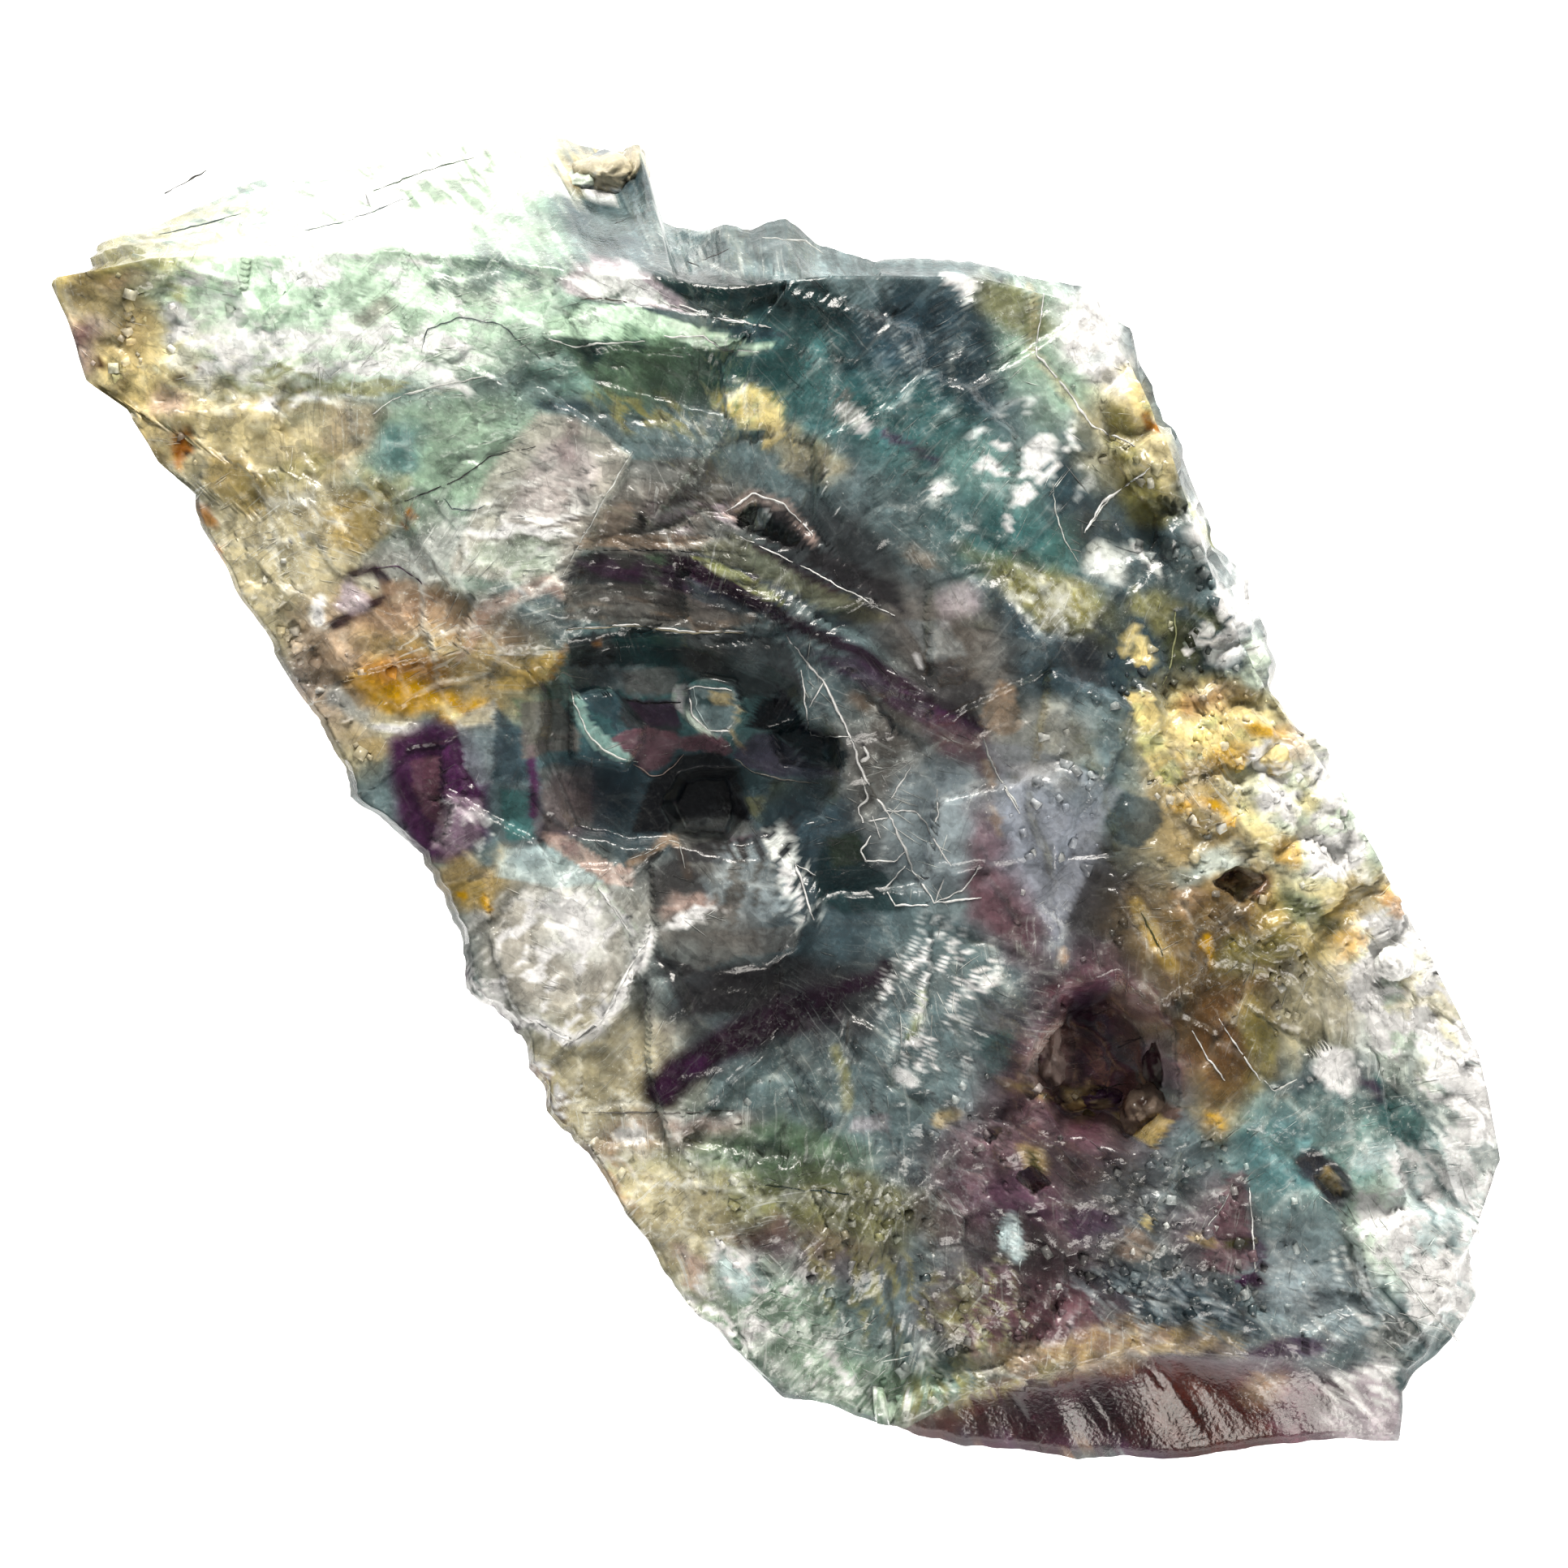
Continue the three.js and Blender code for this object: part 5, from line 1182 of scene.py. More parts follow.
    Seam(Tint.SMOKE, ((-8.2, -13.3), (-5, -13.3), (-2, -13.2)), 0.08, 0.6),
    Facet(Tint.MOSS, ((-1.8, -14.6), (2.2, -14.4), (2.6, -16.3), (-0.8, -16.1)), 0.5, 0.1),
    Seam(Tint.DEEP_TEAL, ((-0.8, -16.2), (1, -16.4), (2.6, -16.6)), 0.09, 0.6),
    Cloud(Tint.BROWN, (-0.8, -18.7), (1.2, 0.4), -10, 0.3),
    Cloud(Tint.PINK, (-4.3, -19.8), (0.9, 0.35), -45),
    Cloud(Tint.ICE, (-2, -20), (1.5, 0.8), -20, 0.85),
    Streaks(Tint.WHITE, (-1.8, -21), (2.4, 1.8), -30, 0.8, 0.4, -50, 0.3, 0.7),
    Streaks(Tint.OLIVE, (4.2, -20.8), (3.6, 1.6), -20, 0.7, 0.4, -62, 0.3, 2),
    Streaks(Tint.LIME, (8.2, -21.6), (1.2, 1.6), 0, 0.6, 0.4, -60, 0.25, 1.6),
    Seam(Tint.LIME, ((5.6, -8.4), (5.5, -9.2), (5.1, -10.2)), 0.2, 0.6),
    Seam(Tint.OLIVE, ((2.1, -10.8), (2.5, -11.8), (2.6, -13)), 0.22, 0.6),
    Cloud(Tint.SAND, (6.8, -13.2), (0.6, 0.45), 0, 0.7),
    Facet(Tint.LILAC, ((2.8, -13.4), (4.2, -13.3), (4.1, -14), (2.7, -14)), 0.4, 0.15),
    Streaks(Tint.WHITE, (6.4, -8.6), (2, 3), 0, 0.8, 0.4, 65, 0.2, 1.8, 0.3),
    Cloud(Tint.WHITE, (5.3, -11.6), (0.5, 0.3), -10),
    # lower middle
    Cloud(Tint.SAND, (9.9, -15.6), (0.7, 0.8), 0, 0.8, 0.3),
    Cloud(Tint.DARK_OLIVE, (9.95, -15.6), (0.28, 0.55), 15, 0.95, 0.3),
    Cloud(Tint.PLUM, (12.4, -17.8), (1.4, 0.9), -20, 0.6),
    Cloud(Tint.PLUM, (9.2, -17.2), (1.6, 1), 0, 0.4),
    Cloud(Tint.ICE, (8.8, -18.9), (0.35, 0.7), 0, 0.9, 0.3),
    Cloud(Tint.TAN, (14.4, -18.9), (0.7, 0.5), 0, 0.6),
    Cloud(Tint.YELLOW, (15, -18), (0.2, 0.25), 0, 0.8, 0.3),
    Facet(Tint.MAUVE, (
        (18.2, -15.9), (19, -15.8), (19.2, -19.8), (18.5, -20), (17, -19.7), (17.6, -17.8),
    ), 0.75),
    Cloud(Tint.DARK_OLIVE, (18.6, -19.2), (0.6, 0.4), 0, 0.85, 0.3),
    Cloud(Tint.SAND, (17.2, -18.3), (0.4, 0.25), 0, 0.8, 0.3),
    Facet(Tint.PLUM, ((18.3, -20.2), (19.6, -20.05), (20, -20.8), (19.4, -20.8)), 0.85),
    Facet(Tint.PLUM, ((19.2, -18.3), (19.8, -18.9), (20, -20), (19.2, -19.9)), 0.55),
    Seam(Tint.FROST, ((18.9, -16.4), (19.05, -18), (19.2, -19.8)), 0.09, 0.9),
    Seam(Tint.FROST, ((18.2, -16.2), (17.8, -17.2), (17, -18.1)), 0.07, 0.7),
    Streaks(Tint.PALE_SLATE, (15, -21.4), (4, 1.4), -5, 0.7, 0.4, -55, 0.2, 1.4),
    Streaks(Tint.SAND, (14, -23.2), (5, 0.9), 3, 0.7, 0.4, 60, 0.4, 0.8),
    Cloud(Tint.DEEP_PLUM, (12.5, -26.2), (4.2, 1.4)),
    # painted reflection: a warm reddish glow over the lower ledge's own dark colour
    Cloud(Tint.GARNET_AND_REFLECTION, (18, -26.6), (2.8, 1.9), -15, 1, 0.3),
    Cloud(Tint.TAN, (20, -25.5), (1.2, 0.8), 0, 0.85, 0.3),
    Cloud(Tint.UMBER, (12.4, -24.2), (2.6, 0.4), 0, 0.6),
    Cloud(Tint.TAN, (9.2, -24.4), (1.6, 0.5), 10, 0.6),
    Cloud(Tint.PLUM, (20.6, -23.3), (1.8, 0.5), -5, 0.7),
    Cloud(Tint.WINE, (22, -26.6), (1.5, 1.8), 0, 0.9),
    Cloud(Tint.LILAC, (23.4, -26.6), (0.6, 0.4), 0, 0.9, 0.3),
    Streaks(Tint.OLIVE, (8, -24.6), (3.6, 1.2), 5, 0.7, 0.4, -75, 0.3, 1.4, 0.45),
    Streaks(Tint.FROST, (4, -24.2), (4, 1.6), 0, 0.6, 0.4, -70, 0.22, 1.4, 0.3),
    # lower right
    Cloud(Tint.ICE, (24.7, -15.6), (1.2, 0.6), -20, 0.6),
    Cloud(Tint.ICE, (27.6, -19.5), (1.8, 3), 15),
    Streaks(Tint.SLATE, (27.4, -15), (2.2, 4), 10, 0.7, 0.4, -50, 0.35, 2),
    Facet(Tint.DEEP_PLUM, (
        (20.9, -15.6), (21.8, -15), (23.2, -16), (23.9, -16.9), (23.3, -17.8), (22.6, -17.5),
        (22, -16.6), (21.3, -16.1),
    ), 0.8, 0.12),
    Facet(Tint.SAND, ((22.2, -15.8), (23, -16.3), (23.4, -17), (23, -17.2), (22.4, -16.6)), 0.85, 0.15),
    Facet(Tint.TEAL, ((24.3, -12), (26.5, -13.6), (28, -15.8), (26.2, -15.5), (24.6, -14)), 0.8, 0.06),
    Cloud(Tint.PLUM, (24.5, -12.6), (0.25, 0.9), 30, 0.6),
    Cloud(Tint.DARK_SLATE, (26.6, -13.2), (1.1, 0.5), -40, 0.6),
    Cloud(Tint.WHITE, (23.3, -11.9), (0.7, 0.6), 0, 0.9, 0.35),
    Cloud(Tint.DARK_SLATE, (21.9, -11.9), (0.8, 0.5), 30, 0.5),
    Cloud(Tint.WHITE, (25, -18.2), (0.7, 0.5), 0, 0.7),
    Streaks(Tint.WHITE, (27.6, -19.2), (2.2, 3.6), 20, 0.9, 0.4, -55, 0.25, 1.2, 0.5),
    Streaks(Tint.SLATE, (28.4, -18.8), (1.8, 3.4), 20, 0.7, 0.4, -60, 0.25, 1, 0.35),
    Streaks(Tint.FROST, (24.4, -20.6), (2.6, 2.6), 0, 0.7, 0.4, -52, 0.16, 3, 0.3),
    Seam(Tint.DEEP_TEAL, ((24.7, -20.8), (25.3, -21.6), (26.3, -22.6), (27.1, -23.6)), 0.14, 0.85),
    Seam(Tint.FROST, ((25.2, -20.2), (26.4, -21.6), (27.9, -23)), 0.12),
    Seam(Tint.SLATE, ((26.1, -16.2), (26.5, -17.2), (27, -18)), 0.18, 0.7),
    Facet(Tint.SMOKE, ((24, -23.2), (25.4, -21.9), (26.6, -22.9), (25, -24.1)), 0.5, 0.1),
    Cloud(Tint.FROST, (25.6, -24.4), (0.8, 0.9), 0, 0.85),
    Cloud(Tint.DEEP_TEAL, (21.6, -20.2), (0.12, 0.12), 0, 0.9, 0.3),
    Streaks(Tint.FROST, (24.4, -25.4), (1.6, 1.2), 0, 0.7, 0.4, -62, 0.18, 1.2),
)

FINE_SEAM = 0.125  # a seam whose half width is under this is a raised vein, not paint
MARKS = (*BANDS, *DETAILS, *CENTRE_DETAILS)
FINE_SEAMS = tuple(mark for mark in MARKS if isinstance(mark, Seam) and mark.half_width < FINE_SEAM)
PAINTED_MARKS = tuple(mark for mark in MARKS if mark not in FINE_SEAMS)

# How a point's colours wander off the drawn marks: width of the wander and its size, mm.
WANDER = (3.2, 0.5)
FINE_WANDER = (0.8, 0.24)
CRISP_WANDER = (0.7, 0.07)
CHIP_JUMP = 0.5  # how far off a chip may take its colour from
SLANT = (0.1, -0.08)  # how far a colour band shifts along u and v for each mm down

# How much lighter or darker a place is than the next one, as a share.
CHIP_LIGHT = 0.26
CRUMB_LIGHT = 0.34
PATCH_LIGHT = (0.9, 0.16)  # its width in mm, and the share
SNOWY_CALM, CLEAR_CALM, PALE_CALM = 0.6, 0.4, 0.45  # how much of it snow, windows and pale tints lose
PALE = (0.2, 0.55)  # greys between which a tint counts as pale

# Pale rims of chips, partly frost on the broken edges and partly a painted highlight: distances from the
# border where they fade and end, and their strength.
CHIP_RIM_FROST_AND_HIGHLIGHT = (0.03, 0.12, 0.3)
CRUMB_RIM_FROST_AND_HIGHLIGHT = (0.02, 0.1, 0.15)
SNOWY_RIM_LOSS = 0.7

VIVIDNESS = 1.65
FADE = (0.15, 0.55)  # greys between which a colour loses vividness
FADE_LOSS = 0.5
DEPTH = 1.6  # how much darker than light colours dark ones are made
GAIN = 2.2
LEVEL_LIMITS = (0.004, 1.0)
COLOUR_LIMITS = (0.002, 0.97)
LEAST_WHITE = 0.15  # share of white that the darkest place can show
BRIGHT = (0.02, 0.3)
WHITE_LIMIT = 0.95

# Silk: how much of it there is in every place, how wide its belts are, and what windows lose.
LEAST_SILK = 0.25
BELT_WIDTH = 3.4
BELT_EDGE = (-0.5, 0.7)  # noise where a belt starts and where it is whole
GLASSY_SILK_LOSS = 0.7

# Fine streaks: patches of crystal that each have their own direction.
PATCH_WIDTH = 4.2
PATCH_BEND = (2.4, 0.7)
STREAK_LENGTH = 2.2
STREAK_WIDTH = 0.15
STREAK_WANDER = (1.6, 0.16)
PATCH_STEP = 90.0  # how far apart in the noise two patches are read


@dataclass(frozen=True)
class Area:
    """A soft-edged, turned ellipse on the face."""

    at: Pair
    radii: Pair
    turn: float = 0.0
    soft: float = 0.5

    cover = Cloud.cover


class Texture(Enum):
    """How the broken surface looks."""

    GLASSY = "clear flat cleavage windows"
    CRUMBLY = "sugary grains"
    SHELLY = "curved shell fractures"
    STEPPED = "straight parallel cleavage steps"
    SNOWY = "white, blown-out veils"


TEXTURE_AREAS: dict[Texture, Sequence[Area]] = {
    Texture.GLASSY: (
        Area((-4, 1), (7.5, 5)), Area((2.5, 8), (3.5, 2.2), -35), Area((13.8, -1.5), (2, 2.4)),
        Area((6.5, -3.5), (3, 4)), Area((-2.2, -5), (3, 2.4)), Area((2.6, -4.5), (1.8, 3.5)),
        Area((10.8, -2), (1.6, 4), 12), Area((-5, 18.5), (4, 1.2), -8), Area((-17, 25), (9, 2.6), 14),
    ),
    Texture.CRUMBLY: (
        Area((19, -1), (8, 7), -40), Area((16.5, 12), (3, 8), 15),
        Area((13, -17), (7, 5), -30), Area((4, -19), (8, 5), -20), Area((-21, 5), (6, 3.5), -50),
        Area((-27, 16), (3.5, 4)),
    ),
    Texture.SHELLY: (Area((-10, 11.5), (7, 5), 10),),
    Texture.STEPPED: (Area((-3, 8.2), (7, 3), -6), Area((25.5, -20.5), (4, 4))),
    Texture.SNOWY: (
        Area((-16, 25), (9, 3), 14), Area((28.5, -13), (2.4, 8), 5), Area((19.8, 1), (1.6, 1.4)),
        Area((-8.9, -6.4), (3, 3)), Area((-20, 17.5), (6, 1.6), 2), Area((9.5, 12.8), (3, 2), -20),
        Area((12.4, 18.4), (2, 2.2)), Area((24.5, -7.5), (2.6, 2)), Area((19, 7.6), (1.6, 2), -30),
        Area((-2, -20.6), (2.6, 2), -30), Area((-20, 3.5), (3, 5), 30),
    ),
}


# ---- Mesh grids ------------------------------------------------------------------------------


def rectangle_rim(across: int, up: int) -> Array:
    """Indices of a grid's outer points, once round anticlockwise."""
    index = np.arange((across + 1) * (up + 1)).reshape(up + 1, across + 1)
    return np.concatenate([index[0, :-1], index[:-1, -1], index[-1, :0:-1], index[:0:-1, 0]])


def grid_quads(across: int, up: int) -> Array:
    """Corner indices of a grid's cells, facing up."""
    index = np.arange((across + 1) * (up + 1)).reshape(up + 1, across + 1)
    corners = (index[:-1, :-1], index[:-1, 1:], index[1:, 1:], index[1:, :-1])
    return np.stack(corners, axis=-1).reshape(-1, 4)


def strip_quads(upper: Array, lower: Array) -> Array:
    """Cells between two closed rings of the same count, facing out of an anticlockwise ring."""
    return np.stack([upper, lower, np.roll(lower, -1), np.roll(upper, -1)], axis=-1)


def to_row_frame(points: Array) -> Array:
    """Turn face-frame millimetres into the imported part's metres.

    Args:
        points: rows of u, v and height.

    Returns:
        Rows of x, y and z: turned by the face's turn, and centred on the girth's box.
    """
    turn = np.array([[math.cos(FACE_TURN), math.sin(FACE_TURN)], [-math.sin(FACE_TURN), math.cos(FACE_TURN)]])
    outline = np.array(GIRTH) @ turn
    middle = (outline.min(axis=0) + outline.max(axis=0)) / 2.0
    flat = points[:, :2] @ turn - middle
    return np.column_stack([flat, points[:, 2]]) * MM


def add_mesh(name: str, points: Array, faces: Sequence[Array]) -> bpy.types.Object:
    """Make a mesh object at the origin.

    Args:
        name: the piece's name.
        points: rows of x, y and z in metres.
        faces: arrays of corner indices, one array for each count of corners.

    Returns:
        The new object, linked to the scene.
    """
    mesh = bpy.data.meshes.new(name)
    counts = np.concatenate([np.full(len(block), block.shape[1]) for block in faces])
    corners = np.concatenate([block.ravel() for block in faces])
    mesh.vertices.add(len(points))
    mesh.vertices.foreach_set("co", points.ravel())
    mesh.loops.add(len(corners))
    mesh.loops.foreach_set("vertex_index", corners.astype(np.int32))
    mesh.polygons.add(len(counts))
    mesh.polygons.foreach_set("loop_start", (np.cumsum(counts) - counts).astype(np.int32))
    mesh.update(calc_edges=True)
    mesh.validate()
    piece = bpy.data.objects.new(name, mesh)
    bpy.context.scene.collection.objects.link(piece)
    return piece


# ---- Shader wiring ---------------------------------------------------------------------------

# Numbers of the Mix node's sockets for colours.
MIX_FACTOR, MIX_FIRST, MIX_SECOND, MIX_COLOUR = 0, 6, 7, 2

# Noise values between which a mark appears.
DARK_STREAK = (0.36, 0.28)
WHITE_STREAK = (0.62, 0.74)
# painted glints: white specks where the fine noise passes these values
GLINT_FLECK = (0.62, 0.72)
LINE_EDGE = (0.0003, 0.00005)

# Noise value that a crooked line follows, and the line's strength.
DARK_LINE = (0.41, 0.3)
WHITE_LINE = (0.5, 0.25)

DARK_STREAK_SHARE = 0.5
BUMP_STRENGTH = 0.7

class Socket:
    """A node's output that takes part in Python expressions."""

    def __init__(self, wiring: "Wiring", output: bpy.types.NodeSocket) -> None:
        """Wrap an output of one material's nodes."""
        self.wiring = wiring
        self.output = output

    def _maths(self, operation: str, first: Any, second: Any) -> "Socket":
        """Add a Math node over two values or sockets."""
        return self.wiring.add("ShaderNodeMath", {"operation": operation}, {0: first, 1: second})

    def __add__(self, other: Any) -> "Socket":
        """Sum."""
        return self._maths("ADD", self, other)

    def __radd__(self, other: Any) -> "Socket":
        """Sum, reflected."""
        return self._maths("ADD", other, self)

    def __sub__(self, other: Any) -> "Socket":
        """Difference."""
        return self._maths("SUBTRACT", self, other)

    def __mul__(self, other: Any) -> "Socket":
        """Product."""
        return self._maths("MULTIPLY", self, other)

    def __rmul__(self, other: Any) -> "Socket":
        """Product, reflected."""
        return self._maths("MULTIPLY", other, self)


class Wiring:
    """The nodes of one material."""

    def __init__(self, material: bpy.types.Material) -> None:
        """Clear the material's nodes."""
        material.use_nodes = True
        self.tree = material.node_tree
        self.tree.nodes.clear()

    def add(
        self,
        kind: str,
        settings: dict[str, Any] | None = None,
        inputs: dict[int | str, Any] | None = None,
        output: int | str = 0,
    ) -> Socket:
        """Add one node.

        Args:
            kind: the node's type.
            settings: its own settings, which are set first.
            inputs: values or sockets for its inputs, by name or number.
            output: which output to give back.

        Returns:
            That output, ready for an expression.
        """
        node = self.tree.nodes.new(kind)
        for name, value in (settings or {}).items():
            setattr(node, name, value)
        for name, value in (inputs or {}).items():
            if isinstance(value, Socket):
                self.tree.links.new(value.output, node.inputs[name])
            else:
                node.inputs[name].default_value = value
        return Socket(self, node.outputs[output]) if node.outputs else Socket(self, None)

    def ramp(self, value: Socket, low: float, high: float) -> Socket:
        """Rise smoothly from 0 at low to 1 at high."""
        settings = {"interpolation_type": "SMOOTHSTEP"}
        return self.add("ShaderNodeMapRange", settings, {0: value, 1: low, 2: high, 3: 0.0, 4: 1.0})

    def mix(self, factor: Any, first: Any, second: Any) -> Socket:
        """Blend two colours."""
        inputs = {MIX_FACTOR: factor, MIX_FIRST: first, MIX_SECOND: second}
        return self.add("ShaderNodeMix", {"data_type": "RGBA"}, inputs, MIX_COLOUR)

    def noise(self, place: Socket, width: float, detail: float = 3.0) -> Socket:
        """Cloudy noise whose features are about width millimetres wide."""
        inputs = {"Vector": place, "Scale": 1.0 / (width * MM), "Detail": detail}
        return self.add("ShaderNodeTexNoise", {}, inputs, "Fac")

    def cells(self, place: Socket, width: float, settings: dict[str, Any], output: str) -> Socket:
        """Angular cells about width millimetres wide."""
        inputs = {"Vector": place, "Scale": 1.0 / (width * MM)}
        return self.add("ShaderNodeTexVoronoi", settings, inputs, output)

    def shade(self, colour: Socket, light: Socket) -> Socket:
        """Make a colour lighter or darker."""
        return self.add("ShaderNodeVectorMath", {"operation": "SCALE"}, {0: colour, "Scale": light})


def opaque(colour: Colour) -> tuple[float, float, float, float]:
    """A colour with full alpha."""
    return (*colour, 1.0)


@dataclass(frozen=True)
class FluoriteFinish:
    """Clear, banded crystal: see-through, with fine white specks of painted glint, facets, streaks and
    crooked cracks.
    """

    name: str = "rainbow_fluorite"
    transmission: float = 0.4
    ior: float = 1.434
    mirror: float = 0.25
    roughness: float = 0.2
    veil_roughness: float = 0.35
    absorption: Colour = (0.82, 0.90, 0.88)
    absorption_density: float = 10.0
    speckle_width: float = 0.22
    crinkle_width: float = 0.75
    facet_width: float = 0.55
    contrast: float = 0.8
    # strength of the painted glints, white specks over the crystal
    fleck_glints: float = 0.5
    crinkles: float = 0.8
    hairs: float = 0.5
    bump_height: float = 0.00004
    crinkle_light: Pair = (0.55, 0.9)
    facet_light: Pair = (0.72, 0.56)

    def material(self) -> bpy.types.Material:
        """Build the material."""
        material = bpy.data.materials.new(self.name)
        wiring = Wiring(material)
        place = wiring.add("ShaderNodeTexCoord", {}, {}, "Object")
        tint = wiring.add("ShaderNodeAttribute", {"attribute_name": "tint"}, {}, "Color")
        silk = wiring.add("ShaderNodeAttribute", {"attribute_name": "silk"}, {}, "Fac")
        flow = wiring.add("ShaderNodeAttribute", {"attribute_name": "flow"}, {}, "Vector")
        speckle = wiring.noise(place, self.speckle_width, 2.0)
        crinkle = wiring.noise(place, self.crinkle_width, 3.0)
        facet = wiring.cells(place, self.facet_width, {"distance": "MANHATTAN"}, "Color")
        streak = wiring.add("ShaderNodeTexNoise", {}, {"Vector": flow, "Scale": 1.0, "Detail": 1.0}, "Fac")
        light = 1.0 - self.contrast / 2 + self.contrast * speckle
        light = light * (self.crinkle_light[0] + self.crinkle_light[1] * crinkle)
        light = light * (self.facet_light[0] + self.facet_light[1] * facet)
        tone = wiring.shade(tint, light)
        dark = wiring.ramp(streak, *DARK_STREAK) * (DARK_STREAK_SHARE * self.hairs)
        dark = dark + self._line(wiring, crinkle, *DARK_LINE)
        tone = wiring.mix(dark, tone, opaque(Tint.DARK_SMOKE.linear()))
        # painted glints: white specks from the fine noise, then white streaks and crooked white lines
        white = wiring.ramp(speckle, *GLINT_FLECK) * self.fleck_glints
        white = white + wiring.ramp(streak, *WHITE_STREAK) * self.hairs
        white = white + self._line(wiring, crinkle, *WHITE_LINE)
        # where the colour turns white: veils and cracks, and the painted glints
        veils_and_glints = wiring.add("ShaderNodeClamp", {}, {0: white * silk})
        surface = wiring.add(
            "ShaderNodeBsdfPrincipled",
            {},
            {
                "Base Color": wiring.mix(veils_and_glints, tone, opaque(Tint.FROST.linear())),
                "Roughness": self.roughness + veils_and_glints * self.veil_roughness,
                "IOR": self.ior,
                "Specular IOR Level": self.mirror,
                "Transmission Weight": self.transmission,
                "Normal": self._relief(wiring, speckle),
            },
        )
        volume = wiring.add(
            "ShaderNodeVolumeAbsorption",
            {},
            {"Color": opaque(self.absorption), "Density": self.absorption_density},
        )
        wiring.add("ShaderNodeOutputMaterial", {}, {"Surface": surface, "Volume": volume})
        return material

    def _line(self, wiring: Wiring, noise: Socket, level: float, share: float) -> Socket:
        """Thin crooked lines where noise passes a level: the square of the difference is near 0."""
        apart = noise - level
        return wiring.ramp(apart * apart, *LINE_EDGE) * (share * self.crinkles)

    def _relief(self, wiring: Wiring, height: Socket) -> Socket:
        """Tiny steps and pits that catch the light."""
        inputs = {"Strength": BUMP_STRENGTH, "Distance": self.bump_height, "Height": height}
        return wiring.add("ShaderNodeBump", {}, inputs, "Normal")


STONE = FluoriteFinish()
CRUST = FluoriteFinish(
    name="sugary_fluorite", transmission=0.35, roughness=0.22, contrast=0.6, fleck_glints=0.4, crinkles=0.4,
    hairs=0.0, bump_height=0.00003,
)
VEIN = FluoriteFinish(
    name="white_vein_fluorite", transmission=0.3, contrast=0.5, fleck_glints=0.2, crinkles=0.0, hairs=0.0,
    bump_height=0.00003,
)


# ---- Paint on the stone -----------------------------------------------------------------------

# Small breakage of the face, mm: how wide each form is, and how much of it shows.
MEDIUM_SHARE, SMALL_SHARE = 0.6, 0.45
GLASSY_CALM = 0.75
GRAIN_SPACING, GRAIN_REACH, GRAIN_LEVEL, GRAIN_SHARE = 1.1, 0.8, 0.6, 0.2
SHELL_FOCUS = (-6.0, 4.0)
SHELL_WIDTH, SHELL_SHARE = 0.9, 0.12
SHELL_BEND = (3.0, 0.5)
STEP_TURN = math.radians(8)
STEP_WIDTH, STEP_SHARE = 0.55, 0.3
STEP_BEND = (2.5, 0.25)
AREA_BEND = (4.0, 1.0)

# Sides: how much of the chips shows, and streaks by how drawn out they are along and across.
EDGE_CHIP_SHARE = 0.6
SIDE_STREAK_WAYS = (0.12, 1.4)
SIDE_STREAKS = (0.6, 0.16)


def texture_cover(texture: Texture, u: Array, v: Array) -> Array:
    """Share of a texture at each point: the strongest of its areas."""
    place = bent(u, v, AREA_BEND, (201, 211))
    return np.max([area.cover(*place) for area in TEXTURE_AREAS[texture]], axis=0)


def fine_relief(u: Array, v: Array) -> Array:
    """Small breakage of the face: chips of two sizes, grains, shell ripples and steps.

    Args:
        u: first coordinates.
        v: second coordinates.

    Returns:
        Height to add: each form times the share of its texture.
    """
    crumbly = texture_cover(Texture.CRUMBLY, u, v)
    glassy = texture_cover(Texture.GLASSY, u, v)
    shelly = texture_cover(Texture.SHELLY, u, v)
    stepped = texture_cover(Texture.STEPPED, u, v)
    plain = 1.0 - GLASSY_CALM * glassy
    medium = MEDIUM_CHIPS.height_in(chip_cells(u, v))
    small = SMALL_CHIPS.height_in(crumb_cells(u, v))
    grains = Cells.around(u, v, GRAIN_SPACING, 53)
    dome = np.maximum(0.0, 1.0 - (grains.nearest / GRAIN_REACH) ** 2) * (GRAIN_LEVEL + grains.pick(57))
    from_focus = np.hypot(u - SHELL_FOCUS[0], v - SHELL_FOCUS[1]) + wander(u, v, SHELL_BEND, 61)
    shells = np.floor(from_focus / SHELL_WIDTH) * SHELL_WIDTH - from_focus
    across = v * math.cos(STEP_TURN) + u * math.sin(STEP_TURN) + wander(u, v, STEP_BEND, 67)
    steps = np.floor(across / STEP_WIDTH) * STEP_WIDTH - across
    relief = MEDIUM_SHARE * medium * plain + SMALL_SHARE * small * plain * (0.5 + crumbly)
    relief = relief + GRAIN_SHARE * dome * crumbly
    return relief + SHELL_SHARE * shells * shelly + STEP_SHARE * steps * stepped


def side_relief(around: Array, height: Array) -> Array:
    """Small breakage of the sides: chips, and streaks that run along the side."""
    chips = EDGE_CHIPS.height(around, height)
    streaks = wander(around * SIDE_STREAK_WAYS[0], height * SIDE_STREAK_WAYS[1], SIDE_STREAKS, 89)
    return chips * EDGE_CHIP_SHARE + streaks


def flow_of(u: Array, v: Array) -> tuple[Array, Array]:
    """Direction of the fine streaks, one for each patch of crystal, and the patch's own number."""
    patches = Cells.around(*bent(u, v, PATCH_BEND, (601, 611)), PATCH_WIDTH, 621)
    return math.pi * patches.pick(631), patches.pick(651)


def streak_place(u: Array, v: Array) -> Array:
    """Place in drawn-out noise: lengths along and across the flow, each over a streak's own size."""
    angle, number = flow_of(u, v)
    along = u * np.cos(angle) + v * np.sin(angle)
    across = v * np.cos(angle) - u * np.sin(angle) + wander(u, v, STREAK_WANDER, 641)
    return np.column_stack([along / STREAK_LENGTH, across / STREAK_WIDTH, number * PATCH_STEP])


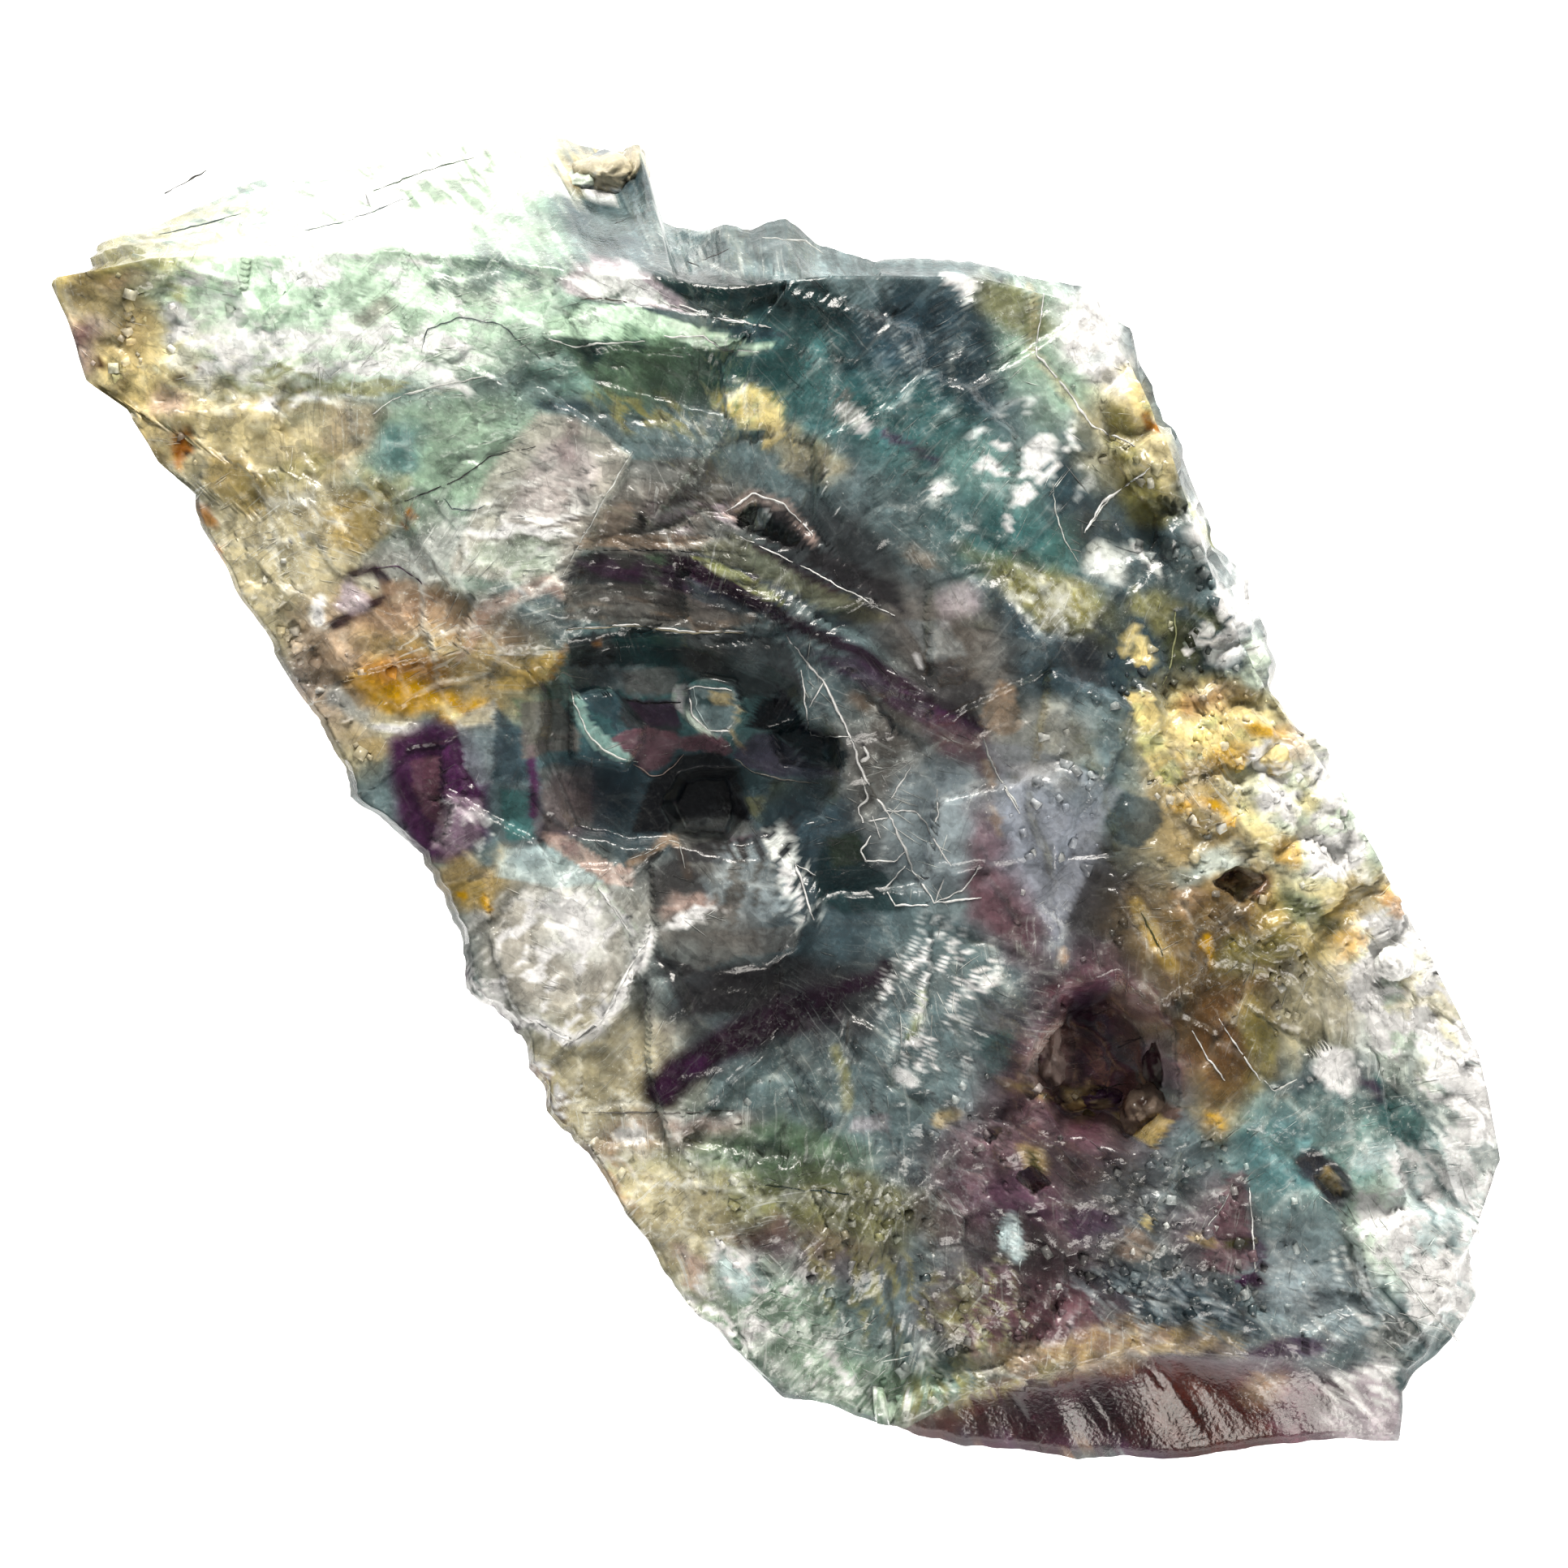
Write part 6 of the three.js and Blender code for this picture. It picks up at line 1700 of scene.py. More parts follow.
def silkiness(u: Array, v: Array) -> Array:
    """Share of white streaks and of painted glints: high in belts, low in the glassy windows."""
    belt = smoothstep(*BELT_EDGE, rough(u, v, BELT_WIDTH, 317))
    belt = LEAST_SILK + (1.0 - LEAST_SILK) * belt
    return belt * (1.0 - GLASSY_SILK_LOSS * texture_cover(Texture.GLASSY, u, v))


def stone_colour(u: Array, v: Array) -> Array:
    """Colour at each point: the marks laid over one another in order.

    Args:
        u: first coordinates.
        v: second coordinates.

    Returns:
        Rows of linear red, green and blue. Clouds are looked up at a place that wanders and that
        jumps from chip to chip; every chip is a little lighter or darker than the next.
    """
    chips, crumbs = chip_cells(u, v), crumb_cells(u, v)
    far_u, far_v = bent(u, v, WANDER, (401, 411))
    soft_u = far_u + wander(u, v, FINE_WANDER, 421) + CHIP_JUMP * chips.pick(441)
    soft_v = far_v + wander(u, v, FINE_WANDER, 431) + CHIP_JUMP * chips.pick(443)
    near = bent(u, v, CRISP_WANDER, (451, 461))
    colour = np.tile(Tint.SLATE.linear(), (len(u), 1))
    for mark in PAINTED_MARKS:
        cover = mark.cover(*near) if mark.torn else mark.cover(soft_u, soft_v)
        share = (cover * mark.strength)[:, None]
        colour = colour * (1.0 - share) + np.array(mark.tint.linear()) * share
    snowy, glassy = texture_cover(Texture.SNOWY, u, v), texture_cover(Texture.GLASSY, u, v)
    calm = (1.0 - SNOWY_CALM * snowy) * (1.0 - CLEAR_CALM * glassy)
    calm = calm * (1.0 - PALE_CALM * smoothstep(*PALE, colour.mean(axis=1)))
    light = (1.0 + CHIP_LIGHT * chips.pick(447) * calm) * (1.0 + CRUMB_LIGHT * crumbs.pick(449) * calm)
    light = light * (1.0 + wander(u, v, PATCH_LIGHT, 457) * calm)
    # pale chip rims: partly frost, partly a painted highlight along the chip borders
    rim_frost_and_highlight = chips.rim(*CHIP_RIM_FROST_AND_HIGHLIGHT) + crumbs.rim(*CRUMB_RIM_FROST_AND_HIGHLIGHT)
    colour = whitened(colour, (rim_frost_and_highlight * silkiness(u, v) * (1.0 - SNOWY_RIM_LOSS * snowy))[:, None])
    grey = colour.mean(axis=1, keepdims=True)
    vivid = grey + (colour - grey) * (VIVIDNESS - FADE_LOSS * smoothstep(*FADE, grey))
    level = np.clip(grey * light[:, None], *LEVEL_LIMITS)
    return np.clip(vivid / grey * level**DEPTH * GAIN, *COLOUR_LIMITS)


def lightness(colour: Array) -> Array:
    """Share of white that a place of this colour can show: little where it is dark."""
    return LEAST_WHITE + (1.0 - LEAST_WHITE) * smoothstep(*BRIGHT, colour.mean(axis=1))


def whitened(colour: Array, share: Array) -> Array:
    """Blend towards a white that is as bright as the place allows."""
    white = np.array(Tint.FROST.linear()) * lightness(colour)[:, None]
    return np.clip(colour + (white - colour) * share, 0.0, WHITE_LIMIT)


def add_paint(piece: bpy.types.Object, colour: Array, silk: Array, flow: Array) -> None:
    """Store each point's colour, silk and streak place on a mesh."""
    attributes = piece.data.attributes
    whole = np.column_stack([colour, np.ones(len(colour))])
    attributes.new("tint", "FLOAT_COLOR", "POINT").data.foreach_set("color", whole.ravel())
    attributes.new("silk", "FLOAT", "POINT").data.foreach_set("value", silk)
    attributes.new("flow", "FLOAT_VECTOR", "POINT").data.foreach_set("vector", flow.ravel())


# ---- The stone -------------------------------------------------------------------------------

GIRTH_TEAR = (1.3, 0.16)
GIRTH_LOSS = 0.1
FORM_BEND = (1.6, 0.22)
CALM_ARC = range(-12, 13, 2)  # turns, in degrees, over which the rim is smoothed
CALM_HOLD = 5  # how closely the smoothed rim is kept towards the middle
LONG_WAY = math.radians(132.0)  # bearing of the stone's long way

def girth_distance(bearing: Array) -> Array:
    """Girth outline with a finely torn edge."""
    around = bearing * SIDE_TURN
    torn = GIRTH_TEAR[1] * rough(around, around * 0.0, GIRTH_TEAR[0], 71, 4) - GIRTH_LOSS
    return reach(GIRTH, bearing) + torn


def rim_distance(bearing: Array) -> Array:
    """Where the face ends: at its own outline, or just inside the girth."""
    return np.minimum(reach(FACE, bearing), girth_distance(bearing) - EDGE_BEVEL)


def calm_rim_distance(bearing: Array) -> Array:
    """Rim outline smoothed over a wide arc, so that a notch in it leaves no crease on the face."""
    turned = [bearing + math.radians(turn) for turn in CALM_ARC]
    return np.mean([rim_distance(np.arctan2(np.sin(turn), np.cos(turn))) for turn in turned], axis=0)


def broken_face(u: Array, v: Array) -> Array:
    """Height of the broad face with its hollows, plates, grains and fine breakage."""
    place = bent(u, v, FORM_BEND, (101, 131))
    height = BASIN.cut(*place, face_height(u, v))
    for plate in PLATES.values():
        height = plate.raise_over(*place, height)
    for pit in PITS.values():
        height = pit.cut(*place, height)
    for lump in LUMPS:
        ground = float(face_height(np.array([lump.at[0]]), np.array([lump.at[1]]))[0])
        height = lump.raise_over(*place, height, ground)
    return height + fine_relief(u, v)


def ring_points(bearing: Array, distance: Array, height: Array) -> Array:
    """Points at the given distances from the hub."""
    return np.column_stack([HUB[0] + distance * np.cos(bearing), HUB[1] + distance * np.sin(bearing), height])


def dress(
    name: str,
    points: Array,
    faces: Sequence[Array],
    colour: Array,
    finish: FluoriteFinish,
) -> bpy.types.Object:
    """Make one piece of the stone: its mesh, its paint and its finish.

    Args:
        name: the piece's name.
        points: rows of u, v and height.
        faces: arrays of corner indices.
        colour: each point's colour.
        finish: what the piece is made of.

    Returns:
        The piece, which rides the stone's body and stands for its node.
    """
    piece = add_mesh(name, to_row_frame(points), faces)
    u, v = points[:, 0], points[:, 1]
    silk = silkiness(u, v) * lightness(colour)
    add_paint(piece, colour, silk, streak_place(u, v))
    piece.data.materials.append(finish.material())
    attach(piece, BODY)
    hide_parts(NODE)
    LOG.info("%s: %d faces", name, len(piece.data.polygons))
    return piece


@dataclass
class FluoriteChunk:
    """The whole stone as one closed, finely broken surface."""

    across: int = 340
    up: int = 194
    down: int = 26
    back_rings: int = 4

    def build(self) -> bpy.types.Object:
        """Make the stone's mesh and dress it."""
        face, bearing = self._face_points()
        rim = rectangle_rim(self.across, self.up)
        rings = self._side_rings(bearing[rim], face[rim])
        points = np.concatenate([face, *rings])
        count = len(rim)
        ring_index = [rim] + [len(face) + count * n + np.arange(count) for n in range(len(rings))]
        quads = [grid_quads(self.across, self.up)]
        quads += [strip_quads(upper, lower) for upper, lower in zip(ring_index, ring_index[1:])]
        middle = len(points)
        points = np.concatenate([points, [[HUB[0], HUB[1], 0.0]]])
        last = ring_index[-1]
        fan = np.stack([last, np.full(count, middle), np.roll(last, -1)], axis=-1)
        down = FACE_LEVEL - points[:, 2]
        colour = stone_colour(points[:, 0] + SLANT[0] * down, points[:, 1] + SLANT[1] * down)
        return dress(NODE + "_stone", points, [np.concatenate(quads), fan], colour, STONE)

    def _face_points(self) -> tuple[Array, Array]:
        """Points of the broad face.

        A rectangle of cells is drawn out over the face's outline: a cell keeps its bearing from
        the hub, and its share of the way out.

        Returns:
            The points, and their bearings.
        """
        x, y = np.meshgrid(np.linspace(-1, 1, self.across + 1), np.linspace(-1, 1, self.up + 1))
        x, y = x.ravel(), y.ravel()
        bearing = np.arctan2(y * self.up, x * self.across) + LONG_WAY
        bearing = np.arctan2(np.sin(bearing), np.cos(bearing))
        share = np.maximum(np.abs(x), np.abs(y))
        calm = calm_rim_distance(bearing)
        distance = share * (calm + (rim_distance(bearing) - calm) * share**CALM_HOLD)
        u = HUB[0] + distance * np.cos(bearing)
        v = HUB[1] + distance * np.sin(bearing)
        return np.column_stack([u, v, broken_face(u, v)]), bearing

    def _side_rings(self, bearing: Array, rim: Array) -> list[Array]:
        """Rings of points from just under the face's rim down the sides and in over the back.

        Args:
            bearing: the rim points' bearings.
            rim: the rim points.

        Returns:
            One array of points for each ring, ending at the smallest ring of the back.
        """
        edge = rim_distance(bearing)
        girth = girth_distance(bearing)
        foot = np.minimum(reach(FOOT, bearing), girth - EDGE_BEVEL)
        level = np.minimum(by_bearing(GIRTH_LEVELS, bearing), rim[:, 2] - 2 * EDGE_BEVEL)
        rings = []
        for step in range(1, self.down + 1):
            down = step / self.down
            share = down * 2 if down <= 0.5 else down * 2 - 1
            start, end = (edge, girth) if down <= 0.5 else (girth, foot)
            top, bottom = (rim[:, 2], level) if down <= 0.5 else (level, np.zeros_like(level))
            height = top + (bottom - top) * share
            between = 4 * share * (1 - share)
            room = np.minimum(1.0, np.abs(top - bottom) / SIDE_CHIPS.spacing)
            chip = SIDE_CHIPS.relief / 2 + SIDE_CHIPS.height(bearing * SIDE_TURN, height)
            depth = chip * between * room * by_bearing(SIDE_CHIP_SHARES, bearing)
            distance = start + (end - start) * share - depth
            for cleave in CLEAVES:
                distance = np.minimum(distance, cleave.limit(bearing, height))
            distance += between * room * side_relief(bearing * SIDE_TURN, height)
            rings.append(ring_points(bearing, distance, height))
        foot_distance = distance
        for step in range(1, self.back_rings):
            rings.append(ring_points(bearing, foot_distance * (1 - step / self.back_rings), height * 0))
        return rings


# ---- Veins, hairs and grains -----------------------------------------------------------------

RIM_ROOM = 0.15  # how far inside the face's rim a grain stays
TUBE_CORNERS = (90.0, 210.0, 330.0)
SEAM_VEIN = 0.7  # radius of a fine seam's vein, in half widths
HAIR_TAPER = (0.3, 1.0, 0.9, 0.3)
HAIR_BEND = 0.05
VEIN_SHADE = (0.5, 0.2)  # width in mm, and how much darker or lighter a vein gets

# Clumps of grains: how wide they are, and the noise where one starts and where it is whole.
CRUST_WIDTH, CRUST_EDGE = 2.2, (-0.5, 0.6)
SNOW_WIDTH, SNOW_EDGE = 1.5, (0.0, 0.8)

@dataclass(frozen=True)
class Grain:
    """The corners and faces of one small grain, about one millimetre across."""

    corners: Array
    faces: Array

    def spread(self, places: Array, sizes: Array, seed: int) -> tuple[Array, Array]:
        """Copy the grain, turned by chance, to many places.

        Args:
            places: rows of u, v and height.
            sizes: rows of three widths.
            seed: which set of turns.

        Returns:
            All corners, and all faces. A turn is a matrix from a random unit quaternion.
        """
        w, x, y, z = unit_rows(np.random.default_rng(seed).normal(size=(len(places), 4))).T
        turn = np.array([
            [1 - 2 * (y * y + z * z), 2 * (x * y - w * z), 2 * (x * z + w * y)],
            [2 * (x * y + w * z), 1 - 2 * (x * x + z * z), 2 * (y * z - w * x)],
            [2 * (x * z - w * y), 2 * (y * z + w * x), 1 - 2 * (x * x + y * y)],
        ])
        shaped = self.corners[None] * sizes[:, None, :]
        points = np.einsum("ijn,ncj->nci", turn, shaped) + places[:, None, :]
        faces = self.faces[None] + (np.arange(len(places)) * len(self.corners))[:, None, None]
        return points.reshape(-1, 3), faces.reshape(-1, self.faces.shape[1])


CUBE = Grain(
    np.array([(x, y, z) for z in (-0.5, 0.5) for y in (-0.5, 0.5) for x in (-0.5, 0.5)]),
    np.array([(0, 2, 3, 1), (4, 5, 7, 6), (0, 1, 5, 4), (2, 6, 7, 3), (0, 4, 6, 2), (1, 3, 7, 5)]),
)
OCTAHEDRON = Grain(
    np.array([(0.5, 0, 0), (0, 0.5, 0), (-0.5, 0, 0), (0, -0.5, 0), (0, 0, 0.5), (0, 0, -0.5)]),
    np.array([(0, 1, 4), (1, 2, 4), (2, 3, 4), (3, 0, 4), (1, 0, 5), (2, 1, 5), (3, 2, 5), (0, 3, 5)]),
)


def unit_rows(rows: Array) -> Array:
    """Each row over its own length."""
    return rows / np.maximum(np.linalg.norm(rows, axis=-1, keepdims=True), NEARLY_ZERO)


def sprinkle(count: int, density: Density, seed: int) -> Array:
    """Places on the face, more of them where a density is high.

    Args:
        count: how many places are tried.
        density: share kept at each place.
        seed: which set of places.

    Returns:
        Rows of u and v, all of them inside the face's rim.
    """
    draw = np.random.default_rng(seed)
    low, high = np.min(GIRTH, axis=0), np.max(GIRTH, axis=0)
    place = draw.uniform(low, high, size=(count, 2))
    out = place - HUB
    rim = rim_distance(np.arctan2(out[:, 1], out[:, 0]))
    inside = np.hypot(out[:, 0], out[:, 1]) < rim - RIM_ROOM
    kept = draw.random(count) < density(place[:, 0], place[:, 1])
    return place[inside & kept]


def tubes(paths: Array, radii: Array) -> tuple[Array, Array, Array]:
    """Three-sided tubes along many paths, closed at both ends.

    Args:
        paths: for each tube, rows of u, v and height.
        radii: for each tube, a radius for each row.

    Returns:
        The corners, the sides and the end caps. A section is a triangle with one corner up,
        whose flat side lies across the path.
    """
    count, steps, _ = paths.shape
    way = unit_rows(np.gradient(paths[..., :2], axis=1))
    side = np.stack([way[..., 1], -way[..., 0], np.zeros((count, steps))], axis=-1)
    corners = []
    for degrees in TUBE_CORNERS:
        angle = math.radians(degrees)
        offset = side * math.cos(angle) + np.array([0, 0, math.sin(angle)])
        corners.append(paths + offset * radii[..., None])
    points = np.stack(corners, axis=2).reshape(-1, 3)
    index = np.arange(len(points)).reshape(count, steps, 3)
    here, there = index[:, :-1], index[:, 1:]
    quads = np.stack([here, there, np.roll(there, -1, axis=2), np.roll(here, -1, axis=2)], axis=-1)
    caps = np.concatenate([index[:, 0], index[:, -1, ::-1]])
    return points, quads.reshape(-1, 4), caps


@dataclass(frozen=True)
class Thread:
    """A thin vein of one colour that stands out along a line on the face."""

    line: Points
    radius: float = 0.08
    tint: Tint = Tint.WHITE
    spacing: ClassVar[float] = 0.12
    bend: ClassVar[Pair] = (0.3, 0.035)
    proud: ClassVar[float] = 0.3
    tip: ClassVar[float] = 0.25
    slim: ClassVar[float] = 0.55
    uneven: ClassVar[float] = 0.6

    def tube(self) -> tuple[Array, Array, Array]:
        """Make the vein: the line resampled evenly, bent a little, and tapered to both ends."""
        corners = np.array(self.line)
        lengths = np.concatenate([[0.0], np.cumsum(np.linalg.norm(np.diff(corners, axis=0), axis=1))])
        at = np.linspace(0.0, lengths[-1], max(4, int(lengths[-1] / self.spacing)))
        u, v = (np.interp(at, lengths, corners[:, axis]) for axis in (0, 1))
        place = bent(u, v, self.bend, (701, 711))
        path = np.column_stack([*place, broken_face(*place) + self.proud * self.radius])
        taper = np.sin(np.linspace(self.tip, math.pi - self.tip, len(at))) ** 0.5
        uneven = 1.0 + self.uneven * ripple(*place, self.bend[0], 721)
        radii = self.slim * self.radius * taper * uneven
        return tubes(path[None], radii[None])


WEB_AREAS = (
    Area((3.8, 0), (6, 1.2), -60, 0.4), Area((6.4, -8.6), (2.6, 1.4), 65), Area((-3.2, -5.7), (1.3, 0.4)),
    Area((12, 11), (1.6, 1.2), -40), Area((3, -23), (4, 1.6), -20), Area((12, -12.8), (2.2, 0.5)),
    Area((24.5, -20.5), (3, 2.4), -50), Area((-18.5, 17), (6, 0.8), 3),
)
THREADS = (
    Thread((
        (0.1, 6), (0.9, 4.9), (1.6, 4.1), (2.3, 2.7), (2.9, 1.3), (3, 0.8), (3.6, -0.3), (4.2, -1.2),
        (4.8, -2.4), (5.2, -3.5), (6.1, -4.8),
    ), 0.13),
    Thread(((0.7, 4.6), (0.8, 3.8), (0.9, 2.9), (1.1, 2), (2.6, 1.9))),
    Thread(((1.6, 4.1), (1, 3.1)), 0.07),
    Thread(((4, -1.1), (5.3, -1.1), (5.8, -1.7), (6.2, -2.5), (6.8, -3.4))),
    Thread(((5.2, 0.85), (4.3, -0.6))),
    Thread(((6.2, -0.2), (6.2, -1.2), (6, -1.8)), 0.07),
    Thread(((3.5, -2.1), (3.1, -2.7), (3.3, -3.1), (4.5, -3.15), (4.9, -2.7))),
    Thread(((4.2, -1.4), (3.4, -1.5)), 0.07),
    Thread(((4.9, -3.3), (4.1, -4.3), (4.5, -4.9), (5.9, -4.9))),
    Thread(((6.1, -4.8), (6.5, -3.8))),
    Thread(((6.1, -4.8), (7.2, -4.3), (7.9, -3.3))),
    Thread(((6.1, -4.8), (8, -4.6))),
    Thread(((3.6, -1.3), (3.9, -2.2)), 0.07),
    Thread(((3.2, 1.5), (3.4, 1.1), (3.1, 0.9)), 0.2),
    Thread(((3.1, 0.3), (3.4, -0.5), (3, -1), (3.2, -1.6)), 0.11),
    Thread(((0.2, -2.8), (0.7, -3.8), (0.9, -4.6), (1.2, -5.5)), 0.12),
    Thread(((0.5, -3.3), (1.3, -3.7)), 0.07),
    Thread(((-1.8, 10), (-0.5, 9.35), (1, 8.65), (2.2, 7.95), (4.5, 6.8)), 0.07),
    Thread(((-2.5, 10.9), (-1.2, 11.75), (0, 11.3), (1.2, 10)), 0.1),
    Thread(((-8.7, 6.25), (-6, 6.45), (-4, 6.15), (-1.5, 6.15))),
    Thread(((-4.2, 19.3), (-2.5, 18.7), (-0.5, 18.4)), 0.1),
    Thread(((-4.8, 18), (-3.3, 18), (-2.4, 17.5), (-1, 17.4))),
    Thread(((-7.5, -4.2), (-6.9, -5), (-6.3, -5.9)), 0.13),
    Thread(((-5.5, -6.2), (-6.3, -7.5), (-7, -9), (-7.7, -10), (-8.5, -10.4), (-10.3, -9.5)), 0.15),
    Thread(((8, 1.9), (8.7, 0.2), (9.5, -1.2)), 0.1),
    Thread(((14.7, 12.7), (13, 11.5), (12.2, 10.2)), 0.12),
    Thread(((10.6, 20), (10.2, 17.5), (11.5, 16), (12.5, 14.6), (14.3, 13.7)), 0.1),
    Thread(((16.5, -10), (17.1, -11), (17.8, -12))),
    Thread(((17.6, -9.5), (18.3, -10.6), (19.3, -12))),
    Thread(((18.9, -16.5), (19.05, -18), (19.15, -19.7)), 0.1),
    Thread(((25.5, -20.3), (26.4, -21.5), (27.8, -23)), 0.12),
    Thread(((-4.1, 3.8), (-3.5, 3.95), (-2.1, 3.8)), 0.07),
    Thread(((-3.8, 3.5), (-3.7, 2.8), (-3.1, 2.2), (-2.2, 2.1)), 0.09),
)


@dataclass(frozen=True)
class Veins:
    """The white web beside the basin, the longer veins, and the seams too thin to paint."""

    name: str = NODE + "_veins"

    def build(self) -> bpy.types.Object:
        """Join all the veins into one mesh."""
        points, colours, quads, caps, start = [], [], [], [], 0
        fine = (Thread(seam.line, SEAM_VEIN * seam.half_width, seam.tint) for seam in FINE_SEAMS)
        for thread in (*THREADS, *fine):
            corners, sides, ends = thread.tube()
            points.append(corners)
            colours.append(np.tile(thread.tint.linear(), (len(corners), 1)))
            quads.append(sides + start)
            caps.append(ends + start)
            start += len(corners)
        whole = np.concatenate(points)
        width, shade = VEIN_SHADE
        light = 1.0 - shade + shade * ripple(whole[:, 0], whole[:, 1], width, 731)
        colour = light[:, None] * np.concatenate(colours)
        return dress(self.name, whole, [np.concatenate(quads), np.concatenate(caps)], colour, VEIN)


@dataclass(frozen=True)
class Hairs:
    """Hair-thin cracks, whiter than the stone under them, that roughly follow their patch's flow."""

    name: str
    tries: int
    density: Density
    length: Pair
    radius: Pair
    whiteness: Pair
    spread: float
    seed: int
    steps: ClassVar[int] = len(HAIR_TAPER)

    def build(self) -> bpy.types.Object:
        """Make all the cracks as one mesh."""
        place = sprinkle(self.tries, self.density, self.seed)
        draw = np.random.default_rng(self.seed + 1)
        angle = flow_of(place[:, 0], place[:, 1])[0] + draw.normal(0.0, self.spread, len(place))
        length = draw.uniform(*self.length, len(place))
        along = np.linspace(-0.5, 0.5, self.steps)[None, :] * length[:, None]
        bend = HAIR_BEND * draw.normal(size=(len(place), 1)) * along**2
        u = place[:, :1] + along * np.cos(angle)[:, None] - bend * np.sin(angle)[:, None]
        v = place[:, 1:] + along * np.sin(angle)[:, None] + bend * np.cos(angle)[:, None]
        height = broken_face(u.ravel(), v.ravel()).reshape(u.shape)
        radii = draw.uniform(*self.radius, (len(place), 1)) * np.array(HAIR_TAPER)
        points, quads, caps = tubes(np.stack([u, v, height], axis=-1), radii)
        share = np.repeat(draw.uniform(*self.whiteness, len(place)), self.steps * 3)[:, None]
        colour = whitened(stone_colour(points[:, 0], points[:, 1]), share)
        return dress(self.name, points, [quads, caps], colour, VEIN)


@dataclass(frozen=True)
class Crumbs:
    """Small grains strewn over the face where a density is high."""

    name: str
    grain: Grain
    tries: int
    density: Density
    size: Pair
    whiteness: Pair
    seed: int
    sunk: float = 0.15
    narrowest: ClassVar[float] = 0.5
    lightness: ClassVar[Pair] = (0.75, 1.5)

    def build(self) -> bpy.types.Object:
        """Make all the grains as one mesh, each with its own shape, lightness and share of white."""
        place = sprinkle(self.tries, self.density, self.seed)
        draw = np.random.default_rng(self.seed + 1)
        size = draw.uniform(*self.size, (len(place), 1)) * draw.uniform(self.narrowest, 1.0, (len(place), 3))
        height = broken_face(place[:, 0], place[:, 1]) - self.sunk * size.mean(axis=1)
        centres = np.column_stack([place, height])
        points, faces = self.grain.spread(centres, size, self.seed + 2)
        own = stone_colour(place[:, 0], place[:, 1]) * draw.uniform(*self.lightness, (len(place), 1))
        share = draw.uniform(0.0, 1.0, (len(place), 1)) ** 2
        share = self.whiteness[0] + (self.whiteness[1] - self.whiteness[0]) * share
        colour = np.repeat(whitened(own, share), len(self.grain.corners), axis=0)
        return dress(self.name, points, [faces], colour, CRUST)


@dataclass(frozen=True)
class Nodule:
    """A rounded, chipped lump."""

    at: Pair
    level: float
    radii: Triple
    tint: Tint
    spots: Tint

    def corners(self, rows: int, around: int) -> Array:
        """Points of a chipped ball: a ring of points for each row, then both poles."""
        lift = np.linspace(-math.pi / 2, math.pi / 2, rows + 2)[1:-1]
        turn = np.linspace(0.0, 2 * math.pi, around, endpoint=False)
        lift, turn = (grid.ravel() for grid in np.meshgrid(lift, turn, indexing="ij"))
        ball = np.column_stack([np.cos(lift) * np.cos(turn), np.cos(lift) * np.sin(turn), np.sin(lift)])
        ball = np.concatenate([ball, [[0, 0, -1], [0, 0, 1]]])
        read_u = 3 * ball[:, 0] + 7 * self.at[0]  # read apart for each lump
        bumps = 1.0 + wander(read_u, 3 * ball[:, 1] + 3 * ball[:, 2], NODULE_BUMPS, 761)
        return ball * bumps[:, None] * self.radii + np.array([*self.at, self.level])


NODULE_BUMPS = (1.1, 0.16)
SPOT_WIDTH, SPOT_EDGE = 0.7, (0.0, 0.5)
NODULES = (
    Nodule((-7.5, 25.2), 6.6, (1.7, 1.2, 2.4), Tint.BEIGE, Tint.PALE_SLATE),
    Nodule((-8.4, 24.9), 7.2, (1.0, 0.8, 1.6), Tint.PALE_MINT, Tint.SLATE),
    Nodule((-6.4, 25.4), 5.8, (0.7, 1.3, 2.6), Tint.BEIGE, Tint.OLIVE),
    Nodule((10.9, -11.2), 12.9, (0.9, 1.9, 1.9), Tint.PINK, Tint.WINE),
    Nodule((12.6, -12.8), 13.2, (1.2, 0.5, 0.8), Tint.SAND, Tint.PLUM),
    Nodule((10.3, -12.6), 13.4, (0.6, 0.8, 1.3), Tint.PEARL, Tint.WINE),
    Nodule((14.7, -13.4), 13.7, (1.0, 1.1, 1.3), Tint.TAN, Tint.BROWN),
    Nodule((15.3, -11.6), 12.9, (0.6, 0.9, 1.1), Tint.PEARL, Tint.WINE),
    Nodule((10.9, -8.5), 13.6, (0.7, 0.9, 1.2), Tint.MAUVE, Tint.LILAC),
    Nodule((24.9, -7.3), 14.4, (0.8, 0.7, 0.9), Tint.WHITE, Tint.FROST),
    Nodule((19.8, 0.9), 15.0, (0.9, 0.8, 1.4), Tint.WHITE, Tint.YELLOW),
    Nodule((-2.7, -18.0), 15.6, (0.7, 0.5, 0.8), Tint.WHITE, Tint.FROST),
)


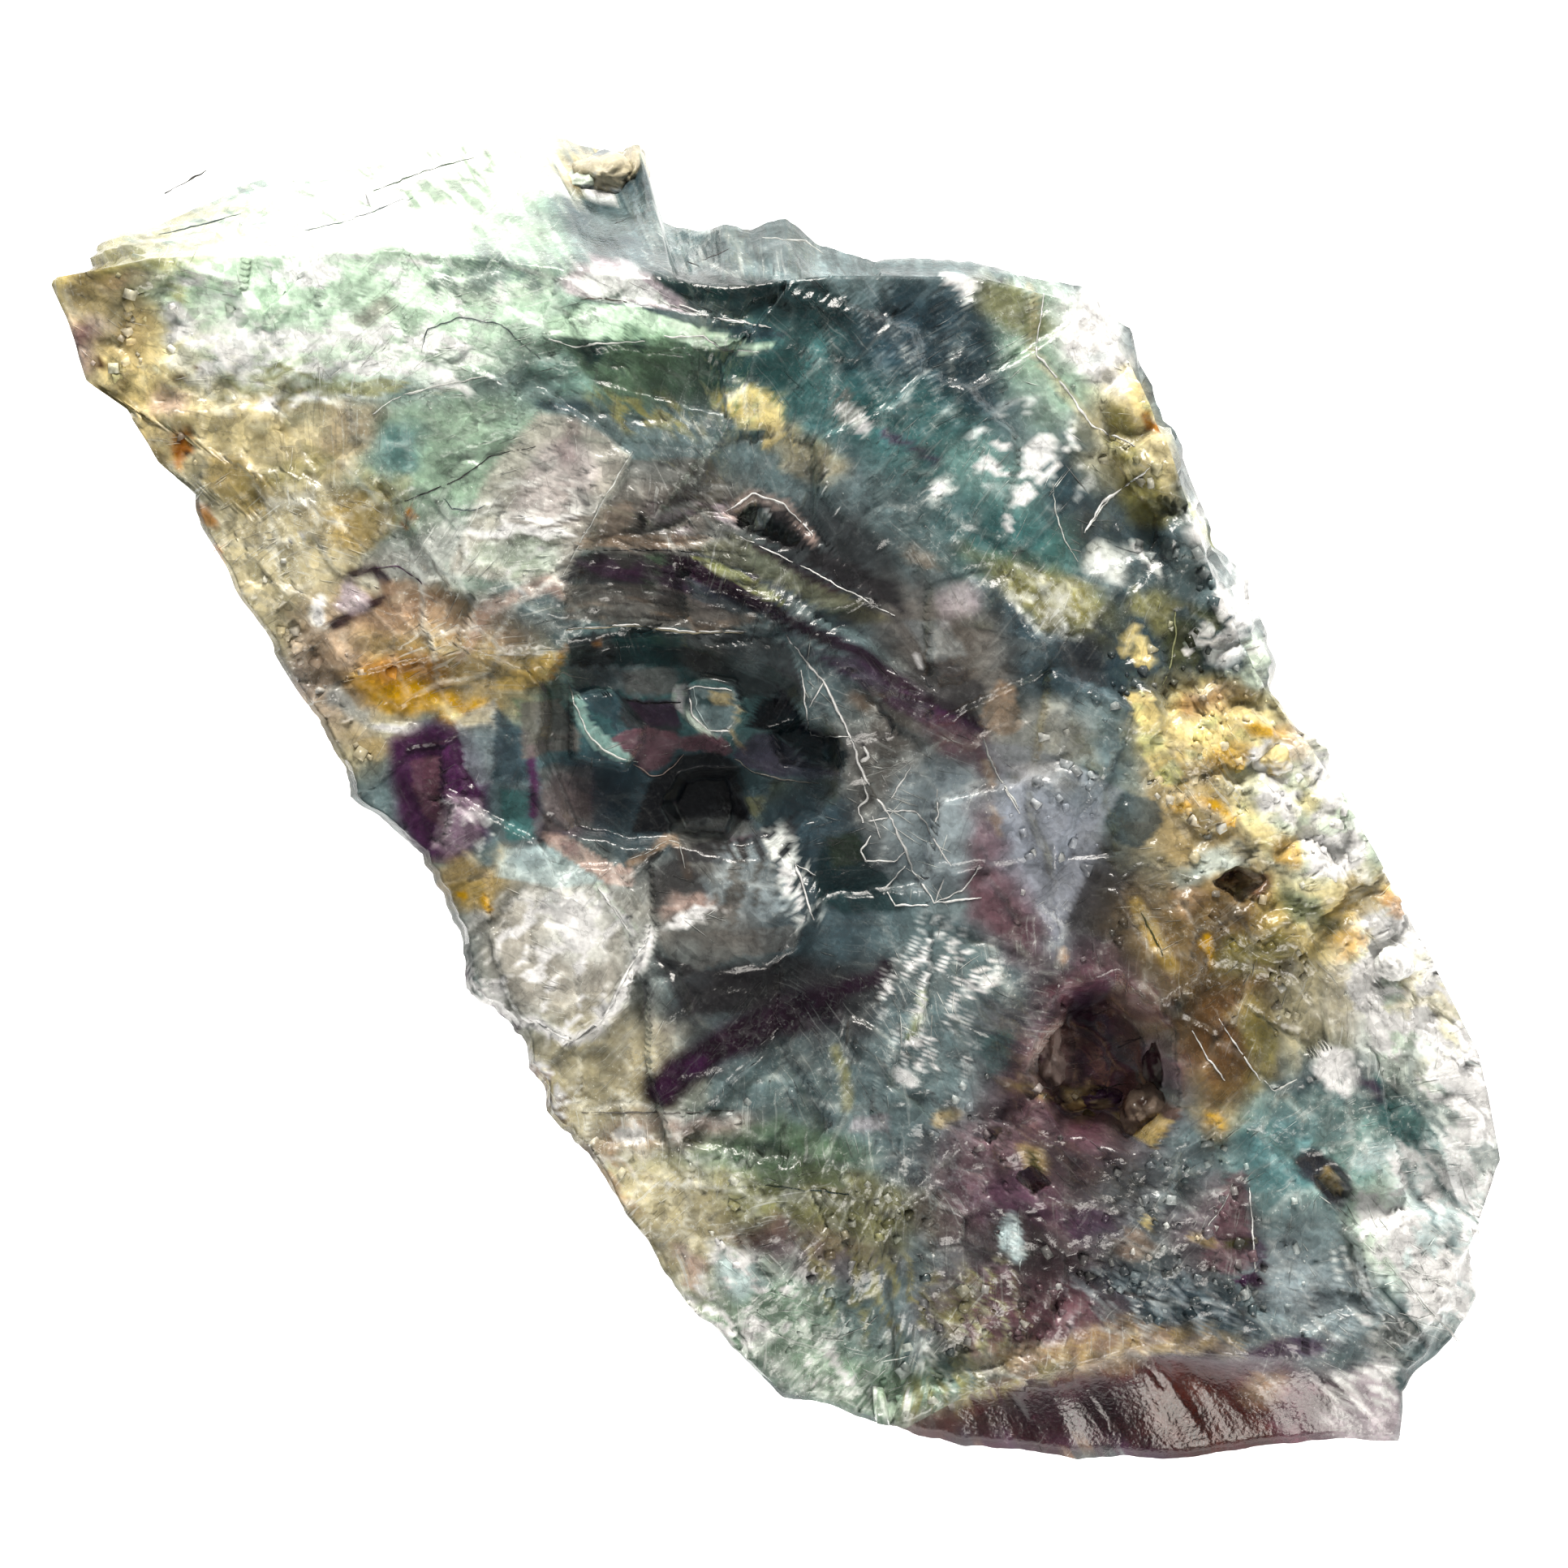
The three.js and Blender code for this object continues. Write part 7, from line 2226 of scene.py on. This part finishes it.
@dataclass(frozen=True)
class Nodules:
    """The stone's rounded lumps, joined."""

    name: str = NODE + "_nodules"
    rows: int = 26
    around: int = 40

    def build(self) -> bpy.types.Object:
        """Make all the lumps as one mesh."""
        grid = np.arange(self.rows * self.around).reshape(self.rows, self.around)
        sides = np.concatenate([strip_quads(upper, lower) for lower, upper in zip(grid, grid[1:])])
        foot, top = self.rows * self.around, self.rows * self.around + 1
        low = np.stack([np.full(self.around, foot), np.roll(grid[0], -1), grid[0]], axis=-1)
        high = np.stack([np.full(self.around, top), grid[-1], np.roll(grid[-1], -1)], axis=-1)
        points = [nodule.corners(self.rows, self.around) for nodule in NODULES]
        starts = np.arange(len(NODULES))[:, None, None] * (top + 1)
        colour = []
        for nodule, rows in zip(NODULES, points):
            noise = rough(rows[:, 0] + rows[:, 2], rows[:, 1], SPOT_WIDTH, 771)
            spot = smoothstep(*SPOT_EDGE, noise)[:, None]
            plain, spots = np.array(nodule.tint.linear()), np.array(nodule.spots.linear())
            colour.append(plain * (1 - spot) + spots * spot)
        ends = np.concatenate([low, high])
        faces = [(sides[None] + starts).reshape(-1, 4), (ends[None] + starts).reshape(-1, 3)]
        return dress(self.name, np.concatenate(points), faces, np.concatenate(colour), CRUST)


def crust_density(u: Array, v: Array) -> Array:
    """Share of crust grains: the crumbly areas, in clumps."""
    return texture_cover(Texture.CRUMBLY, u, v) * smoothstep(*CRUST_EDGE, rough(u, v, CRUST_WIDTH, 741))


def web_density(u: Array, v: Array) -> Array:
    """Share of bright cracks: along the web, and in the splintered places below it."""
    return np.max([area.cover(u, v) for area in WEB_AREAS], axis=0)


def snow_density(u: Array, v: Array) -> Array:
    """Share of snow-white crumbs: clumps where the stone is silky and light."""
    light = lightness(stone_colour(u, v))
    return silkiness(u, v) * light * smoothstep(*SNOW_EDGE, rough(u, v, SNOW_WIDTH, 751))


# ---- The room --------------------------------------------------------------------------------

PURE_WHITE = (1.0, 1.0, 1.0)

@dataclass
class Room:
    """Pale floor, soft light and the camera: the frame in millimetres, the rest in metres.

    A light is its place and its power.
    """

    frame_width: float = 64.4
    camera_height: float = 300.0
    focus_level: float = 12.0
    floor_size: float = 3.0
    floor_gap: float = 0.0002
    floor_shade: float = 0.85
    floor_roughness: float = 0.7
    floor_glow: float = 1.0
    sky_strength: float = 0.22
    light_size: float = 0.25
    light_colour: Colour = (1.0, 0.95, 0.885)
    key: tuple[Triple, float] = ((-0.38, 0.42, 0.28), 8.7)
    fill: tuple[Triple, float] = ((0.45, -0.20, 0.25), 3.1)
    sensor: float = 36.0
    clip_start: float = 0.01

    def build(self) -> None:
        """Make the floor, the lights, the world and the camera."""
        self._floor()
        self._world()
        self._light("key", *self.key)
        self._light("fill", *self.fill)
        self._camera()

    def _floor(self) -> None:
        """A plain pale floor that glows a little, as a light table does."""
        half = self.floor_size / 2
        corners = [(-half, -half), (half, -half), (half, half), (-half, half)]
        points = np.array([(x, y, -self.floor_gap) for x, y in corners])
        floor = add_mesh("floor", points, [np.array([[0, 1, 2, 3]])])
        material = bpy.data.materials.new("pale_floor")
        wiring = Wiring(material)
        surface = wiring.add(
            "ShaderNodeBsdfPrincipled",
            {},
            {
                "Base Color": opaque((self.floor_shade,) * 3),
                "Roughness": self.floor_roughness,
                "Emission Color": opaque(PURE_WHITE),
                "Emission Strength": self.floor_glow,
            },
        )
        wiring.add("ShaderNodeOutputMaterial", {}, {"Surface": surface})
        floor.data.materials.append(material)

    def _world(self) -> None:
        """An even, bright sky."""
        world = bpy.data.worlds.new("studio")
        bpy.context.scene.world = world
        world.use_nodes = True
        background = world.node_tree.nodes["Background"]
        background.inputs["Color"].default_value = opaque(PURE_WHITE)
        background.inputs["Strength"].default_value = self.sky_strength

    def _light(self, name: str, place: Triple, power: float) -> None:
        """A soft square light that faces the stone."""
        data = bpy.data.lights.new(name, "AREA")
        data.size = self.light_size
        data.energy = power
        data.color = self.light_colour
        light = bpy.data.objects.new(name, data)
        light.location = place
        toward = -light.location.normalized()
        light.rotation_euler = toward.to_track_quat("-Z", "Y").to_euler()
        bpy.context.scene.collection.objects.link(light)

    def _camera(self) -> None:
        """Look straight down on the face, with the face frame's v up in the picture."""
        data = bpy.data.cameras.new("camera")
        data.sensor_width = self.sensor
        data.lens = self.sensor * (self.camera_height - self.focus_level) / self.frame_width
        data.clip_start = self.clip_start
        camera = bpy.data.objects.new("camera", data)
        camera.location = to_row_frame(np.array([[0.0, 0.0, self.camera_height]]))[0]
        camera.rotation_euler = (0.0, 0.0, FACE_TURN)
        bpy.context.scene.collection.objects.link(camera)
        bpy.context.scene.camera = camera


def build_stone() -> None:
    """Build the stone's body and everything that grows on it."""
    FluoriteChunk().build()
    Veins().build()
    Hairs(
        name=NODE + "_hairs", tries=4500, density=silkiness, length=(0.4, 1.3), radius=(0.012, 0.032),
        whiteness=(0.05, 0.5), spread=0.14, seed=91,
    ).build()
    Hairs(
        name=NODE + "_web", tries=5000, density=web_density, length=(0.5, 1.8), radius=(0.014, 0.04),
        whiteness=(0.5, 1.0), spread=0.6, seed=93,
    ).build()
    Nodules().build()
    Crumbs(
        name=NODE + "_crust", grain=CUBE, tries=8000, density=crust_density, size=(0.15, 0.5),
        whiteness=(0.0, 0.7), seed=95,
    ).build()
    Crumbs(
        name=NODE + "_snow", grain=OCTAHEDRON, tries=6000, density=snow_density, size=(0.06, 0.18),
        whiteness=(0.2, 0.7), seed=97, sunk=0.0,
    ).build()


def limit_bounces() -> None:
    """Keep light paths inside the crystal short."""
    cycles = bpy.context.scene.cycles
    cycles.max_bounces = 6
    cycles.transmission_bounces = 5
    cycles.diffuse_bounces = 2
    cycles.glossy_bounces = 2


def main() -> None:
    """Build the stone and the room."""
    logging.basicConfig(level=logging.INFO, format="%(name)s: %(message)s")
    build_stone()
    Room().build()
    limit_bounces()
    bpy.context.scene.view_settings.view_transform = "Standard"


if __name__ == "__main__":
    main()
